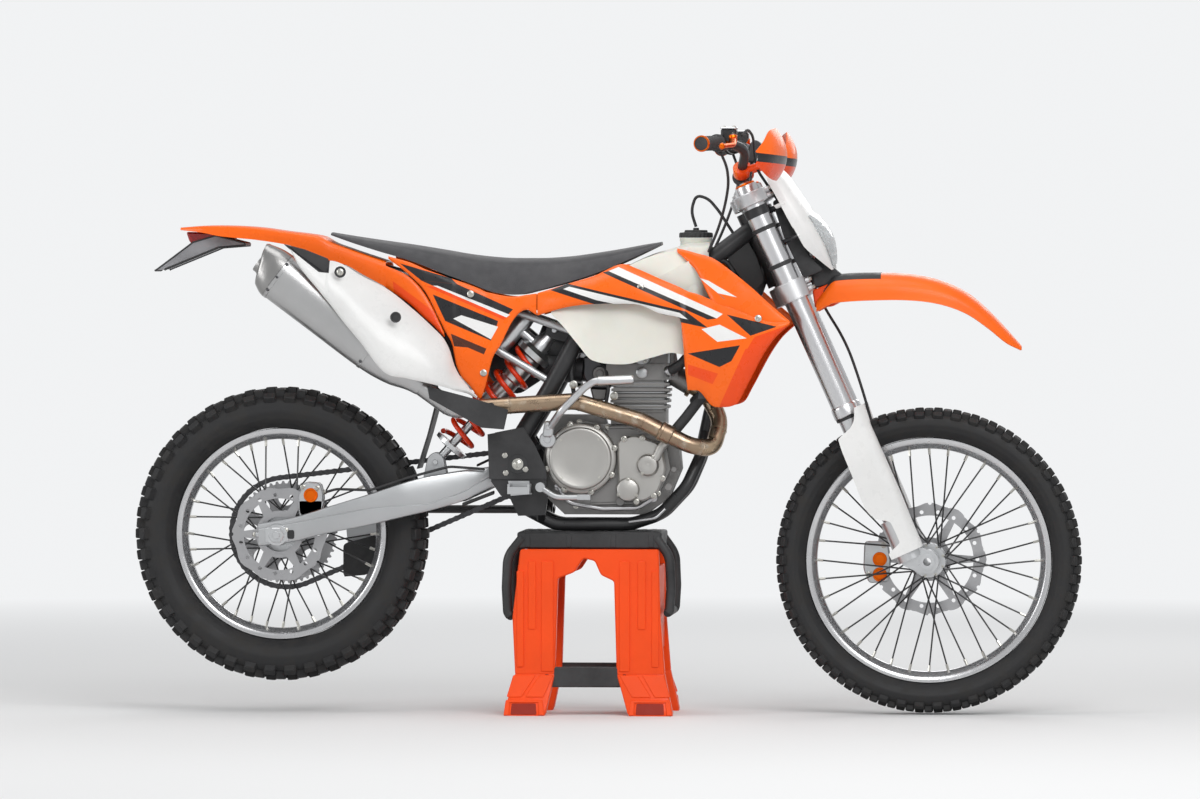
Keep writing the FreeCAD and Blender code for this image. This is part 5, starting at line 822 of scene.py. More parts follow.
def knobbly_tyre(name, body, node, centre, section, bands, rows):
    """A carcass turned from a smooth section, with rings of lugs.

    A section point is Y and radius, from one bead to the middle. A band is the lug's length, width and
    height, its foot's Y and radius, its lean, and the share of a row by which it is shifted.
    """
    half = np.array([(y, r, 0.0) for y, r in section])
    outside = spline(np.vstack([half, half[-2::-1] * np.array([-1.0, 1.0, 1.0])]), TYRE_POINTS)
    from_middle = np.abs(np.arange(TYRE_POINTS) - TYRE_POINTS // 2)
    ribs = sum(np.exp(-((from_middle - place) / 0.8) ** 2) for place in (19.0, 23.0))
    outside[:, 0] += np.sign(outside[:, 0]) * ribs * 0.9
    bead_y, bead_r = section[0]
    inside = np.linspace([-bead_y + 4, bead_r + 4, 0], [bead_y - 4, bead_r + 4, 0], 4)[::-1]
    profile = np.vstack([outside[:, :2], inside[::-1, :2]])
    forms = [turned(centre, SIDE, profile, 144, closed=True)]
    for length, width, height, y, radius, tilt, shift in bands:
        for side in (-1, 1):
            frames = lug_frames(centre, rows, shift, radius, side * y, tilt)
            forms.append(repeated(block_lug(length, width, height), frames))
    piece(name, body, forms, TYRE, replaces=(node,), sharp=32)


def wheel_hub(name, body, node, centre, flange_r, half, left_end, right_end, rim_r, barrel_r):
    """A hub turned from Y and radius pairs: bosses, flanges and a waisted barrel, with crossed spokes."""
    profile = [(-right_end, 14.0), (-right_end, 21.0), (1.5 - right_end, 22.5), (-half - 3, 22.5),
               (-half, 26.0), (-half, flange_r - 1.5), (1.5 - half, flange_r),
               (FLANGE - half - 1.5, flange_r), (FLANGE - half, flange_r - 1.5),
               (FLANGE - half + 2, barrel_r + 5), (FLANGE - half + 9, barrel_r), (0, barrel_r - 2),
               (half - FLANGE - 9, barrel_r), (half - FLANGE - 2, barrel_r + 5),
               (half - FLANGE, flange_r - 1.5), (half - FLANGE + 1.5, flange_r), (half - 1.5, flange_r),
               (half, flange_r - 1.5), (half, 34.0), (left_end - 6, 33.0), (left_end, 31.0),
               (left_end, 14.0)]
    hub = turned(centre, SIDE, profile, 72, closed=True)
    spokes_low, spokes_high, nipple_low, nipple_high = [], [], [], []
    for index in range(SPOKES):
        side = 1 if index % 2 else -1
        lean = math.radians(SPOKE_CROSS if (index // 2) % 2 else -SPOKE_CROSS)
        rim_angle = 2.0 * math.pi * index / SPOKES
        hub_way = np.array([math.cos(rim_angle + lean), 0.0, math.sin(rim_angle + lean)])
        rim_way = np.array([math.cos(rim_angle), 0.0, math.sin(rim_angle)])
        face = side * (half + (1.5 if (index // 2) % 2 else -FLANGE - 1.5))
        start = np.asarray(centre) + hub_way * (flange_r - 5.0) + SIDE * face
        end = np.asarray(centre) + rim_way * (rim_r - 26.0) + SIDE * side * 6.0
        way = unit(end - start)
        spokes_low.append(start)
        spokes_high.append(end)
        nipple_low.append(end - way * 13.0)
        nipple_high.append(end + way * 1.0)
    heads = np.array(spokes_low)
    inner = np.where(heads[:, 1:2] > 0, -1.0, 1.0) * SIDE
    caps = rods(heads - inner * 1.5, heads + inner * 1.5, 3.4, 8)
    spokes = rods(spokes_low, spokes_high, 1.9, 8)
    nipples = merged([rods(nipple_low, nipple_high, 3.4, 6), caps])
    piece(name, body, hub, BARE_METAL, replaces=(node,), sharp=30)
    piece(name + "_spokes", body, spokes, BLACK_METAL)
    piece(name + "_nipples", body, nipples, BOLT_STEEL)


def smooth_rim(name, body, node, centre, radius, half):
    """A spoked rim: a turned channel with rolled lips, a drop centre, and a raised band for the nipples."""
    left = [(half * 0.3, 19), (half * 0.55, 13), (half - 3.6, 9), (half - 3.2, 1.2), (half - 1.4, 0),
            (half, 1), (half, 4), (half - 1, 11), (half - 4, 15), (half * 0.62, 17.5), (half * 0.42, 24),
            (half * 0.2, 25.5)]
    profile = [(y, radius - depth) for y, depth in left + [(-y, depth) for y, depth in reversed(left)]]
    piece(name, body, turned(centre, SIDE, profile, 160, closed=True), RIM_METAL, replaces=(node,), sharp=50)


def chain_path():
    """The chain's pitch line: two arcs on the sprockets joined by their outer tangents, evenly spaced."""
    front = np.array([FRONT_SPROCKET[0], 0.0, FRONT_SPROCKET[1]])
    rear = np.array(REAR_AXLE)
    run = front - rear
    length = np.linalg.norm(run)
    base = math.atan2(run[2], run[0])
    front_r, rear_r = (CHAIN_PITCH / 2.0 / math.sin(math.pi / teeth) for teeth in (13, 50))
    lean = math.asin((rear_r - front_r) / length)
    points = []
    arcs = ((rear, rear_r, base + math.pi / 2 - lean, base + 1.5 * math.pi + lean),
            (front, front_r, base - math.pi / 2 + lean, base + math.pi / 2 - lean))
    for centre, radius, start, end in arcs:
        angle = np.linspace(start, end, 60)
        points.append(centre + radius * np.stack([np.cos(angle), np.zeros(60), np.sin(angle)], -1))
    line = np.vstack(points + [points[0][:1]])
    run = np.concatenate([[0.0], np.cumsum(np.linalg.norm(np.diff(line, axis=0), axis=1))])
    links = 2 * int(round(run[-1] / CHAIN_PITCH / 2.0))
    wanted = np.linspace(0.0, run[-1], links + 1)
    return np.stack([np.interp(wanted, run, line[:, axis]) for axis in range(3)], -1)


def link_plate(y_low, y_high, height):
    """A chain plate: two round ends about the pins with a waist between, carried from one Y to the other."""
    angle = np.linspace(0.0, 2.0 * math.pi, 20, endpoint=False)
    turn = np.cos(angle)
    reach = np.where(turn > 0, 1.0, -1.0) * CHAIN_PITCH / 2.0 * np.minimum(np.abs(turn) * 3, 1.0)
    x = reach + turn * height / 2.0
    z = np.sin(angle) * height / 2.0 * (1.0 - 0.22 * np.exp(-(x / 3.0) ** 2))
    return slab(np.stack([x, z], -1), y_low, y_high, 0.4)


def drive_chain():
    """The links at even steps along the chain's path: outer and inner plates in turn, with rollers."""
    path = chain_path()
    start, end = path[:-1], path[1:]
    ways = unit(end - start)
    rise = np.cross(ways, SIDE)
    middle = (start + end) / 2.0 + SIDE * CHAIN_Y
    frames = np.stack([middle, ways, np.broadcast_to(SIDE, ways.shape), rise], 1)
    outer = merged([link_plate(5.6, 7.4, 13.5), link_plate(-7.4, -5.6, 13.5)])
    inner = merged([link_plate(3.4, 5.2, 13.5), link_plate(-5.2, -3.4, 13.5)])
    pins = start + SIDE * CHAIN_Y
    body = merged([repeated(outer, frames[::2]), repeated(inner, frames[1::2]),
                   rods(pins - SIDE * 8.2, pins + SIDE * 8.2, 2.4, 8),
                   rods(pins - SIDE * 3.4, pins + SIDE * 3.4, 5.0, 10)])
    piece("drive_chain", "bike", body, DARK_STEEL, replaces=("chain",), sharp=35)


def wheels():
    """Both wheels: tyres, rims, hubs with spokes, and the chain."""
    knobbly_tyre("front_tyre_tread", "front_wheel", "front_tyre", FRONT_AXLE,
                 [(23, 281), (33, 290), (41, 304), (42.5, 318), (37, 330), (24, 335.5), (0, 338)],
                 [(19, 15, 11.5, 9.5, 337.5, 2, 0.0), (19, 15, 12.0, 25.5, 334.5, 16, 0.5),
                  (22, 12, 12.0, 35.5, 328, 46, 0.0)], 50)
    knobbly_tyre("rear_tyre_tread", "rear_wheel", "rear_tyre", REAR_AXLE,
                 [(30, 243), (46, 253), (59, 272), (61, 292), (54, 311), (34, 320), (0, 324)],
                 [(22, 22, 13.5, 13.5, 323.5, 1, 0.0), (22, 22, 14.0, 36.5, 319, 10, 0.5),
                  (26, 17, 14.0, 53.0, 309, 44, 0.0)], 42)
    smooth_rim("front_rim_channel", "front_wheel", "front_rim", FRONT_AXLE, FRONT_RIM_R, 24.0)
    smooth_rim("rear_rim_channel", "rear_wheel", "rear_rim", REAR_AXLE, REAR_RIM_R, 31.0)
    wheel_hub("front_hub", "front_wheel", "front_hub_spokes", FRONT_AXLE, 40.0, 38.0, 59.5, 48.0,
              FRONT_RIM_R, 24.0)
    wheel_hub("rear_hub", "rear_wheel", "rear_hub_spokes", REAR_AXLE, 52.0, 42.0, 78.5, 67.5, REAR_RIM_R,
              36.0)
    drive_chain()


# Bodywork

def shell(net, wall, inward):
    """A wall-thick skin: outer points, the same moved inwards along the normals, and quads round the rim."""
    across = np.gradient(net, axis=1)
    along = np.gradient(net, axis=0)
    normal = unit(np.cross(along, across))
    facing = np.einsum("ijk,k->ij", normal, np.asarray(inward, float)).mean()
    normal = normal * np.where(facing > 0, 1.0, -1.0)
    inner = net + normal * wall
    rows, columns = net.shape[:2]
    count = rows * columns
    one, two = grid(net), grid(inner)
    index = np.arange(count).reshape(rows, columns)
    rim = np.concatenate([index[0, :-1], index[:-1, -1], index[-1, :0:-1], index[:0:-1, 0]])
    after = np.roll(rim, -1)
    lips = np.stack([rim, after, after + count, rim + count], -1)
    return form(np.vstack([one[0], two[0]]), np.vstack([one[1], two[1] + count, lips]))


def stationed(stations, samples):
    """Smooth values at many places along a form, from a few stations whose first number is the place."""
    stations = np.asarray(sorted(stations), float)
    places = np.union1d(np.linspace(stations[0, 0], stations[-1, 0], samples), stations[:, 0])
    return places, eased(stations[:, 0], stations[:, 1:], places)


def panel(stations, wall=3.2, roll=2.4, samples=90, columns=15):
    """A right-hand panel: at each X a strip from low Z to high Z, a parabola through three Y values.

    Its edges roll in towards the bike by a bell curve of the distance from the edge.
    """
    x, values = stationed(stations, samples)
    low, high, y_low, y_mid, y_high = (values[:, k, None] for k in range(5))
    v = np.linspace(0.0, 1.0, columns)[None, :]
    v = 0.5 - 0.5 * np.cos(np.pi * v) * (0.75 + 0.25 * np.abs(np.cos(np.pi * v)))
    y = y_low * (1 - v) * (1 - 2 * v) + y_mid * 4 * v * (1 - v) + y_high * v * (2 * v - 1)
    span = np.maximum(high - low, 1.0)
    edge = np.minimum(v, 1 - v) * span
    y = y + roll * np.exp(-(edge / 3.0) ** 2)
    net = np.stack([np.broadcast_to(x[:, None], y.shape), y, low + v * (high - low)], -1)
    return shell(net, wall, (0, 1, 0))


SHROUD_FLANK = [(-178, 911, 962, -106, -107, -104), (-109, 930, 983, -128, -128, -110),
                (-49, 937, 1001, -138, -137, -112), (19, 938, 1028, -143, -141, -108),
                (49, 937, 1018, -146, -144, -112), (109, 914, 992, -151, -150, -126),
                (150, 904, 975, -154, -155, -138), (168, 742, 966, -150, -164, -144),
                (190, 741, 960, -152, -170, -150), (224, 706, 946, -152, -178, -156),
                (242, 703, 940, -152, -181, -160), (280, 711, 925, -156, -186, -168),
                (300, 745, 918, -164, -189, -172), (341, 822, 903, -180, -191, -180),
                (365, 857, 898, -186, -191, -184), (401, 891, 899, -186, -187, -185)]
SHROUD_BLADE = [(140, 1056, 1064, -88, -86, -84), (166, 1032, 1058, -102, -98, -92),
                (184, 1014, 1053, -118, -112, -102), (224, 943, 1041, -156, -143, -122),
                (268, 926, 1011, -166, -157, -141), (312, 906, 976, -175, -168, -156),
                (356, 893, 937, -183, -179, -172), (400, 893, 900, -186, -185, -184)]
SIDE_COVER = [(-520, 1040, 1046, -97, -97, -97), (-468, 1000, 1031, -102, -101, -99),
              (-434, 964, 1016, -106, -104, -100), (-400, 898, 1004, -111, -107, -101),
              (-386, 870, 999, -113, -109, -101), (-372, 843, 994, -115, -111, -101),
              (-363, 799, 991, -118, -112, -101), (-329, 747, 979, -121, -115, -101),
              (-307, 722, 970, -122, -116, -101), (-297, 745, 965, -121, -115, -101),
              (-280, 812, 961, -118, -113, -101), (-262, 843, 957, -116, -111, -101),
              (-232, 902, 954, -111, -108, -102), (-203, 924, 958, -108, -107, -103),
              (-180, 912, 961, -106, -106, -103.5)]
REAR_PANEL = [(-736, 1062, 1068, -188, -187, -185), (-719, 1030, 1053, -194, -192, -186),
              (-700, 1004, 1040, -197, -195, -186), (-675, 975, 1022, -200, -198, -187),
              (-654, 949, 1010, -200, -199, -186), (-648, 942, 1036, -200, -199, -168),
              (-619, 904, 1028, -200, -199, -160), (-576, 852, 1001, -200, -198, -142),
              (-521, 783, 972, -198, -196, -124), (-467, 768, 930, -194, -188, -120),
              (-416, 756, 884, -184, -176, -123), (-388, 749, 854, -174, -163, -125),
              (-376, 745, 830, -168, -156, -127), (-366, 742, 797, -162, -150, -128),
              (-332, 733, 746, -138, -135, -130), (-314, 722, 727, -130, -129, -128)]
FENDER_BAND = [(-529, 977, 1026, -96, -96, -95.6), (-468, 935, 996, -103, -101, -98),
               (-437, 906, 962, -106, -104, -100), (-417, 889, 930, -108, -106, -102),
               (-391, 862, 872, -111, -110, -109)]
REAR_FENDER = [(-1001, 1112, 6, 62), (-950, 1116, 16, 80), (-909, 1117, 25, 88), (-821, 1113, 30, 96),
               (-755, 1104, 31, 100), (-705, 1098, 42, 101), (-675, 1092, 46, 101), (-650, 1078, 44, 100),
               (-620, 1067, 40, 99), (-576, 1052, 49, 98), (-526, 1036, 60, 97)]
FRONT_FENDER = [(456, 950, 30, 62), (500, 1004, 64, 70), (600, 1008, 62, 76), (660, 1006, 60, 78),
                (740, 990, 54, 76), (800, 962, 48, 68), (850, 920, 40, 58), (890, 878, 30, 44),
                (922, 842, 10, 24)]
SEAT = [(-655, 1094, 1101, 62, 58, 3), (-606, 1077, 1093, 78, 72, 7), (-546, 1058, 1084, 86, 78, 10),
        (-468, 1035, 1073, 92, 80, 14), (-388, 1004, 1060, 95, 80, 16), (-335, 985, 1051, 96, 78, 17),
        (-283, 965, 1045, 97, 76, 18), (-230, 958, 1042, 98, 74, 18), (-180, 968, 1042, 98, 72, 18),
        (-109, 987, 1046, 96, 70, 16), (-49, 1006, 1054, 92, 66, 15), (19, 1034, 1065, 80, 58, 12),
        (62, 1054, 1073, 62, 48, 9), (100, 1072, 1079, 40, 34, 3)]
TANK = [(-146, 914, 950, 112, 92, 6), (-117, 885, 966, 122, 92, 8), (-85, 846, 978, 126, 92, 9),
        (-51, 809, 991, 127, 90, 10), (20, 800, 1024, 128, 86, 12), (83, 815, 1052, 128, 84, 14),
        (131, 826, 1066, 127, 82, 16), (159, 822, 1076, 126, 80, 18), (176, 888, 1079, 122, 78, 18),
        (212, 962, 1080, 100, 70, 16)]
TANK_TUNNEL = [(-220, 884), (-92, 900), (20, 962), (100, 1000), (180, 1042), (230, 1082)]
MASK = [(8, 100, 110, 52), (40, 84, 118, 72), (80, 66, 124, 88), (110, 62, 122, 95), (154, 58, 114, 100),
        (210, 54, 104, 92), (254, 50, 94, 78), (280, 60, 80, 56)]
FORK_GUARD = [(-300, 46, 22), (-338, 43, 46), (-352, 41, 80), (-440, 41, 85), (-510, 41, 88), (-548, 40, 76),
              (-573, 39, 46), (-620, 38, 44), (-637, 38, 78), (-650, 37, 76)]
GUARD_REACH = 41.5
HAND_GUARD = [(150, 372, 1246, 1276), (190, 392, 1228, 1306), (250, 398, 1216, 1334), (320, 386, 1220, 1330),
              (372, 362, 1236, 1300), (394, 342, 1252, 1282)]


def arched(stations, shares, samples=70, columns=33):
    """A mudguard's outer net: at each X a smooth arch through shares of its half width and of its drop."""
    x, values = stationed(stations, samples)
    top, drop, half = (values[:, k, None] for k in range(3))
    shares = np.asarray(shares, float)
    curve = spline(np.column_stack([shares, np.zeros(len(shares))]), columns)
    y = half * curve[None, :, 0]
    z = top - drop * np.clip(curve[None, :, 1], 0.0, 1.0)
    return np.stack([np.broadcast_to(x[:, None], y.shape), y, z], -1)


def crowned(stations, samples, columns, seam=0.0):
    """A closed net along X: a flat base, sides that lean in, and a domed top.

    A seam is a groove along the shoulder, a bell curve of the distance from it.
    """
    x, values = stationed(stations, samples)
    rows = []
    for place, (low, high, half_low, half_high, crown) in zip(x, values):
        shoulder = high - crown
        side = [(half_low, low), (half_low * 0.55 + half_high * 0.47, low * 0.45 + shoulder * 0.55),
                (half_high, shoulder), (half_high * 0.8, shoulder + crown * 0.55),
                (half_high * 0.4, high - crown * 0.1), (0.0, high)]
        points = np.array([(y, z, 0.0) for y, z in side])
        curve = spline(np.vstack([points, points[-2::-1] * np.array([-1.0, 1.0, 1.0])]), columns)[:, :2]
        if seam:
            reach = np.abs(np.abs(curve[:, 0]) - half_high * 0.985)
            dip = seam * np.exp(-(reach / 2.2) ** 2) * (curve[:, 1] > shoulder - 4)
            curve = curve - np.sign(curve[:, :1]) * np.array([[1.0, 0.0]]) * dip[:, None]
        rows.append(np.column_stack([np.full(columns, place), curve]))
    return np.array(rows)


def shrouds():
    """Both radiator shrouds: the flank and the upper blade, each a bowed skin."""
    right = merged([panel(SHROUD_FLANK, samples=120, columns=19), panel(SHROUD_BLADE, columns=13)])
    # The shroud finish carries painted shade on the front flange as well as the decals.
    piece("shroud_skins", "bike", both_sides(right), SHROUD_PAINT, replaces=("shrouds",), sharp=50)


def side_covers():
    """The covers under the seat, and the rear panels."""
    piece("side_cover_skins", "bike", both_sides(panel(SIDE_COVER, columns=17)), COVER_PAINT,
          replaces=("side_covers",), sharp=50)
    piece("rear_panel_skins", "bike", both_sides(panel(REAR_PANEL, columns=17, roll=3.5)), PANEL_PAINT,
          replaces=("rear_panels",), sharp=50)


def mudguards():
    """Both mudguards: arched skins, the rear one with its skirts, and the front one's black strip."""
    rear = arched(REAR_FENDER, [(-1, 1), (-0.98, 0.3), (-0.86, 0.05), (0, 0), (0.86, 0.05), (0.98, 0.3),
                                (1, 1)])
    skirts = both_sides(panel(FENDER_BAND, samples=40, columns=9))
    # The rear mudguard's finish carries painted shade on the lower part of its skirts.
    piece("rear_mudguard", "bike", [shell(rear, 3.6, (0, 0, -1)), skirts], FENDER_PAINT,
          replaces=("rear_fender",), sharp=50)
    front = arched(FRONT_FENDER, [(-1, 1), (-0.92, 0.45), (-0.6, 0.1), (0, 0), (0.6, 0.1), (0.92, 0.45),
                                  (1, 1)], 90)
    piece("front_mudguard", "steering", shell(front, 3.8, (0, 0, -1)), ORANGE_PLASTIC,
          replaces=("front_fender",), sharp=50)
    strip = front[(front[:, 0, 0] > 470) & (front[:, 0, 0] < 604)][:, 8:25] + np.array([0.0, 0.0, 0.8])
    piece("front_mudguard_strip", "steering", shell(strip, 1.2, (0, 0, -1)), BLACK_PLASTIC, sharp=50)


def seat_and_tank():
    """The seat with its sewn edge, and the saddle tank open below for the frame's spars."""
    net = crowned(SEAT, 110, 61, seam=1.3)
    item = grid(net, close_v=True, caps=True)
    seat = piece("seat_cover", "bike", item, SEAT_COVER, replaces=("seat",), sharp=60)
    outer = crowned(TANK, 70, 57)
    x = outer[:, 0, 0]
    roof = np.interp(x, *np.array(TANK_TUNNEL, float).T)
    low = outer[:, 0, 2]
    roof = np.clip(roof, low + 1.0, outer[:, :, 2].max(axis=1) - 12.0)
    inner_half = np.minimum(104.0, outer[:, 0, 1] - 6.0)
    share = np.array([-1, -1, -0.97, -0.5, 0, 0.5, 0.97, 1, 1])
    rise = np.array([0, 0.9, 1, 1, 1, 1, 1, 0.9, 0])
    inner = np.stack([np.broadcast_to(x[:, None], (len(x), 9)), inner_half[:, None] * share,
                      low[:, None] + (roof - low)[:, None] * rise], -1)
    loop = np.concatenate([outer, inner], axis=1)
    neck = turned((178.0, 0.0, 1060.0), UP, [(0, 36), (18, 36), (22, 37.5), (28, 37.5)], 48)
    piece("tank_shell", "bike", [grid(loop, close_v=True), neck], TANK_PLASTIC, replaces=("fuel_tank",),
          sharp=45)


def mask_net(inset, samples=60, columns=33):
    """The lamp mask's net up the fork: at each height a smooth bow across, made smaller by an inset."""
    up, values = stationed(MASK, samples)
    back, front, half = values[:, 0, None], values[:, 1, None] - inset, values[:, 2, None] - inset
    middle = back + (front - back) * 0.55
    share = np.array([-1, -0.92, -0.5, 0, 0.5, 0.92, 1], float)
    ahead = np.concatenate([back, middle, front - 8, front, front - 8, middle, back], axis=1)
    rows = []
    for height, half_width, depths in zip(up, half[:, 0], ahead):
        curve = spline(np.column_stack([share * half_width, depths, np.zeros(7)]), columns)
        rows.append(LOWER_CLAMP + FORK_UP * height + curve[:, 1:2] * FORK_AHEAD + curve[:, :1] * SIDE)
    return np.array(rows), up


def lamp_mask():
    """The lamp mask with its studs, and its lens, which swells ahead of it."""
    net, up = mask_net(0.0)
    studs = []
    for height, half in ((110.0, 95.0), (190.0, 95.0)):
        for side in (-1, 1):
            y = side * (half - 4.0)
            studs.append(bar(fork_point(height, 27.0, y), fork_point(height, 68.0, y), 5.0))
    piece("lamp_mask", "steering", [shell(net, 3.6, -FORK_AHEAD)] + studs, MASK_PAINT,
          replaces=("headlight_mask",), sharp=50)
    lens_net, _ = mask_net(-3.0)
    chosen = lens_net[(up > 14) & (up < 142)][:, 7:26]
    up_bow, across_bow = (np.sin(np.linspace(0, np.pi, count)) ** 0.7 for count in chosen.shape[:2])
    chosen = chosen + (up_bow[:, None] * across_bow)[..., None] * FORK_AHEAD * 7.0
    piece("lamp_lens", "steering", shell(chosen, 2.5, -FORK_AHEAD), CLEAR_LENS, replaces=("headlight_lens",),
          sharp=50)


def fork_guards():
    """The fork guards: at each height a strip bowed round the leg's front and outer side."""
    up, values = stationed(FORK_GUARD, 90)
    rows = []
    out = GUARD_REACH
    for height, (ahead, width) in zip(up, values):
        points = np.array([(ahead - width, -out), (ahead - 18 - (width - 18) * 0.4, -out * 1.01),
                           (ahead - 14, -out * 0.96), (ahead - 1, -out * 0.55), (ahead, 0.0),
                           (ahead - 1, out * 0.5)])
        curve = spline(np.column_stack([points, np.zeros(6)]), 25)
        rows.append(fork_point(height, 0.0, -FORK_Y) + curve[:, :1] * FORK_AHEAD + curve[:, 1:2] * SIDE)
    guard = shell(np.array(rows), 3.2, (0, 1, 0))
    piece("fork_guard_skins", "steering", both_sides(guard), WHITE_PLASTIC, replaces=("fork_guards",),
          sharp=50)


def hand_guards():
    """The hand guards: at each Y a strip whose edges bow back by a parabola, and an arm from the clamp."""
    y, values = stationed(HAND_GUARD, 50)
    v = np.linspace(0.0, 1.0, 17)[None, :]
    x, low, high = (values[:, k, None] for k in range(3))
    bow = (high - low) * 0.2
    net = np.stack([x - bow * (2 * v - 1) ** 2, np.broadcast_to(y[:, None], (len(y), 17)),
                    low + v * (high - low)], -1)
    root = np.array([287.0, 98.0, 1240.0])
    arm = pipe([root, (330, 112, 1252), (366, 170, 1262), (384, 205, 1266)], 30, 8.0)
    collar = turned(root - np.array([0, 10, 8.0]), (0, 10, 8),
                    [(0, 12), (0, 18), (1.5, 19), (24, 19), (25.6, 18), (25.6, 12)], 32)
    # The guards' finish carries painted shade on their lower part.
    piece("hand_guard_shields", "steering", both_sides([shell(net, 3.6, (-1, 0, 0)), arm, collar]),
          GUARD_PAINT, replaces=("hand_guards",), sharp=50)


def bodywork():
    """All the plastic panels, the seat and the tank."""
    shrouds()
    side_covers()
    mudguards()
    seat_and_tank()
    lamp_mask()
    fork_guards()
    hand_guards()


# Engine, exhaust and suspension

CLUTCH = np.array([-80.0, CASE_FACE, 585.0])
PORT_END = np.array([166.0, -34.0, 753.0])
PORT_WAY = np.array([0.857, 0.0, -0.515])
HEADER_POINTS = np.array([PORT_END + PORT_WAY * 0.3, PORT_END + PORT_WAY * 44.0, (238, -52, 672),
                          (222, -98, 606), (170, -124, 616), (60, -126, 672), (-90, -126, 716),
                          (-240, -126, 706), (-330, -130, 700)])
HEADER_R = 19.0
SILENCER_FRONT = np.array([-440.0, -142.0, 748.0])
SILENCER_REAR = np.array([-806.0, -142.0, 1030.0])
SILENCER_LINE = SILENCER_REAR - SILENCER_FRONT
SILENCER_RISE = unit((SILENCER_LINE[2], 0.0, -SILENCER_LINE[0]))
COVER_SCREWS = ((108, 540), (88, 500), (48, 487), (104, 606), (62, 632), (20, 630))
CASE_SCREWS = ((-128, 640), (-84, 668), (-20, 656), (112, 626), (-92, 476), (50, 474), (-134, 560),
               (96, 505))
HEAD_SCREWS = [(x, side * 50) for side in (-1, 1) for x in (-12, 54, 120)]
INLET_WAY = (-1, 0, 0.35)


def places_round(centre, axis, radius, count, start=0.0):
    """Points evenly round a circle about an axis, from a start angle in radians."""
    one, two = axes_about(axis)
    angles = [start + 2.0 * math.pi * index / count for index in range(count)]
    return [np.asarray(centre) + radius * (math.cos(angle) * one + math.sin(angle) * two)
            for angle in angles]


def ring_of_bolts(centre, axis, radius, count, across=8.0, start=0.0, height=5.0):
    """Hexagon heads evenly round a circle about an axis."""
    return merged([hex_head(place, axis, across, height)
                   for place in places_round(centre, axis, radius, count, start)])


def case_castings():
    """The clutch cover with its cap, the right cover with pump and filter caps, and the generator cover."""
    clutch_cap = [(0, 82), (16, 82), (18.5, 81), (21, 78.5), (23, 75), (24, 71.5), (33, 70.6), (35, 69),
                  (36, 66), (35.6, 62), (33.8, 58), (33.4, 30), (33.4, 0)]
    filter_cap = [(0, 26), (12, 25), (17, 21), (19, 14), (18, 8), (18, 0)]
    generator = [(0, 66), (16, 66), (20, 64), (23, 60), (24, 54), (24.5, 46), (30, 44), (32, 40), (32, 0)]
    forms = [turned(CLUTCH, RIGHT, clutch_cap, 96)]
    for place in places_round(CLUTCH, RIGHT, 80.0, 8, 0.3):
        forms.append(bar(place, place + RIGHT * 20.0, 8.0, bevel=2.0))
    outline = rounded([(6, 520), (20, 500), (60, 484), (96, 506), (116, 560), (104, 618), (44, 640),
                       (4, 628)], 14)
    forms.append(slab(outline, -100.0, CASE_FACE, 4.0))
    forms.append(turned((28, -98, 514), RIGHT, [(0, 27), (8, 27), (13, 24), (16, 17), (16.5, 0)], 48))
    forms.append(turned((74, -98, 570), RIGHT, filter_cap, 48))
    forms.append(pipe([(74, -106, 570), (92, -104, 586), (104, -102, 612), (128, -98, 640)], 20, 10.5, 20))
    forms += [bar((x, -100, z), (x, -103, z), 7.0, bevel=1.0) for x, z in COVER_SCREWS]
    forms.append(turned((46, 72.3, 566), SIDE, generator, 80))
    piece("case_cover_castings", "bike", forms, COVER_METAL, slot="cover_bronze", replaces=("case_covers",),
          sharp=35)
    bolts = [ring_of_bolts(CLUTCH + RIGHT * 20.0, RIGHT, 80.0, 8, 8.0, 0.3),
             ring_of_bolts(CLUTCH + RIGHT * 33.6, RIGHT, 63.0, 4, 6.0, 0.8, 2.0),
             ring_of_bolts((28, -108, 514), RIGHT, 22.0, 3, 6.5, 0.5),
             ring_of_bolts((74, -111, 570), RIGHT, 21.0, 2, 6.5, 1.0),
             ring_of_bolts((46, 90, 566), SIDE, 60.0, 6, 8.0, 0.2)]
    bolts += [hex_head((x, -103, z), RIGHT, 8.0) for x, z in COVER_SCREWS]
    for x, z in CASE_SCREWS:
        bolts += [hex_head((x, -78, z), RIGHT, 8.0), hex_head((x, 72, z), SIDE, 8.0)]
    bolts_of("engine_bolts", "bike", bolts)


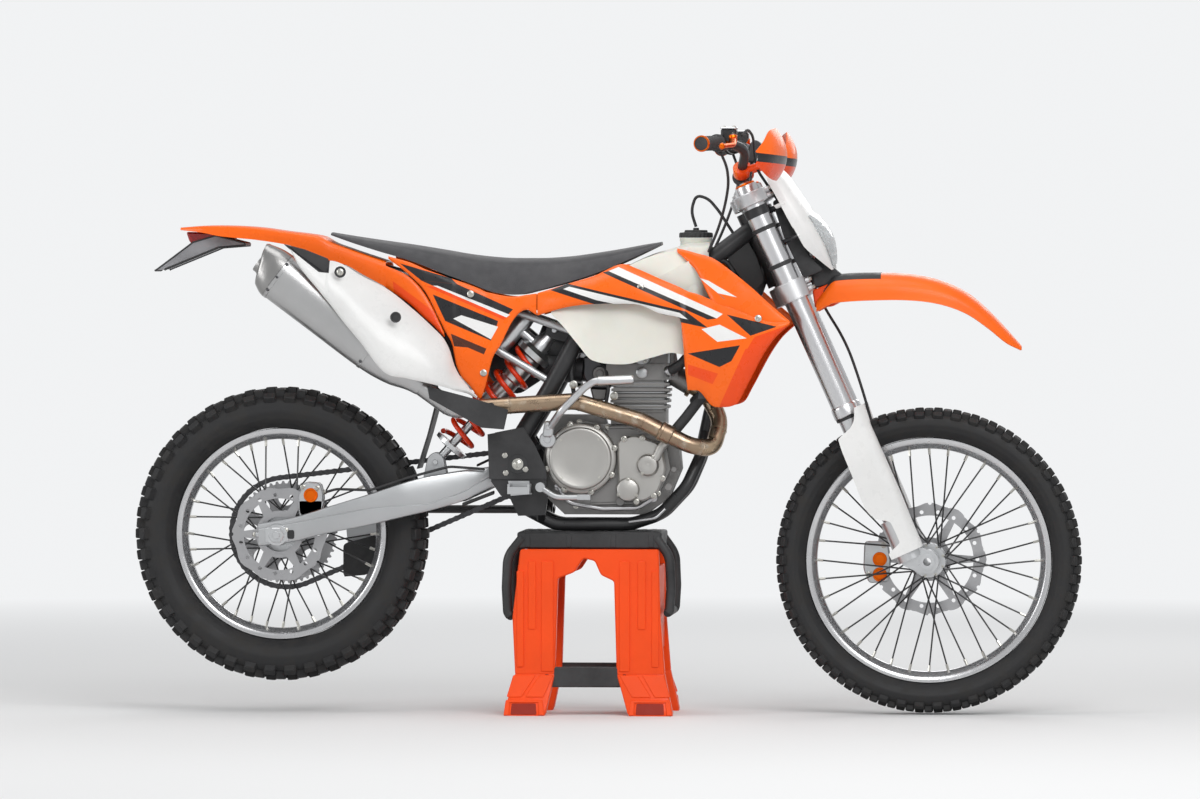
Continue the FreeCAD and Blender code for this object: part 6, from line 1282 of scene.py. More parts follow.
def head_castings():
    """The head's bosses, inlet stub, covers, water outlet and bolts, and the cylinder's fins."""
    lean = np.array([0.08, 0.0, 0.997])
    base = np.array([48.0, 0.0, 668.0])
    forms = [bar((x, y, 800), (x, y, 846), 7.0, bevel=2.0) for x, y in HEAD_SCREWS]
    forms.append(turned((-46, 0, 810), INLET_WAY, [(0, 29), (4, 31), (9, 31), (12, 27), (40, 27), (44, 32),
                                                   (52, 32), (56, 27)], 40))
    forms.append(plate([(-2, 846), (116, 846), (108, 862), (14, 862)], 6, -40, 40, 3))
    forms.append(turned((58, -62, 818), RIGHT, [(0, 20), (6, 20), (8, 18), (8, 0)], 40))
    forms.append(turned((58, -56, 780), RIGHT, [(0, 13), (12, 13), (14, 10), (14, 0)], 32))
    forms.append(bar((118, -58, 782), (118, -74, 782), 9.0, bevel=2.0))
    for level in range(9):
        middle = base + lean * (30.0 + level * 7.4)
        corners = rounded([(-64, -60), (64, -60), (64, 60), (-64, 60)], 14, 4)
        ring = [np.column_stack([corners[:, 0] * grow + middle[0], corners[:, 1] * grow,
                                 np.full(len(corners), z)])
                for grow, z in ((0.985, middle[2] - 1.4), (1.0, middle[2] - 0.7), (1.0, middle[2] + 0.7),
                                (0.985, middle[2] + 1.4))]
        item = grid(np.array(ring), close_v=True)
        count = len(corners)
        forms.append(form(item[0], item[1], item[2], [range(count), range(3 * count, 4 * count)]))
    piece("head_details", "bike", forms, ARM_METAL, slot="arm_silver", sharp=35)
    bolts = [hex_head((x, y, 846), UP, 9.0) for x, y in HEAD_SCREWS]
    bolts.append(ring_of_bolts((58, -70, 818), RIGHT, 14.0, 3, 6.0))
    for side in (-1, 1):
        stud = PORT_END + PORT_WAY * 9.0 + SIDE * side * 24.0
        bolts.append(hex_head(stud, PORT_WAY, 9.0))
    bolts_of("head_bolts", "bike", bolts)


def engine_hoses():
    """The water hoses, breather and vent hoses and the intake's sleeve, with their clamps."""
    hoses = [pipe([(128, -98, 640), (160, -96, 678), (186, -98, 712), (206, -98, 736)], 40, 12.0, 20),
             pipe([(118, -74, 782), (150, -92, 800), (196, -98, 860), (224, -98, 940)], 60, 11.0, 20),
             pipe([(206, 98, 738), (176, 60, 716), (176, -60, 716), (204, -96, 738)], 40, 10.0, 20),
             pipe([(60, 40, 846), (70, 46, 884), (40, 44, 902), (-20, 40, 890)], 30, 4.0, 12),
             pipe([(-70, -22, 830), (-96, -60, 830), (-104, -72, 780), (-92, -80, 700)], 40, 5.0, 12),
             pipe([(-40, -34, 806), (-24, -58, 790), (-18, -70, 740), (-30, -76, 676)], 30, 4.0, 12),
             turned((-60, 0, 815), INLET_WAY, [(40, 27), (42, 36), (70, 38), (110, 40), (130, 40)], 40)]
    piece("engine_hoses", "bike", hoses, RUBBER, slot="grip_rubber", sharp=50)
    band = [(-5, 12.6), (-4, 13.4), (4, 13.4), (5, 12.6)]
    ends = (((131, -97.8, 644), (32, 2, 38)), ((202, -98, 732), (20, 0, 26)),
            ((121, -76, 783), (32, -18, 18)), ((223, -98, 936), (28, 0, 80)))
    clamps = [turned(place, way, band, 24) for place, way in ends]
    clamps.append(turned((-60, 0, 815), INLET_WAY, [(44, 36), (45, 37.5), (53, 38), (54, 36.5)], 40))
    piece("hose_clamps", "bike", clamps, STEEL, slot="steel")


def weld(path, index, radius):
    """A raised weld bead round a pipe at one of its path's points."""
    way = path[index + 1] - path[index - 1]
    return turned(path[index], way, [(-2.0, radius - 0.6), (-0.9, radius + 0.9), (0.9, radius + 0.9),
                                     (2.0, radius - 0.6)], 40)


def exhaust():
    """The header with its welds, slip joint, flange and springs."""
    path = bent(HEADER_POINTS, 70.0, 12)
    joint_a = HEADER_POINTS[4] + (HEADER_POINTS[5] - HEADER_POINTS[4]) * 0.38
    joint_b = HEADER_POINTS[4] + (HEADER_POINTS[5] - HEADER_POINTS[4]) * 0.56
    forms = [tube(path, HEADER_R, 36)]
    forms += [weld(path, index, HEADER_R) for index in (13, 24, 36, 49, 61, 73)]
    slip = [(-3, 19), (-1, 21.6), (0, 22), (20, 22), (21, 23.2), (26, 23.2), (27, 22), (29, 21), (30, 19)]
    forms.append(turned(joint_a, joint_b - joint_a, slip, 40))
    forms.append(turned(PORT_END + PORT_WAY * 0.3, PORT_WAY,
                        [(0, 22), (0, 27), (1, 28), (8, 28), (9, 27), (9, 20)], 40))
    piece("header_pipe", "bike", forms, HEADER_METAL, slot="header_bronze", replaces=("exhaust_header",),
          sharp=50)
    turn = np.linspace(0.0, 2.0 * math.pi * 9, 160)
    springs = []
    for side in (-1, 1):
        start = PORT_END + PORT_WAY * 10.0 + SIDE * side * 25.0
        one, two = axes_about(PORT_WAY)
        ring = np.outer(np.cos(turn), one) + np.outer(np.sin(turn), two)
        coil = start + np.outer(turn / turn[-1] * 34.0, unit(PORT_WAY)) + 4.0 * ring
        springs.append(tube(coil, 1.0, 6))
    piece("header_springs", "bike", springs, STEEL, slot="steel")


def silencer_net(shares, sizes, samples, columns=56):
    """Rings square to the silencer's line: superellipses of eased height and width at given shares."""
    values = eased(shares, sizes, samples)
    angle = np.linspace(0.0, 2.0 * math.pi, columns, endpoint=False)
    c, s = np.cos(angle), np.sin(angle)
    across = np.sign(c) * np.abs(c) ** 0.75
    sideways = np.sign(s) * np.abs(s) ** 0.75
    return (SILENCER_FRONT + np.outer(samples, SILENCER_LINE)[:, None]
            + (values[:, :1] / 2 * across)[..., None] * SILENCER_RISE
            + (values[:, 1:2] / 2 * sideways)[..., None] * SIDE)


def silencer_sleeve():
    """The silencer's tapered oval sleeve with its two straps, and the link pipe from the header."""
    shares = [0.0, 0.05, 0.14, 0.3, 0.6, 0.9]
    sizes = [(42, 40), (52, 50), (82, 74), (104, 90), (109, 94), (112, 96)]
    body = silencer_net(shares, sizes, np.concatenate([np.linspace(0, 0.3, 24), np.linspace(0.34, 0.9, 14)]))
    forms = [grid(body, close_v=True, caps=True)]
    for share, size in ((0.30, (107, 93)), (0.878, (114.5, 98.5))):
        band = silencer_net([0, 1], [size, size], share + np.array([0.0, 0.001, 0.017, 0.018]))
        band[[0, -1]] = band[[0, -1]] * 0.97 + band[[0, -1]].mean(axis=1, keepdims=True) * 0.03
        forms.append(grid(band, close_v=True))
    end = HEADER_POINTS[-1]
    way = unit(HEADER_POINTS[-1] - HEADER_POINTS[-2])
    centre = SILENCER_FRONT + SILENCER_LINE * 0.05
    link = bent([end + way * 0.3, end + way * 40, centre], 60, 14)
    forms += [tube(link, HEADER_R + 2.0, 36), weld(link, 12, HEADER_R + 2.0)]
    piece("silencer_sleeve", "bike", forms, SILENCER_METAL, slot="silencer_metal", replaces=("silencer",),
          sharp=40)


def silencer_end():
    """The end cap, sheared upright along the line, with its outlet and rivets, a black disc in the bore and a
    black ring at the seam, both painted shade.
    """
    cap = silencer_net([0.9, 0.93, 0.96, 0.985, 1.0, 1.004],
                       [(115, 99), (112, 97), (104, 91), (95, 84), (87, 76), (60, 52)],
                       np.array([0.898, 0.9, 0.915, 0.93, 0.945, 0.96, 0.972, 0.985, 0.993, 1.0, 1.004]))
    line = SILENCER_LINE
    lift = (cap - cap.mean(axis=1, keepdims=True)) @ SILENCER_RISE
    rows = np.linspace(0.0, 1.0, len(cap))[:, None]
    cap = cap + (0.42 * rows * lift)[..., None] * unit(line)
    start = SILENCER_FRONT + line * 0.94
    outlet = turned(start, line, [(0, 19.5), (4, 18), (33, 18.5), (35, 20), (35, 23), (33, 24.4), (26, 24.4),
                                  (20, 27)], 40)
    piece("silencer_end", "bike", [grid(cap, close_v=True), outlet], CAP_METAL, slot="silencer_metal",
          replaces=("silencer_cap",), sharp=40)
    # A black disc set inside the outlet: painted shade of the pipe's inside.
    plug = turned(start, line, [(8, 18.4), (8, 0)], 32)
    piece("silencer_bore", "bike", plug, BLACK_METAL, slot="frame_black")
    # A thin black ring between the sleeve's strap and the cap: painted shade in the gap of the seam.
    seam = silencer_net([0, 1], [(113.4, 97.4)] * 2, np.array([0.8, 0.897, 0.9015, 0.902]))[1:3]
    piece("silencer_seam", "bike", grid(seam, close_v=True), BLACK_METAL, slot="frame_black", sharp=50)
    rivets = []
    for share in (0.887, 0.31):
        for lift, y in ((36, -44), (0, -48), (-36, -44), (36, 44), (0, 48), (-36, 44)):
            narrower = 1.0 if share > 0.5 else 0.93
            place = SILENCER_FRONT + line * (share + 0.001) + SILENCER_RISE * lift + SIDE * y * narrower
            rivets.append(turned(place, (0, y, 0), [(0, 4.0), (1.2, 3.4), (1.9, 1.6), (2.0, 0)], 12))
    piece("silencer_rivets", "bike", rivets, DARK_STEEL, slot="steel")


def calliper_body(outline, faces, bridge, pistons, piston_face):
    """A brake calliper: a cheek each side of the disc, a bridge past its edge, and piston covers."""
    forms = [plate(outline, 8, low, high, 2.5) for low, high in faces]
    forms.append(plate(bridge, 5, faces[0][0] + 3, faces[1][1] - 3, 2.0))
    cap = [(-3, 16.5), (2.2, 16.5), (3.2, 15.5), (3.4, 12), (2.2, 11), (2.2, 0)]
    return merged(forms), merged([turned((x, piston_face, z), RIGHT, cap, 36) for x, z in pistons])


def front_brake():
    """The front calliper, with orange piston covers and bolts."""
    outline = [(562, 393), (615, 393), (622, 345), (616, 300), (572, 297), (559, 330)]
    bridge = [(559, 330), (576, 312), (572, 380), (561, 386)]
    faces = [(45.5, 58.5), (65.5, 86.5)]
    body, caps = calliper_body(outline, faces, bridge, [(597, 352), (597, 317)], 45.5)
    piece("front_calliper_body", "steering", body, BARE_METAL, slot="steel", replaces=("front_calliper",),
          sharp=35)
    piece("front_calliper_pistons", "steering", caps, ORANGE_METAL, sharp=35)
    bolts = [hex_head((606, 86.5, 380), SIDE, 10), hex_head((600, 86.5, 312), SIDE, 9),
             hex_head((606, 45.5, 384), RIGHT, 9), hex_head((571, 45.5, 318), RIGHT, 8)]
    bolts_of("front_calliper_bolts", "steering", bolts)


def rear_shock():
    """The shock's coil as a smooth helix, with the body, seats, reservoir and eyes as turned forms."""
    low, high = np.array([-416.0, -30.0, 575.0]), np.array([-143.0, -30.0, 877.0])
    way = high - low
    normal = unit((-way[2], 0.0, way[0]))
    length = np.linalg.norm(way)
    turns = 7.0
    start, end = 0.14 * length + 6.3, 0.80 * length - 6.3
    angle = np.linspace(0.0, 2.0 * math.pi * turns, 340)
    rise = start + (end - start) * angle / angle[-1]
    line = unit(way)
    coil = low + np.outer(rise, line) + 36.0 * (np.outer(np.cos(angle), normal)
                                                + np.outer(np.sin(angle), SIDE))
    piece("shock_coil", "bike", tube(coil, 6.0, 14), SPRING_PAINT, slot="spring_red",
          replaces=("shock_spring",), sharp=60)

    def along(profile):
        """A profile whose places are shares of the shock's length."""
        return [(length * share, radius) for share, radius in profile]

    body = [(0, 0), (0, 10), (0.36, 10), (0.37, 22), (0.38, 24), (0.62, 24), (0.63, 27), (0.79, 27),
            (0.80, 24), (0.9, 24), (0.92, 20), (1.0, 14)]
    reservoir = [(0.68, 0), (0.68, 17), (0.69, 20), (0.93, 20), (0.94, 18.5), (0.965, 18.5), (0.98, 16),
                 (0.98, 0)]
    neck = low + way * 0.87
    forms = [turned(low, way, along(body), 40),
             turned(low, way, along([(0.105, 20), (0.115, 41), (0.138, 42), (0.139, 26)]), 48),
             turned(low, way, along([(0.801, 26), (0.802, 43), (0.835, 44), (0.84, 40), (0.86, 30)]), 48),
             bar(low - SIDE * 11, low + SIDE * 11, 16.0), bar(high - SIDE * 11, high + SIDE * 11, 17.0),
             bar(low - SIDE * 30, low + SIDE * 30, 6.0), bar(high - SIDE * 30, high + SIDE * 30, 6.0),
             tube(np.array([neck, neck + normal * 34, neck + normal * 64]), 12.0, 24),
             turned(low + normal * 67, way, along(reservoir), 40)]
    piece("shock_unit", "bike", forms, BARE_METAL, slot="shock_body", replaces=("shock",), sharp=35)


def machinery():
    """The engine's covers and fittings, the exhaust, the front brake and the shock."""
    case_castings()
    head_castings()
    engine_hoses()
    exhaust()
    silencer_sleeve()
    silencer_end()
    front_brake()
    rear_shock()


# Fork, controls, filler cap, swingarm, stand and frame details

CAP_RIDGES = 24
BAR_WAY = unit(BAR_INNER - BAR_END)
CONTROL_CLAMP = BAR_END + BAR_WAY * 152.0
CONTROL_AHEAD = np.array([0.93, 0.0, 0.1])
RESERVOIR = CONTROL_CLAMP + CONTROL_AHEAD * 16 + BAR_WAY * 8
LEVER_PIVOT = CONTROL_CLAMP + CONTROL_AHEAD * 34 - BAR_WAY * 22 + UP * 6


def on_fork(item, up, across):
    """A form moved to the fork: X runs ahead of it, and the numbers say which axes run up it and across."""
    verts, quads, tris, rims = item
    moved = LOWER_CLAMP + np.outer(verts[:, up], FORK_UP) + np.outer(verts[:, 0], FORK_AHEAD)
    return moved + np.outer(verts[:, across], SIDE), quads, tris, rims


def moved_by(item, shift):
    """A form moved as it is."""
    return (item[0] + shift,) + item[1:]


def laid_flat(item):
    """A form with its Y and Z exchanged, so that a plate across the bike lies flat."""
    return (item[0][:, [0, 2, 1]],) + item[1:]


def clamp_form(up, height, front):
    """A fork clamp: a waisted bridge with rings round both legs and the stem, and screw bosses."""
    low, high = up - height / 2, up + height / 2
    half = [(-46, 0), (-44, 24), (-30, 58), (-36, 96), (-30, 128), (0, 142), (30, 130), (37, 100),
            (front - 4, 60), (front - 8, 0)]
    outline = rounded(half[:-1] + [(front - 10, 30), (front - 10, -30)]
                      + [(x, -y) for x, y in reversed(half[1:-1])], 12)
    forms = [on_fork(slab(outline, low + 5, high - 5, 3.0), 1, 2)]
    for side in (-1, 1):
        middle = fork_point(low, 0, side * FORK_Y)
        forms.append(turned(middle, FORK_UP, [(0, 28), (0, 35), (2.5, 37.5), (height - 2.5, 37.5),
                                              (height, 35), (height, 28)], 56))
        for share in (0.28, 0.72):
            start, end = (fork_point(low + height * share, ahead, side * (FORK_Y - 36))
                          for ahead in (30, 46))
            forms.append(bar(start, end, 7.0, bevel=1.5))
    forms.append(turned(fork_point(low, -CLAMP_OFFSET, 0), FORK_UP,
                        [(0, 12), (0, 29), (2, 31), (height - 2, 31), (height, 29), (height, 12)], 48))
    return merged(forms)


def fork():
    """The fork: turned upper tubes with a seal lip, black collars and orange caps, and both clamps."""
    profile = [(-311, 24.6), (-311, 28.5), (-309, 30), (-290, 30), (-286, 29), (-284, 27.2), (-60, 27.2),
               (-40, 27), (200, 27), (258, 27), (262, 25.5), (262, 12), (262, 0)]
    tubes = both_sides(turned(fork_point(0, 0, FORK_Y), FORK_UP, profile, 72))
    piece("fork_upper_tubes", "steering", tubes, FORK_METAL, slot="fork_silver",
          replaces=("fork_outer_tubes",), sharp=35)
    collars = [turned(fork_point(0, 0, FORK_Y), FORK_UP,
                      [(186, 27.0), (186.5, 28.6), (207, 28.6), (207.5, 27.0)], 56),
               turned(fork_point(0, 0, FORK_Y), FORK_UP,
                      [(-318, 24.4), (-318, 27.5), (-312, 28.6), (-311, 26)], 56)]
    piece("fork_collars", "steering", both_sides(collars), BLACK_METAL, slot="frame_black")
    clamps = merged([clamp_form(CLAMP_SPACING, 30.0, 34.0), clamp_form(0.0, 44.0, 34.0)])
    piece("fork_clamps", "steering", clamps, CLAMP_METAL, slot="clamp_silver", replaces=("upper_clamp",),
          sharp=35)
    caps = turned(fork_point(262, 0, FORK_Y), FORK_UP, [(0, 23), (3, 23), (5, 21), (5, 14), (4, 13)], 48)
    piece("fork_caps", "steering", both_sides(caps), ORANGE_METAL)


def control_bodies():
    """The perches' clamps, reservoirs with their lids and switch pods at both ends of the bar."""
    clamp_at, ahead, way = CONTROL_CLAMP, CONTROL_AHEAD, BAR_WAY
    pod = plate([(-15, -16), (15, -16), (17, 10), (-13, 14)], 6, -14.0, 14.0, 4.0)
    pot = laid_flat(plate([(-18, -25), (18, -25), (18, 25), (-18, 25)], 7, 12.0, 28.0, 2.0))
    dark = [turned(clamp_at, way, [(-10, 11.5), (-10, 17), (-8, 19), (8, 19), (10, 17), (10, 11.5)], 40),
            tube(np.array([clamp_at + ahead * 16 + way * 34 + UP * 12,
                           clamp_at + ahead * 26 - way * 28 + UP * 12]), 11.0, 28),
            moved_by(pot, RESERVOIR), moved_by(pod, BAR_END + way * 194.0)]
    piece("control_bodies", "steering", both_sides(dark), BLACK_METAL, slot="control_black",
          replaces=("controls",), sharp=35)
    lid = laid_flat(plate([(-19, -26), (19, -26), (19, 26), (-19, 26)], 7, 28.5, 33.5, 1.5))
    piece("reservoir_lids", "steering", both_sides(moved_by(lid, RESERVOIR)), BARE_METAL, slot="steel",
          sharp=35)


def hand_levers():
    """The tapered levers with ball ends, their pivots and screws, and rings at the grips' ends."""
    clamp_at, ahead, way = CONTROL_CLAMP, CONTROL_AHEAD, BAR_WAY
    middle, tip = BAR_END + way * 90 + np.array([46.0, 0, -4]), BAR_END + way * 14 + np.array([42.0, 0, -6])
    lever = bent([LEVER_PIVOT, middle, tip], 60, 16)
    share = np.linspace(0, 1, len(lever))
    ball = [(-7, 0), (-6.5, 4.2), (-4, 6.6), (0, 7.6), (4, 6.6), (6.5, 4.2), (7, 0)]
    levers = [tube(lever, 7.2 - 2.0 * share, 20), turned(tip, tip - middle, ball, 24),
              turned(LEVER_PIVOT, UP, [(-9, 0), (-9, 9), (-7.5, 10), (7.5, 10), (9, 9), (9, 0)], 32),
              bar(clamp_at + ahead * 8, LEVER_PIVOT, 7.5)]
    piece("hand_levers", "steering", both_sides(levers), ORANGE_METAL, sharp=35)
    screws = [hex_head(RESERVOIR + np.array([x, y, 33.5]), UP, 6, 3) for x, y in ((-12, -19), (12, 19))]
    screws += [hex_head(LEVER_PIVOT + UP * 9, UP, 9, 4), hex_head(clamp_at - ahead * 19, -ahead, 8, 5)]
    bolts_of("control_screws", "steering", both_sides(screws))
    section = [(-3.2, 15.4), (-3.2, 17.4), (-1, 18.6), (3, 18.6), (3, 15.4)]
    ring = turned(BAR_END, way, section, 40, closed=True)
    piece("grip_end_rings", "steering", both_sides(ring), ORANGE_METAL)


def tank_filler():
    """The filler cap: a disc whose radius swells and dips by a cosine 24 times round, with a stepped top."""
    count = 8 * CAP_RIDGES
    angle = np.linspace(0, 2 * math.pi, count, endpoint=False)
    rings = []
    for height, radius, ripple in ((0.5, 38.0, 0.0), (1.0, 38.8, 0.6), (9.5, 38.8, 0.6), (12.0, 36.8, 0.3),
                                   (13.0, 27.0, 0), (17.0, 26.0, 0), (18.0, 24.0, 0), (18.0, 7.0, 0),
                                   (22.5, 6.6, 0), (23.0, 5.4, 0)):
        reach = radius - ripple + ripple * np.cos(angle * CAP_RIDGES)
        rings.append(np.column_stack([178 + reach * np.cos(angle), reach * np.sin(angle),
                                      np.full(count, 1088 + height)]))
    piece("filler_cap", "bike", grid(np.array(rings), close_v=True, caps=True), BLACK_PLASTIC,
          slot="black_plastic", replaces=("tank_cap",), sharp=40)


def swing_section(x, low, high, inner, outer, crease):
    """One section of an arm: bevelled edges, and a shallow pressed line along its outer face."""
    b = 6.0
    return np.array([(x, inner, low + b), (x, inner + 1.8, low + 1.8), (x, inner + b, low),
                     (x, outer - b, low), (x, outer - 1.8, low + 1.8), (x, outer, low + b),
                     (x, outer + 1.2, crease - 2.4), (x, outer - 1.2, crease),
                     (x, outer - 0.4, crease + 2.4), (x, outer, high - b), (x, outer - 1.8, high - 1.8),
                     (x, outer - b, high), (x, inner + b, high), (x, inner + 1.8, high - 1.8),
                     (x, inner, high - b)])


def rear_arm():
    """The swingarm: two deep arms with a pressed line, cross piece, pivot tube, shock eyes and adjusters."""
    stations = np.array([(-223, 550, 594, 44, 69, 572), (-300, 508, 562, 44, 72, 538),
                         (-350, 486, 556, 52, 88, 508), (-430, 464, 544, 78, 110, 481),
                         (-487, 450, 529, 91, 121, 478), (-563, 432, 503, 97, 124, 472),
                         (-677, 410, 468, 97, 124, 449), (-734, 394, 450, 97, 124, 437),
                         (-815, 384, 436, 97, 124, 424)], float)
    x = np.linspace(-223, -815, 90)
    values = [np.interp(-x, -stations[:, 0], stations[:, column]) for column in range(1, 6)]
    kernel = np.ones(5) / 5
    values = [np.concatenate([v[:2], np.convolve(v, kernel, mode="valid"), v[-2:]]) for v in values]
    sections = np.array([swing_section(x[i], *(v[i] for v in values)) for i in range(len(x))])
    forms = [both_sides(grid(sections, close_v=True, caps=True)),
             plate([(-424, 486), (-340, 486), (-340, 540), (-424, 540)], 10, -80, 80, 3),
             bar(PIVOT - SIDE * 92, PIVOT + SIDE * 92, 25.0, bevel=3.0)]
    eye = [(-446, 530), (-386, 530), (-398, 588), (-416, 600), (-434, 588)]
    forms += [plate(eye, 9, y, y + 8, 1.5) for y in (-50.0, -18.0)]
    piece("rear_arm", "bike", forms, ARM_METAL, slot="arm_silver", replaces=("swingarm",), sharp=28)
    blocks = [plate([(-800, 392), (-746, 394), (-746, 428), (-800, 426)], 6, 124.3, 127, 1.0),
              bar((-815, 110, 410), (-824, 110, 410), 6.0, bevel=1.0)]
    piece("chain_adjusters", "bike", both_sides(blocks), BARE_METAL, slot="steel", sharp=35)
    screws = [hex_head((-824, 110, 410), (-1, 0, 0), 10, 6), hex_head((-752, 127, 421), SIDE, 7, 3)]
    bolts_of("adjuster_bolts", "bike", both_sides(screws))
    slider = [plate([(-352, 483), (-280, 511), (-280, 502), (-352, 474)], 3, -86, -52, 2.0),
              plate([(-330, 562), (-262, 594), (-262, 600), (-330, 568)], 2, 46, 88, 2.0)]
    piece("arm_sliders", "bike", slider, BLACK_PLASTIC, slot="black_plastic", sharp=35)


def stand_leg(top, foot):
    """One leg of the stand: rounded rectangles lofted straight from the wall down to a wider foot.

    The top and the foot are each the leg's first and last X.
    """
    rings = []
    for share in np.linspace(0.0, 1.0, 14):
        x0, x1 = (a + (b - a) * share for a, b in zip(top, foot))
        y0, y1 = STAND_INNER + 10 * share, STAND_FACE + 28 * share
        lift = 2.0 if share == 1.0 else 0.0
        corners = rounded([(x0 + lift, y0 + lift), (x1 - lift, y0 + lift), (x1 - lift, y1 - lift),
                           (x0 + lift, y1 - lift)], 5, 4)
        rings.append(np.column_stack([corners, np.full(len(corners), 94 * (1 - share))]))
    return grid(np.array(rings), close_v=True, caps=True)


def stand():
    """The stand: two arched walls with rounded edges, splayed legs, end webs, and the ribs on its top."""
    outline = [(-228, 92), (-234, 222), (-216, 378.4), (100, 378.4), (104, 220), (114, 92), (4, 92),
               (-2, 306), (-32, 320), (-46, 352), (-72, 358), (-93, 326), (-130, 312), (-137, 92)]
    wall = plate(outline, 6, STAND_INNER, STAND_FACE, 3.0)
    legs = merged([wall, stand_leg((-228, -137), (-254, -158)), stand_leg((4, 114), (32, 134))])
    webs = merged([slab([(x0, 150), (x1, 150), (x1, 340), (x0, 340)], -STAND_INNER, STAND_INNER, 1.0)
                   for x0, x1 in ((-224, -200), (78, 100))])
    piece("stand_body", "bike", [both_sides(legs), webs], STAND_PLASTIC, slot="stand_orange",
          replaces=("stand_frame",), sharp=35)
    pads = [slab(rounded([(x, 416.9), (x + 12, 416.9), (x + 12, 418.6), (x, 418.6)], 0.6, 2), -104, 104, 0.3)
            for x in range(-216, 92, 22)]
    piece("stand_top_ribs", "bike", pads, BLACK_PLASTIC, slot="black_plastic", sharp=35)


def frame_details():
    """The swingarm pivot's covers and bolts, and the gussets and wiring behind the fork."""
    cap = [(-1, 24), (3, 24), (5, 22), (5, 13), (3.5, 12), (3.5, 0)]
    caps = turned(PIVOT + RIGHT * 104.0, RIGHT, cap, 48)
    piece("pivot_covers", "bike", both_sides(caps), BLACK_METAL, slot="frame_black", sharp=35)
    bolts_of("pivot_bolts", "bike", both_sides(hex_head(PIVOT + RIGHT * 107.5, RIGHT, 17, 6)))
    gusset = rounded([(244, 1050), (292, 1092), (318, 1046), (336, 992), (312, 960), (278, 1000)], 10)
    plates = [slab(gusset, y, y + 3.0, 1.0) for y in (-23.0, 20.0)]
    looms = [pipe([(204, y, 1020), (244, y * 1.2, 1042), (270, y * 1.1, 1004), (262, y, 930)], 60, 5.0, 12)
             for y in (-30.0, 31.0)]
    coil = plate([(240, 968), (286, 968), (290, 1006), (246, 1010)], 6, -16, 16, 3.0)
    piece("head_gussets", "bike", plates, BLACK_METAL, slot="frame_black", sharp=35)
    piece("wiring", "bike", looms + [coil], RUBBER, slot="grip_rubber", sharp=40)


def running_gear():
    """The fork, hand controls, filler cap, swingarm, stand and frame details."""
    fork()
    control_bodies()
    hand_levers()
    tank_filler()
    rear_arm()
    stand()
    frame_details()


# Rear brake, chain guide, the stand's relief and the lamp's housing

STAND_FEET = ((-252, -159), (33, 132))
KNEE_HEIGHT = 92.0
FOOT_SPLAY = 28.0


def rear_brake():
    """The rear calliper with its piston cover, bracket and hose, the axle nut and washers."""
    outline = [(-726, 458), (-704, 438), (-674, 438), (-669, 500), (-676, 528), (-712, 531), (-727, 500)]
    bridge = [(-712, 506), (-676, 494), (-676, 526), (-710, 529)]
    faces = [(-96.5, -75.5), (-64.5, -53.5)]
    body, caps = calliper_body(outline, faces, bridge, [(-698, 500)], -95.0)
    bracket = plate([(-728, 488), (-668, 488), (-676, 436), (-722, 436)], 8, -96.5, -86.0, 1.5)
    carrier = plate([(-790, 430), (-756, 430), (-722, 452), (-684, 440), (-684, 424), (-745, 392),
                     (-790, 392)], 8, -96.2, -89.0, 1.5)
    piece("rear_calliper_body", "bike", [body, bracket, carrier], BARE_METAL, slot="steel",
          replaces=("rear_calliper",), sharp=35)
    piece("rear_calliper_piston", "bike", caps, ORANGE_METAL, sharp=35)
    bolts = [hex_head((-684, -96.5, 515), RIGHT, 9), hex_head((-716, -96.5, 518), RIGHT, 8),
             hex_head((-684, -96.5, 455), RIGHT, 9), hex_head((-670, -76, 506), ALONG, 9)]
    bolts_of("rear_calliper_bolts", "bike", bolts)
    hose = pipe([(-668, -76, 506), (-640, -86, 514), (-560, -110, 512), (-470, -112, 542), (-380, -96, 566),
                 (-300, -84, 560)], 60, 3.0, 12)
    piece("rear_brake_line", "bike", hose, RUBBER, slot="grip_rubber", sharp=60)
    washer = [(0, 9), (0, 23), (2.0, 24), (3.5, 24), (4, 22), (4, 9)]
    nut = [turned(REAR_AXLE + RIGHT * 127.4, RIGHT, washer, 48),
           turned(REAR_AXLE + RIGHT * 131, RIGHT, [(0, 19), (9, 19.5), (11, 17), (11, 9)], 6),
           turned(REAR_AXLE + RIGHT * 131, RIGHT, [(9, 9.5), (14, 9), (15, 8), (15, 0)], 32)]
    piece("rear_axle_nut", "bike", nut + [flipped_side(item) for item in nut[:2]], BARE_METAL, slot="steel",
          sharp=35)
    slots = plate([(-749, 401), (-733, 401), (-733, 421), (-749, 421)], 5, 123.9, 127.3, 0.8)
    piece("adjuster_slots", "bike", both_sides(slots), BLACK_METAL, slot="frame_black")


def lower_guide():
    """The chain guide: two cheeks and a wear block under the chain, hung on a bracket below the left arm."""
    outline = rounded([(-640, 384), (-566, 404), (-556, 352), (-560, 326), (-590, 312), (-640, 308)], 10)
    block = [(-638, 316), (-592, 318), (-564, 331), (-560, 326), (-590, 312), (-638, 308)]
    cheeks = [slab(outline, 68.5, 72.5, 1.2), slab(outline, 91.5, 96.0, 1.2), plate(block, 2, 72, 92, 0.5)]
    piece("chain_guide_cheeks", "bike", cheeks, BLACK_PLASTIC, slot="black_plastic", sharp=35)
    hanger = plate([(-636, 420), (-566, 440), (-566, 396), (-632, 378)], 8, 96.5, 100.0, 1.0)
    piece("chain_guide_bracket", "bike", hanger, ARM_METAL, slot="arm_silver", sharp=35)
    heads = [hex_head((x, 100, z), SIDE, 8) for x, z in ((-620, 388), (-578, 402))]
    heads += [hex_head((x, 96, z), SIDE, 7) for x, z in ((-622, 326), (-580, 326))]
    bolts_of("chain_guide_bolts", "bike", heads)


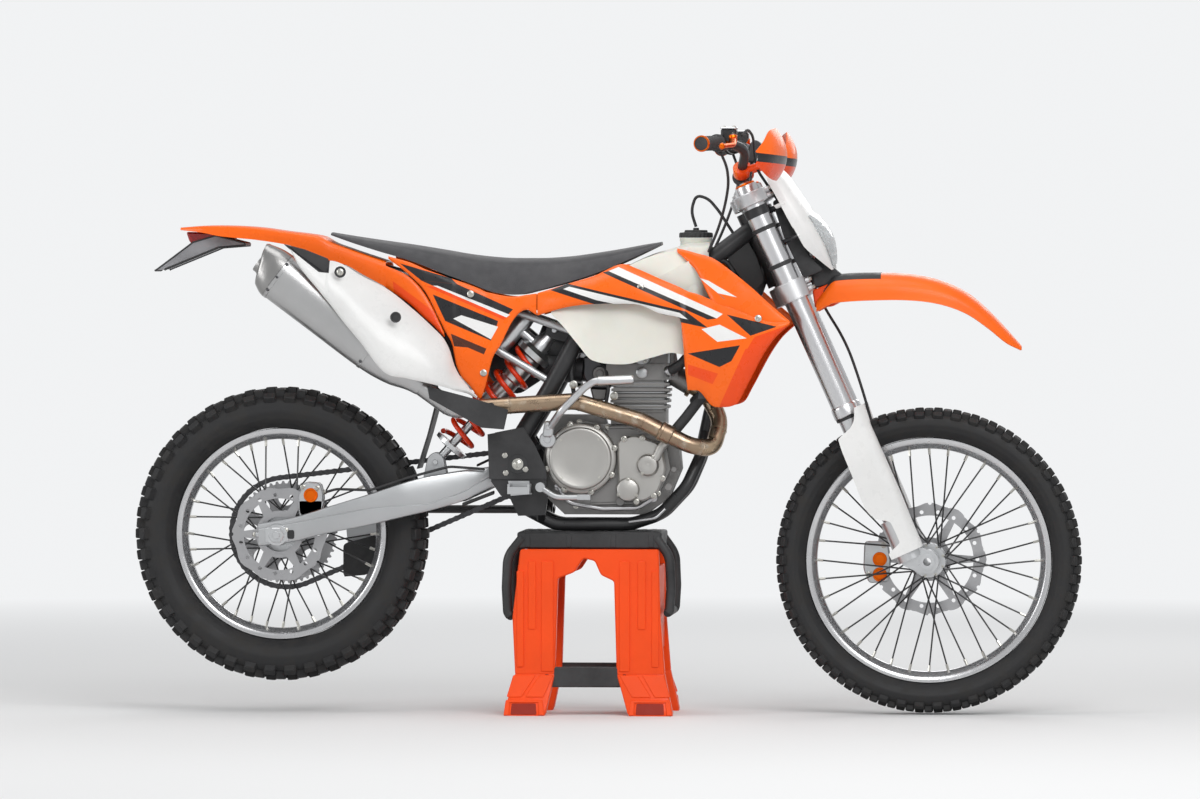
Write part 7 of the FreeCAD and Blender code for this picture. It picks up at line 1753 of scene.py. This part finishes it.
def leg_relief(corners, lift, radius=4.0):
    """A raised rib on a stand's leg: a bevelled plate that leans out with the leg's face below its knee."""
    verts, quads, tris, rims = plate(corners, radius, STAND_FACE - 0.6, STAND_FACE + lift,
                                     min(1.4, lift * 0.6))
    verts[:, 1] += FOOT_SPLAY * np.clip(1.0 - verts[:, 2] / KNEE_HEIGHT, 0.0, 1.0)
    return verts, quads, tris, rims


def stand_relief():
    """The stand's moulded ribs and cuffs, its sockets as thin plates in painted shade, its handles, top and
    cross bars.
    """
    ribs = []
    for low, high, bottom, top in ((-168, -140, 100, 352), (-198, -180, 196, 352), (-224, -208, 110, 330),
                                   (10, 34, 100, 352), (52, 70, 196, 352), (84, 100, 110, 330)):
        ribs.append(leg_relief([(low, bottom), (high, bottom), (high, top), (low, top)], 3.2))
    for x0, x1, foot0, foot1 in ((-232, -180, -246, -212), (-172, -140, -204, -162), (10, 52, 40, 84),
                                 (62, 112, 92, 128)):
        ribs.append(leg_relief([(foot0, 42), (foot1, 42), (x1, 92), (x0, 92)], 2.6))
    for x0, x1 in STAND_FEET:
        ribs.append(leg_relief([(x0, 1.5), (x0 + 12, 1.5), (x0 + 14, 34), (x0 + 4, 34)], 3.0, 2.0))
        ribs.append(leg_relief([(x1 - 12, 1.5), (x1, 1.5), (x1 - 4, 34), (x1 - 16, 34)], 3.0, 2.0))
        ribs.append(leg_relief([(x0 + 4, 30), (x1 - 4, 30), (x1 - 5, 36), (x0 + 5, 36)], 3.4, 2.0))
    piece("stand_ribs", "bike", both_sides(ribs), STAND_PLASTIC, slot="stand_orange", sharp=35)
    # The sockets are thin plates in a dark copy of the stand plastic: painted shade for recesses in the legs.
    sockets = [leg_relief([(x0 + 16, 3), (x1 - 18, 3), (x1 - 20, 28), (x0 + 18, 28)], 0.5, 3.0)
               for x0, x1 in STAND_FEET]
    sockets += [leg_relief([(x - 5, 84), (x + 5, 84), (x + 5, 94), (x - 5, 94)], 0.5, 4.0)
                for x in (-155, 22)]
    piece("stand_sockets", "bike", both_sides(sockets), SHADED_SOCKET_PLASTIC, slot="stand_orange", sharp=35)
    handles = []
    for points in ([(-212, 0, 404), (-246, 0, 362), (-249, 0, 290), (-246, 0, 234), (-240, 0, 226)],
                   [(94, 0, 404), (124, 0, 362), (127, 0, 290), (124, 0, 240), (120, 0, 234)]):
        path = bent(points, 60, 10)
        for side in (-1, 1):
            handles.append(tube(path + SIDE * side * 104, 11.0, 24))
        handles.append(tube(np.array([path[-1] + SIDE * y for y in (-104, 0, 104)]), 10.0, 24))
    blocks = [plate([(-224, 379), (106, 379), (106, 418), (-224, 418)], 7, -112, 112, 4.0)]
    for x in (-206, -112, -10, 76):
        blocks.append(plate([(x, 383), (x + 12, 383), (x + 12, 414), (x, 414)], 3, -113.2, 113.2, 1.0))
    piece("stand_grips", "bike", handles + blocks, BLACK_PLASTIC, slot="black_plastic", sharp=35)
    bars = [plate([(-152, 64), (22, 64), (22, 110), (-152, 110)], 9, 99.5, 120.9, 3.0)]
    piece("stand_cross_bars", "bike", both_sides(bars), BLACK_PLASTIC, slot="black_plastic",
          replaces=("stand_top",), sharp=35)


def lamp_housing():
    """The dark side plates between the lamp mask and the fork, and rubber straps round the fork's tubes."""
    plates = []
    for side in (-1, 1):
        outline = [(34, 16), (84, 16), (66, 60), (60, 120), (58, 206), (40, 206), (31, 120)]
        plates.append(on_fork(plate(outline, 8, side * 56 - 2.0, side * 56 + 2.0, 1.0), 2, 1))
    piece("lamp_housing", "steering", plates, BLACK_PLASTIC, slot="black_plastic", sharp=35)
    strap = [(0, 27.0), (0.6, 29.2), (9.4, 29.2), (10, 27.0)]
    straps = [turned(fork_point(up, 0, FORK_Y), FORK_UP, strap, 40) for up in (60, 150)]
    piece("lamp_straps", "steering", both_sides(straps), RUBBER, slot="grip_rubber", sharp=35)


def rear_and_stand_details():
    """The rear brake, chain guide, stand's relief and lamp housing."""
    rear_brake()
    lower_guide()
    stand_relief()
    lamp_housing()


# Lamp, instrument, small fittings, intake and the front mudguard's root

def lamp_inside():
    """The headlamp's reflector bowl and bulb behind the clear lens."""
    middle, way = fork_point(92, 88, 0), unit(FORK_AHEAD - FORK_UP * 0.25)
    bowl = turned(middle - way * 30, way, [(0, 0), (0, 14), (6, 34), (16, 47), (28, 55), (29, 58), (27, 58),
                                           (14, 49), (4, 36), (-3, 15), (-3, 0)], 64)
    piece("lamp_reflector", "steering", bowl, MIRROR_METAL, slot="steel", sharp=50)
    bulb = turned(middle - way * 26, way, [(0, 0), (0, 9), (10, 9), (12, 7), (22, 7), (26, 5), (28, 0)], 32)
    piece("lamp_bulb", "steering", bulb, CLEAR_LENS, slot="lamp_clear", sharp=50)


def instrument():
    """The small display above the bar clamps, on a bent strap."""
    body = plate([(296, 1262), (312, 1258), (330, 1302), (316, 1312), (306, 1308)], 5, -34, 34, 4.0)
    strap = plate([(300, 1232), (306, 1232), (309, 1266), (303, 1266)], 2, -16, 16, 1.0)
    piece("display", "steering", [body, strap], BLACK_PLASTIC, slot="control_black", sharp=35)
    glass = plate([(293.6, 1266), (296.4, 1264.5), (306, 1304), (303.4, 1305)], 1.2, -27, 27, 0.6)
    piece("display_glass", "steering", glass, DISPLAY_GLASS, slot="control_black", sharp=35)


def kick_knuckle():
    """The kick lever's hub, its knuckle and pin, and the sleeve on the lever's end."""
    hub = [(0, 15), (0, 17.5), (2, 19), (13, 19), (15.5, 17), (15.5, 8), (18, 7), (18, 0)]
    sleeve = [(8, 8.4), (9, 10.4), (84, 10.4), (88, 9.6), (90, 8)]
    knuckle = [turned((-154, -104, 628), RIGHT, hub, 40),
               plate([(-166, 634), (-142, 634), (-138, 668), (-160, 672)], 7, -128, -106, 3.0),
               bar((-152, -130, 656), (-152, -104, 656), 6.0, bevel=1.2),
               turned((-44, -160, 762), (88, 0, 4), sleeve, 32)]
    piece("kick_knuckle", "bike", knuckle, BARE_METAL, slot="steel", sharp=35)


def rear_fittings():
    """The rear panels' grommets and dark openings, the dark edges of the plate holder, and the tail lamp."""
    deep = [(-1.5, 12.5), (1.0, 12.5), (2.0, 11), (1.6, 8.5), (-0.2, 7.6), (-0.2, 0)]
    flat = [(-1, 13), (0.6, 13), (1.4, 12), (1.4, 9), (0, 8), (0, 0)]
    grommets = [turned((-493.5, -200.4, 907.4), RIGHT, deep, 40),
                turned((-620, -200.6, 1010), RIGHT, flat, 40)]
    piece("panel_grommets", "bike", both_sides(grommets), BLACK_PLASTIC, slot="black_plastic", sharp=35)
    outline = [(-752, 1074), (-704, 1062), (-648, 1040), (-648, 1006), (-676, 1010)]
    opening = plate(outline, 5, -182, -179, 0.8)
    piece("panel_openings", "bike", both_sides(opening), BLACK_PLASTIC, slot="black_plastic", sharp=35)
    edge = [pipe([(-1036, y, 1014.5), (-1038, y, 1016), (-915, y, 1066), (-852, y, 1071)], 8, 2.6, 10)
            for y in (-51, 51)]
    edge += [pipe([(-1060, y, 1013), (-973, y, 1078), (-921, y, 1093), (-853, y, 1076)], 8, 2.2, 10)
             for y in (-51, 51)]
    edge.append(tube(np.array([(-1060, -51, 1013.5), (-1060, 0, 1013.5), (-1060, 51, 1013.5)]), 2.6, 10))
    piece("plate_edges", "bike", edge, BLACK_PLASTIC, slot="black_plastic", sharp=50)
    lamp = plate([(-992, 1102), (-984, 1078), (-956, 1064), (-930, 1080), (-922, 1100)], 6, -30, 30, 4.0)
    piece("tail_lamp_lens", "bike", lamp, RED_LENS, slot="lamp_red", replaces=("tail_lamp",), sharp=40)


def lead_and_oil_lines():
    """The plug lead with its boot, and the oil lines with their end fittings."""
    route = [(58, 0, 862), (66, -10, 884), (110, -20, 892), (170, -18, 900), (236, -10, 968)]
    lead = pipe(route, 40, 4.0, 14)
    boot = turned((57, 0, 850), (4, 0, 40), [(0, 12), (18, 11), (22, 8), (36, 7), (38, 5)], 28)
    piece("plug_lead", "bike", [lead, boot], RUBBER, slot="grip_rubber", sharp=50)
    feed = [(-132, -86, 520), (-110, -92, 484), (-30, -94, 470), (50, -92, 472), (86, -90, 494)]
    drain = [(112, -84, 470), (90, -92, 448), (30, -90, 440)]
    oil = [pipe(feed, 40, 5.0, 16), pipe(drain, 30, 3.4, 12)]
    ends = [turned(place, RIGHT, [(-4, 9), (4, 9), (5, 8), (5, 0)], 24)
            for place in ((-132, -84, 520), (86, -88, 494))]
    piece("oil_lines", "bike", oil + ends, STEEL, slot="steel", sharp=50)


def case_bosses():
    """Round bosses and short webs that stand out of the engine case's right face."""
    spigots = [turned((x, CASE_FACE, z), RIGHT, [(0, r), (h - 1, r), (h, r - 1.2), (h, 0)], 28)
               for x, z, r, h in ((-30, 640, 12, 8), (10, 486, 10, 8), (120, 520, 9, 7), (-130, 600, 14, 9),
                                  (132, 560, 7, 6))]
    webs = [plate([(x, z), (x + w, z + 2), (x + w, z + 8), (x, z + 6)], 2, -83, CASE_FACE, 1.2)
            for x, z, w in ((-60, 478, 100), (-20, 652, 120), (52, 640, 70))]
    piece("case_bosses", "bike", spigots + webs, ENGINE_METAL, slot="engine_dark", sharp=35)


def intake():
    """The throttle body with its bowl, the boot behind it, and the airbox's front beside the shock."""
    body = [turned((-96, 0, 792), (100, 0, -12), [(0, 0), (0, 34), (16, 36), (18, 31), (84, 31), (86, 35),
                                                  (104, 34), (104, 0)], 48),
            plate([(-78, 818), (-14, 812), (-4, 768), (-20, 742), (-62, 744), (-80, 772)], 8, -34, 34, 4.0)]
    piece("throttle_body", "bike", body, DARK_STEEL, slot="engine_dark", sharp=35)
    bowl = [plate([(-64, 746), (-22, 744), (-28, 716), (-56, 716)], 6, -26, 26, 4.0),
            turned((-40, -30, 778), RIGHT, [(0, 17), (12, 17), (14, 15), (14, 9), (17, 8), (17, 0)], 36)]
    piece("throttle_bowl", "bike", bowl, ENGINE_METAL, slot="engine_dark", sharp=35)
    folds = [(0, 0), (0, 30), (10, 37), (22, 33), (34, 38), (46, 33), (60, 37), (80, 36), (80, 0)]
    airbox = [(-318, 872), (-232, 902), (-176, 856), (-172, 768), (-236, 726), (-300, 764)]
    boot = [turned((-176, 0, 800), (80, 0, -8), folds, 48), plate(airbox, 18, 34, 74, 6.0)]
    piece("intake_boot", "bike", boot, BLACK_PLASTIC, slot="black_plastic", sharp=45)


def mudguard_root():
    """The mudguard's root below the lower clamp, in a darker orange that is painted shade, and the dark
    bridge between it and the lamp's housing.
    """
    root = plate([(446, 968), (500, 990), (514, 944), (490, 931), (452, 928)], 5, -44, 44, 3.0)
    piece("mudguard_root", "steering", root, SHADED_ROOT_PLASTIC, slot="orange_plastic", sharp=35)
    outline = [(436, 1046), (468, 1044), (498, 1016), (514, 1003), (512, 984), (448, 972)]
    bridge = plate(outline, 5, -28, 28, 4.0)
    piece("mudguard_bridge", "steering", bridge, BLACK_PLASTIC, slot="black_plastic", sharp=35)


def front_and_engine_details():
    """The lamp's inside, the display, the small fittings, the intake and the mudguard's root."""
    lamp_inside()
    instrument()
    kick_knuckle()
    rear_fittings()
    lead_and_oil_lines()
    case_bosses()
    intake()
    mudguard_root()


# Cables, grips and fasteners

THROTTLE_ROUTE = [(249, -264, 1280.2), (262, -240, 1248), (264, -200, 1212), (254, -150, 1165),
                  (236, -106, 1110), (212, -86, 1056)]
VENT_ROUTE = [(178, 0, 1113.2), (166, 0, 1150), (178, 0, 1186), (206, 0, 1178), (230, 0, 1150),
              (262, 0, 1100)]
SCREW_PROFILE = [(-2, 8), (1.0, 8), (2.2, 6.5), (2.4, 3.4), (1.2, 3.0), (1.2, 0)]
LARGE_BEND = 1000.0
BRAKE_ROUTE = [(295, -226, 1318), (306, -190, 1334), (316, -130, 1318), (314, -70, 1282), (319, -20, 1243),
               (340, -8, 1211), (363, -6, 1179), (384, -6, 1130), (420, 34, 1040), (462, 80, 938),
               (518, 82, 850), (556, 71, 742), (590, 70, 620), (612, 70, 500), (606, 72, 394)]


def cable(route, radius, shift=0.0):
    """A cable along its route's points, rounded at each as far as its runs allow, and shifted across."""
    return tube(bent(np.asarray(route, float) + SIDE * shift, LARGE_BEND, 12), radius, 14)


def cables():
    """The throttle cables, clutch hose and vent hose, bent between bar and bike, and the brake hose."""
    pair = merged([cable(THROTTLE_ROUTE, 3.0, shift) for shift in (0.0, -9.0)])
    throttle = piece("throttle_cables", None, pair, RUBBER, slot="grip_rubber", replaces=("cables",),
                     sharp=60)
    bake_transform(throttle)
    clutch = piece("clutch_hose", None, flipped_side(cable(THROTTLE_ROUTE, 3.2)), RUBBER, slot="grip_rubber",
                   replaces=("cables",), sharp=60)
    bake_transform(clutch)
    vent = piece("tank_vent_hose", None, cable(VENT_ROUTE, 3.5), RUBBER, slot="grip_rubber",
                 replaces=("cables",), sharp=60)
    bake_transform(vent)
    piece("front_brake_line", "steering", cable(BRAKE_ROUTE, 3.2), RUBBER, slot="grip_rubber",
          replaces=("front_brake_hose",), sharp=60)


def bar_grips():
    """Ribbed rubber grips on both ends of the bar: a turned profile with thin rings and end flanges."""
    profile = [(-2.5, 0), (-2.5, 15), (-1, 17), (5, 17.4)]
    for ring in range(22):
        at_ring = 9.0 + ring * 4.6
        profile += [(at_ring, 15.6), (at_ring + 1.2, 16.8), (at_ring + 3.0, 16.8), (at_ring + 4.2, 15.6)]
    profile += [(112, 16), (114, 20), (119, 20), (120, 16), (120, 11.2)]
    piece("bar_grips", "steering", both_sides(turned(BAR_END, BAR_WAY, profile, 40)), RUBBER,
          slot="grip_rubber", replaces=("grips",), sharp=40)


def fasteners():
    """Bolt heads of the frame, the panels and the fork's clamps."""
    bike = []
    for x, z in ((-252, 592), (-250, 552), (-205, 560), (-135, 716), (-97, 753), (-4, 727)):
        half = 104.5 if x < -180 else 88.0
        bike += [hex_head((x, -half, z), RIGHT, 12, 6), hex_head((x, half, z), SIDE, 12, 6)]
    for x, z, y in ((-620, 1010, -201), (-330, 960, -113), (-300, 780, -121), (330, 905, -187),
                    (60, 975, -143)):
        bike += [turned((x, y, z), RIGHT, SCREW_PROFILE, 24), turned((x, -y, z), SIDE, SCREW_PROFILE, 24)]
    bolts_of("panel_and_frame_bolts", "bike", bike)
    front = []
    for side in (-1, 1):
        for up, across in ((-10.0, 8), (10.0, 8), (222.0, 7), (237.0, 7)):
            front.append(hex_head(fork_point(up, 46.0, side * (FORK_Y - 36)), FORK_AHEAD, across, 5))
        cap = fork_point(265.0, 0.0, side * FORK_Y)
        front.append(turned(cap, FORK_UP, [(0, 13), (3, 13), (5, 11), (5, 0)], 6))
    stem = fork_point(246.0, -CLAMP_OFFSET, 0.0)
    front.append(turned(stem, FORK_UP, [(0, 18), (2, 18), (3, 15), (12, 15), (13, 13), (13, 0)], 6))
    bolts_of("fork_bolts", "steering", front)


def cables_and_fasteners():
    """The cables, the grips and the fasteners."""
    cables()
    bar_grips()
    fasteners()


def build_pieces():
    """All the new pieces, in the order of the bike's parts."""
    wheels()
    bodywork()
    machinery()
    running_gear()
    rear_and_stand_details()
    front_and_engine_details()
    cables_and_fasteners()


# Floor, light and camera

IMAGE_WIDTH = 1200
IMAGE_HEIGHT = 799
CAMERA_AZIMUTH = math.radians(4.0)
CAMERA_ELEVATION = math.radians(0.9)
CAMERA_DISTANCE = 20.0
SENSOR_WIDTH = 36.0
FLOOR_REACH = 60.0
FLOOR_COLOUR = (0.78, 0.78, 0.78)
FADE_START = 1.6
FADE_END = 7.0
STUDIO_TONE = (0.884, 0.893, 0.903)
SURROUND_TONE = (0.93, 0.94, 0.95)
SURROUND_LIT = 0.42
SURROUND_IN_GLOSS = 0.25
SURROUND_SEEN = 0.95


def pale_floor():
    """A pale floor that keeps the bike's shadow, and fades far out to the studio's even pale tone.

    The fade is a ramp of the distance from the bike. It shows to the camera and in reflections only, and
    lights nothing.
    """
    finish = Finish("pale floor", FLOOR_COLOUR, 0.9)
    axes = finish.tree.nodes.new("ShaderNodeSeparateXYZ")
    finish.link(finish.place, axes.inputs[0])
    squares = [finish.math("POWER", axes.outputs[k], 2.0) for k in range(2)]
    distance = finish.math("SQRT", finish.math("ADD", *squares))
    fade = finish.ramped(distance, FADE_START, FADE_END)
    tree = finish.material.node_tree
    path = tree.nodes.new("ShaderNodeLightPath")
    seen = finish.math("MAXIMUM", path.outputs["Is Camera Ray"], path.outputs["Is Glossy Ray"])
    glow = tree.nodes.new("ShaderNodeEmission")
    glow.inputs["Color"].default_value = (*STUDIO_TONE, 1.0)
    mix = tree.nodes.new("ShaderNodeMixShader")
    tree.links.new(finish.math("MULTIPLY", fade, seen), mix.inputs[0])
    tree.links.new(tree.nodes["Principled BSDF"].outputs[0], mix.inputs[1])
    tree.links.new(glow.outputs[0], mix.inputs[2])
    tree.links.new(mix.outputs[0], tree.nodes["Material Output"].inputs["Surface"])
    return finish.material


def floor():
    """A plain pale floor, far wider than the view."""
    mesh = bpy.data.meshes.new("floor")
    reach = FLOOR_REACH
    mesh.from_pydata([(-reach, -reach, 0), (reach, -reach, 0), (reach, reach, 0), (-reach, reach, 0)], [],
                     [(0, 1, 2, 3)])
    obj = placed("floor", mesh)
    obj.data.materials.append(pale_floor())


def area_light(name, place, target, size, power):
    """A rectangular soft light at a place, facing a target."""
    light = bpy.data.lights.new(name, "AREA")
    light.shape = "RECTANGLE"
    light.size, light.size_y = size
    light.energy = power
    point_at(placed(name, light), place, target)


def point_at(obj, place, target):
    """Places a lamp or camera and turns its -Z to the target, with +Y up."""
    back = unit(np.subtract(place, target))
    right = unit(np.cross(UP, back))
    rise = np.cross(back, right)
    obj.matrix_world = Matrix([[right[k], rise[k], back[k], place[k]] for k in range(3)] + [[0, 0, 0, 1]])


def world_light():
    """An even pale surround: dim for what it lights, brighter to the camera, in gloss and through glass."""
    world = bpy.data.worlds.new("surround")
    bpy.context.scene.world = world
    world.use_nodes = True
    tree = world.node_tree
    ground = tree.nodes["Background"]
    paths = tree.nodes.new("ShaderNodeLightPath")
    seen = tree.nodes.new("ShaderNodeMath")
    seen.operation = "MAXIMUM"
    tree.links.new(paths.outputs["Is Camera Ray"], seen.inputs[0])
    tree.links.new(paths.outputs["Is Transmission Ray"], seen.inputs[1])
    glossy = tree.nodes.new("ShaderNodeMath")
    glossy.operation = "MULTIPLY_ADD"
    tree.links.new(paths.outputs["Is Glossy Ray"], glossy.inputs[0])
    glossy.inputs[1].default_value = SURROUND_IN_GLOSS
    glossy.inputs[2].default_value = SURROUND_LIT
    strength = tree.nodes.new("ShaderNodeMix")
    tree.links.new(seen.outputs[0], strength.inputs["Factor"])
    tree.links.new(glossy.outputs[0], strength.inputs[2])
    strength.inputs[3].default_value = SURROUND_SEEN
    ground.inputs["Color"].default_value = (*SURROUND_TONE, 1.0)
    tree.links.new(strength.outputs[0], ground.inputs["Strength"])


def camera():
    """The photograph's camera: far off, level, a little ahead of square to the bike's right side."""
    target = np.array([(IMAGE_WIDTH / 2 - PHOTO_X) * PIXEL + DRAWING_SHIFT, 0.0,
                       (PHOTO_Z - IMAGE_HEIGHT / 2) * PIXEL]) / 1000.0
    level = math.cos(CAMERA_ELEVATION)
    away = np.array([math.sin(CAMERA_AZIMUTH) * level, -math.cos(CAMERA_AZIMUTH) * level,
                     math.sin(CAMERA_ELEVATION)])
    data = bpy.data.cameras.new("camera")
    data.sensor_width = SENSOR_WIDTH
    data.lens = SENSOR_WIDTH * CAMERA_DISTANCE / (IMAGE_WIDTH * PIXEL / 1000.0)
    data.clip_end = 200.0
    obj = placed("camera", data)
    point_at(obj, target + away * CAMERA_DISTANCE, target)
    bpy.context.scene.camera = obj


def studio():
    """The floor, the soft lights, the surround and the camera."""
    floor()
    world_light()
    area_light("key light", (1.8, -4.2, 3.6), (0.0, 0.0, 0.6), (3.4, 2.4), 140.0)
    area_light("top light", (-0.4, -0.4, 4.6), (0.0, 0.0, 0.5), (4.0, 2.4), 62.0)
    area_light("side light", (-4.2, -2.4, 1.8), (0.0, 0.0, 0.7), (2.0, 2.0), 50.0)
    area_light("back light", (1.2, 4.2, 2.8), (0.0, 0.0, 0.7), (3.0, 2.0), 45.0)
    camera()
    bpy.context.scene.view_settings.view_transform = "Standard"


finish_nodes()
build_pieces()
studio()
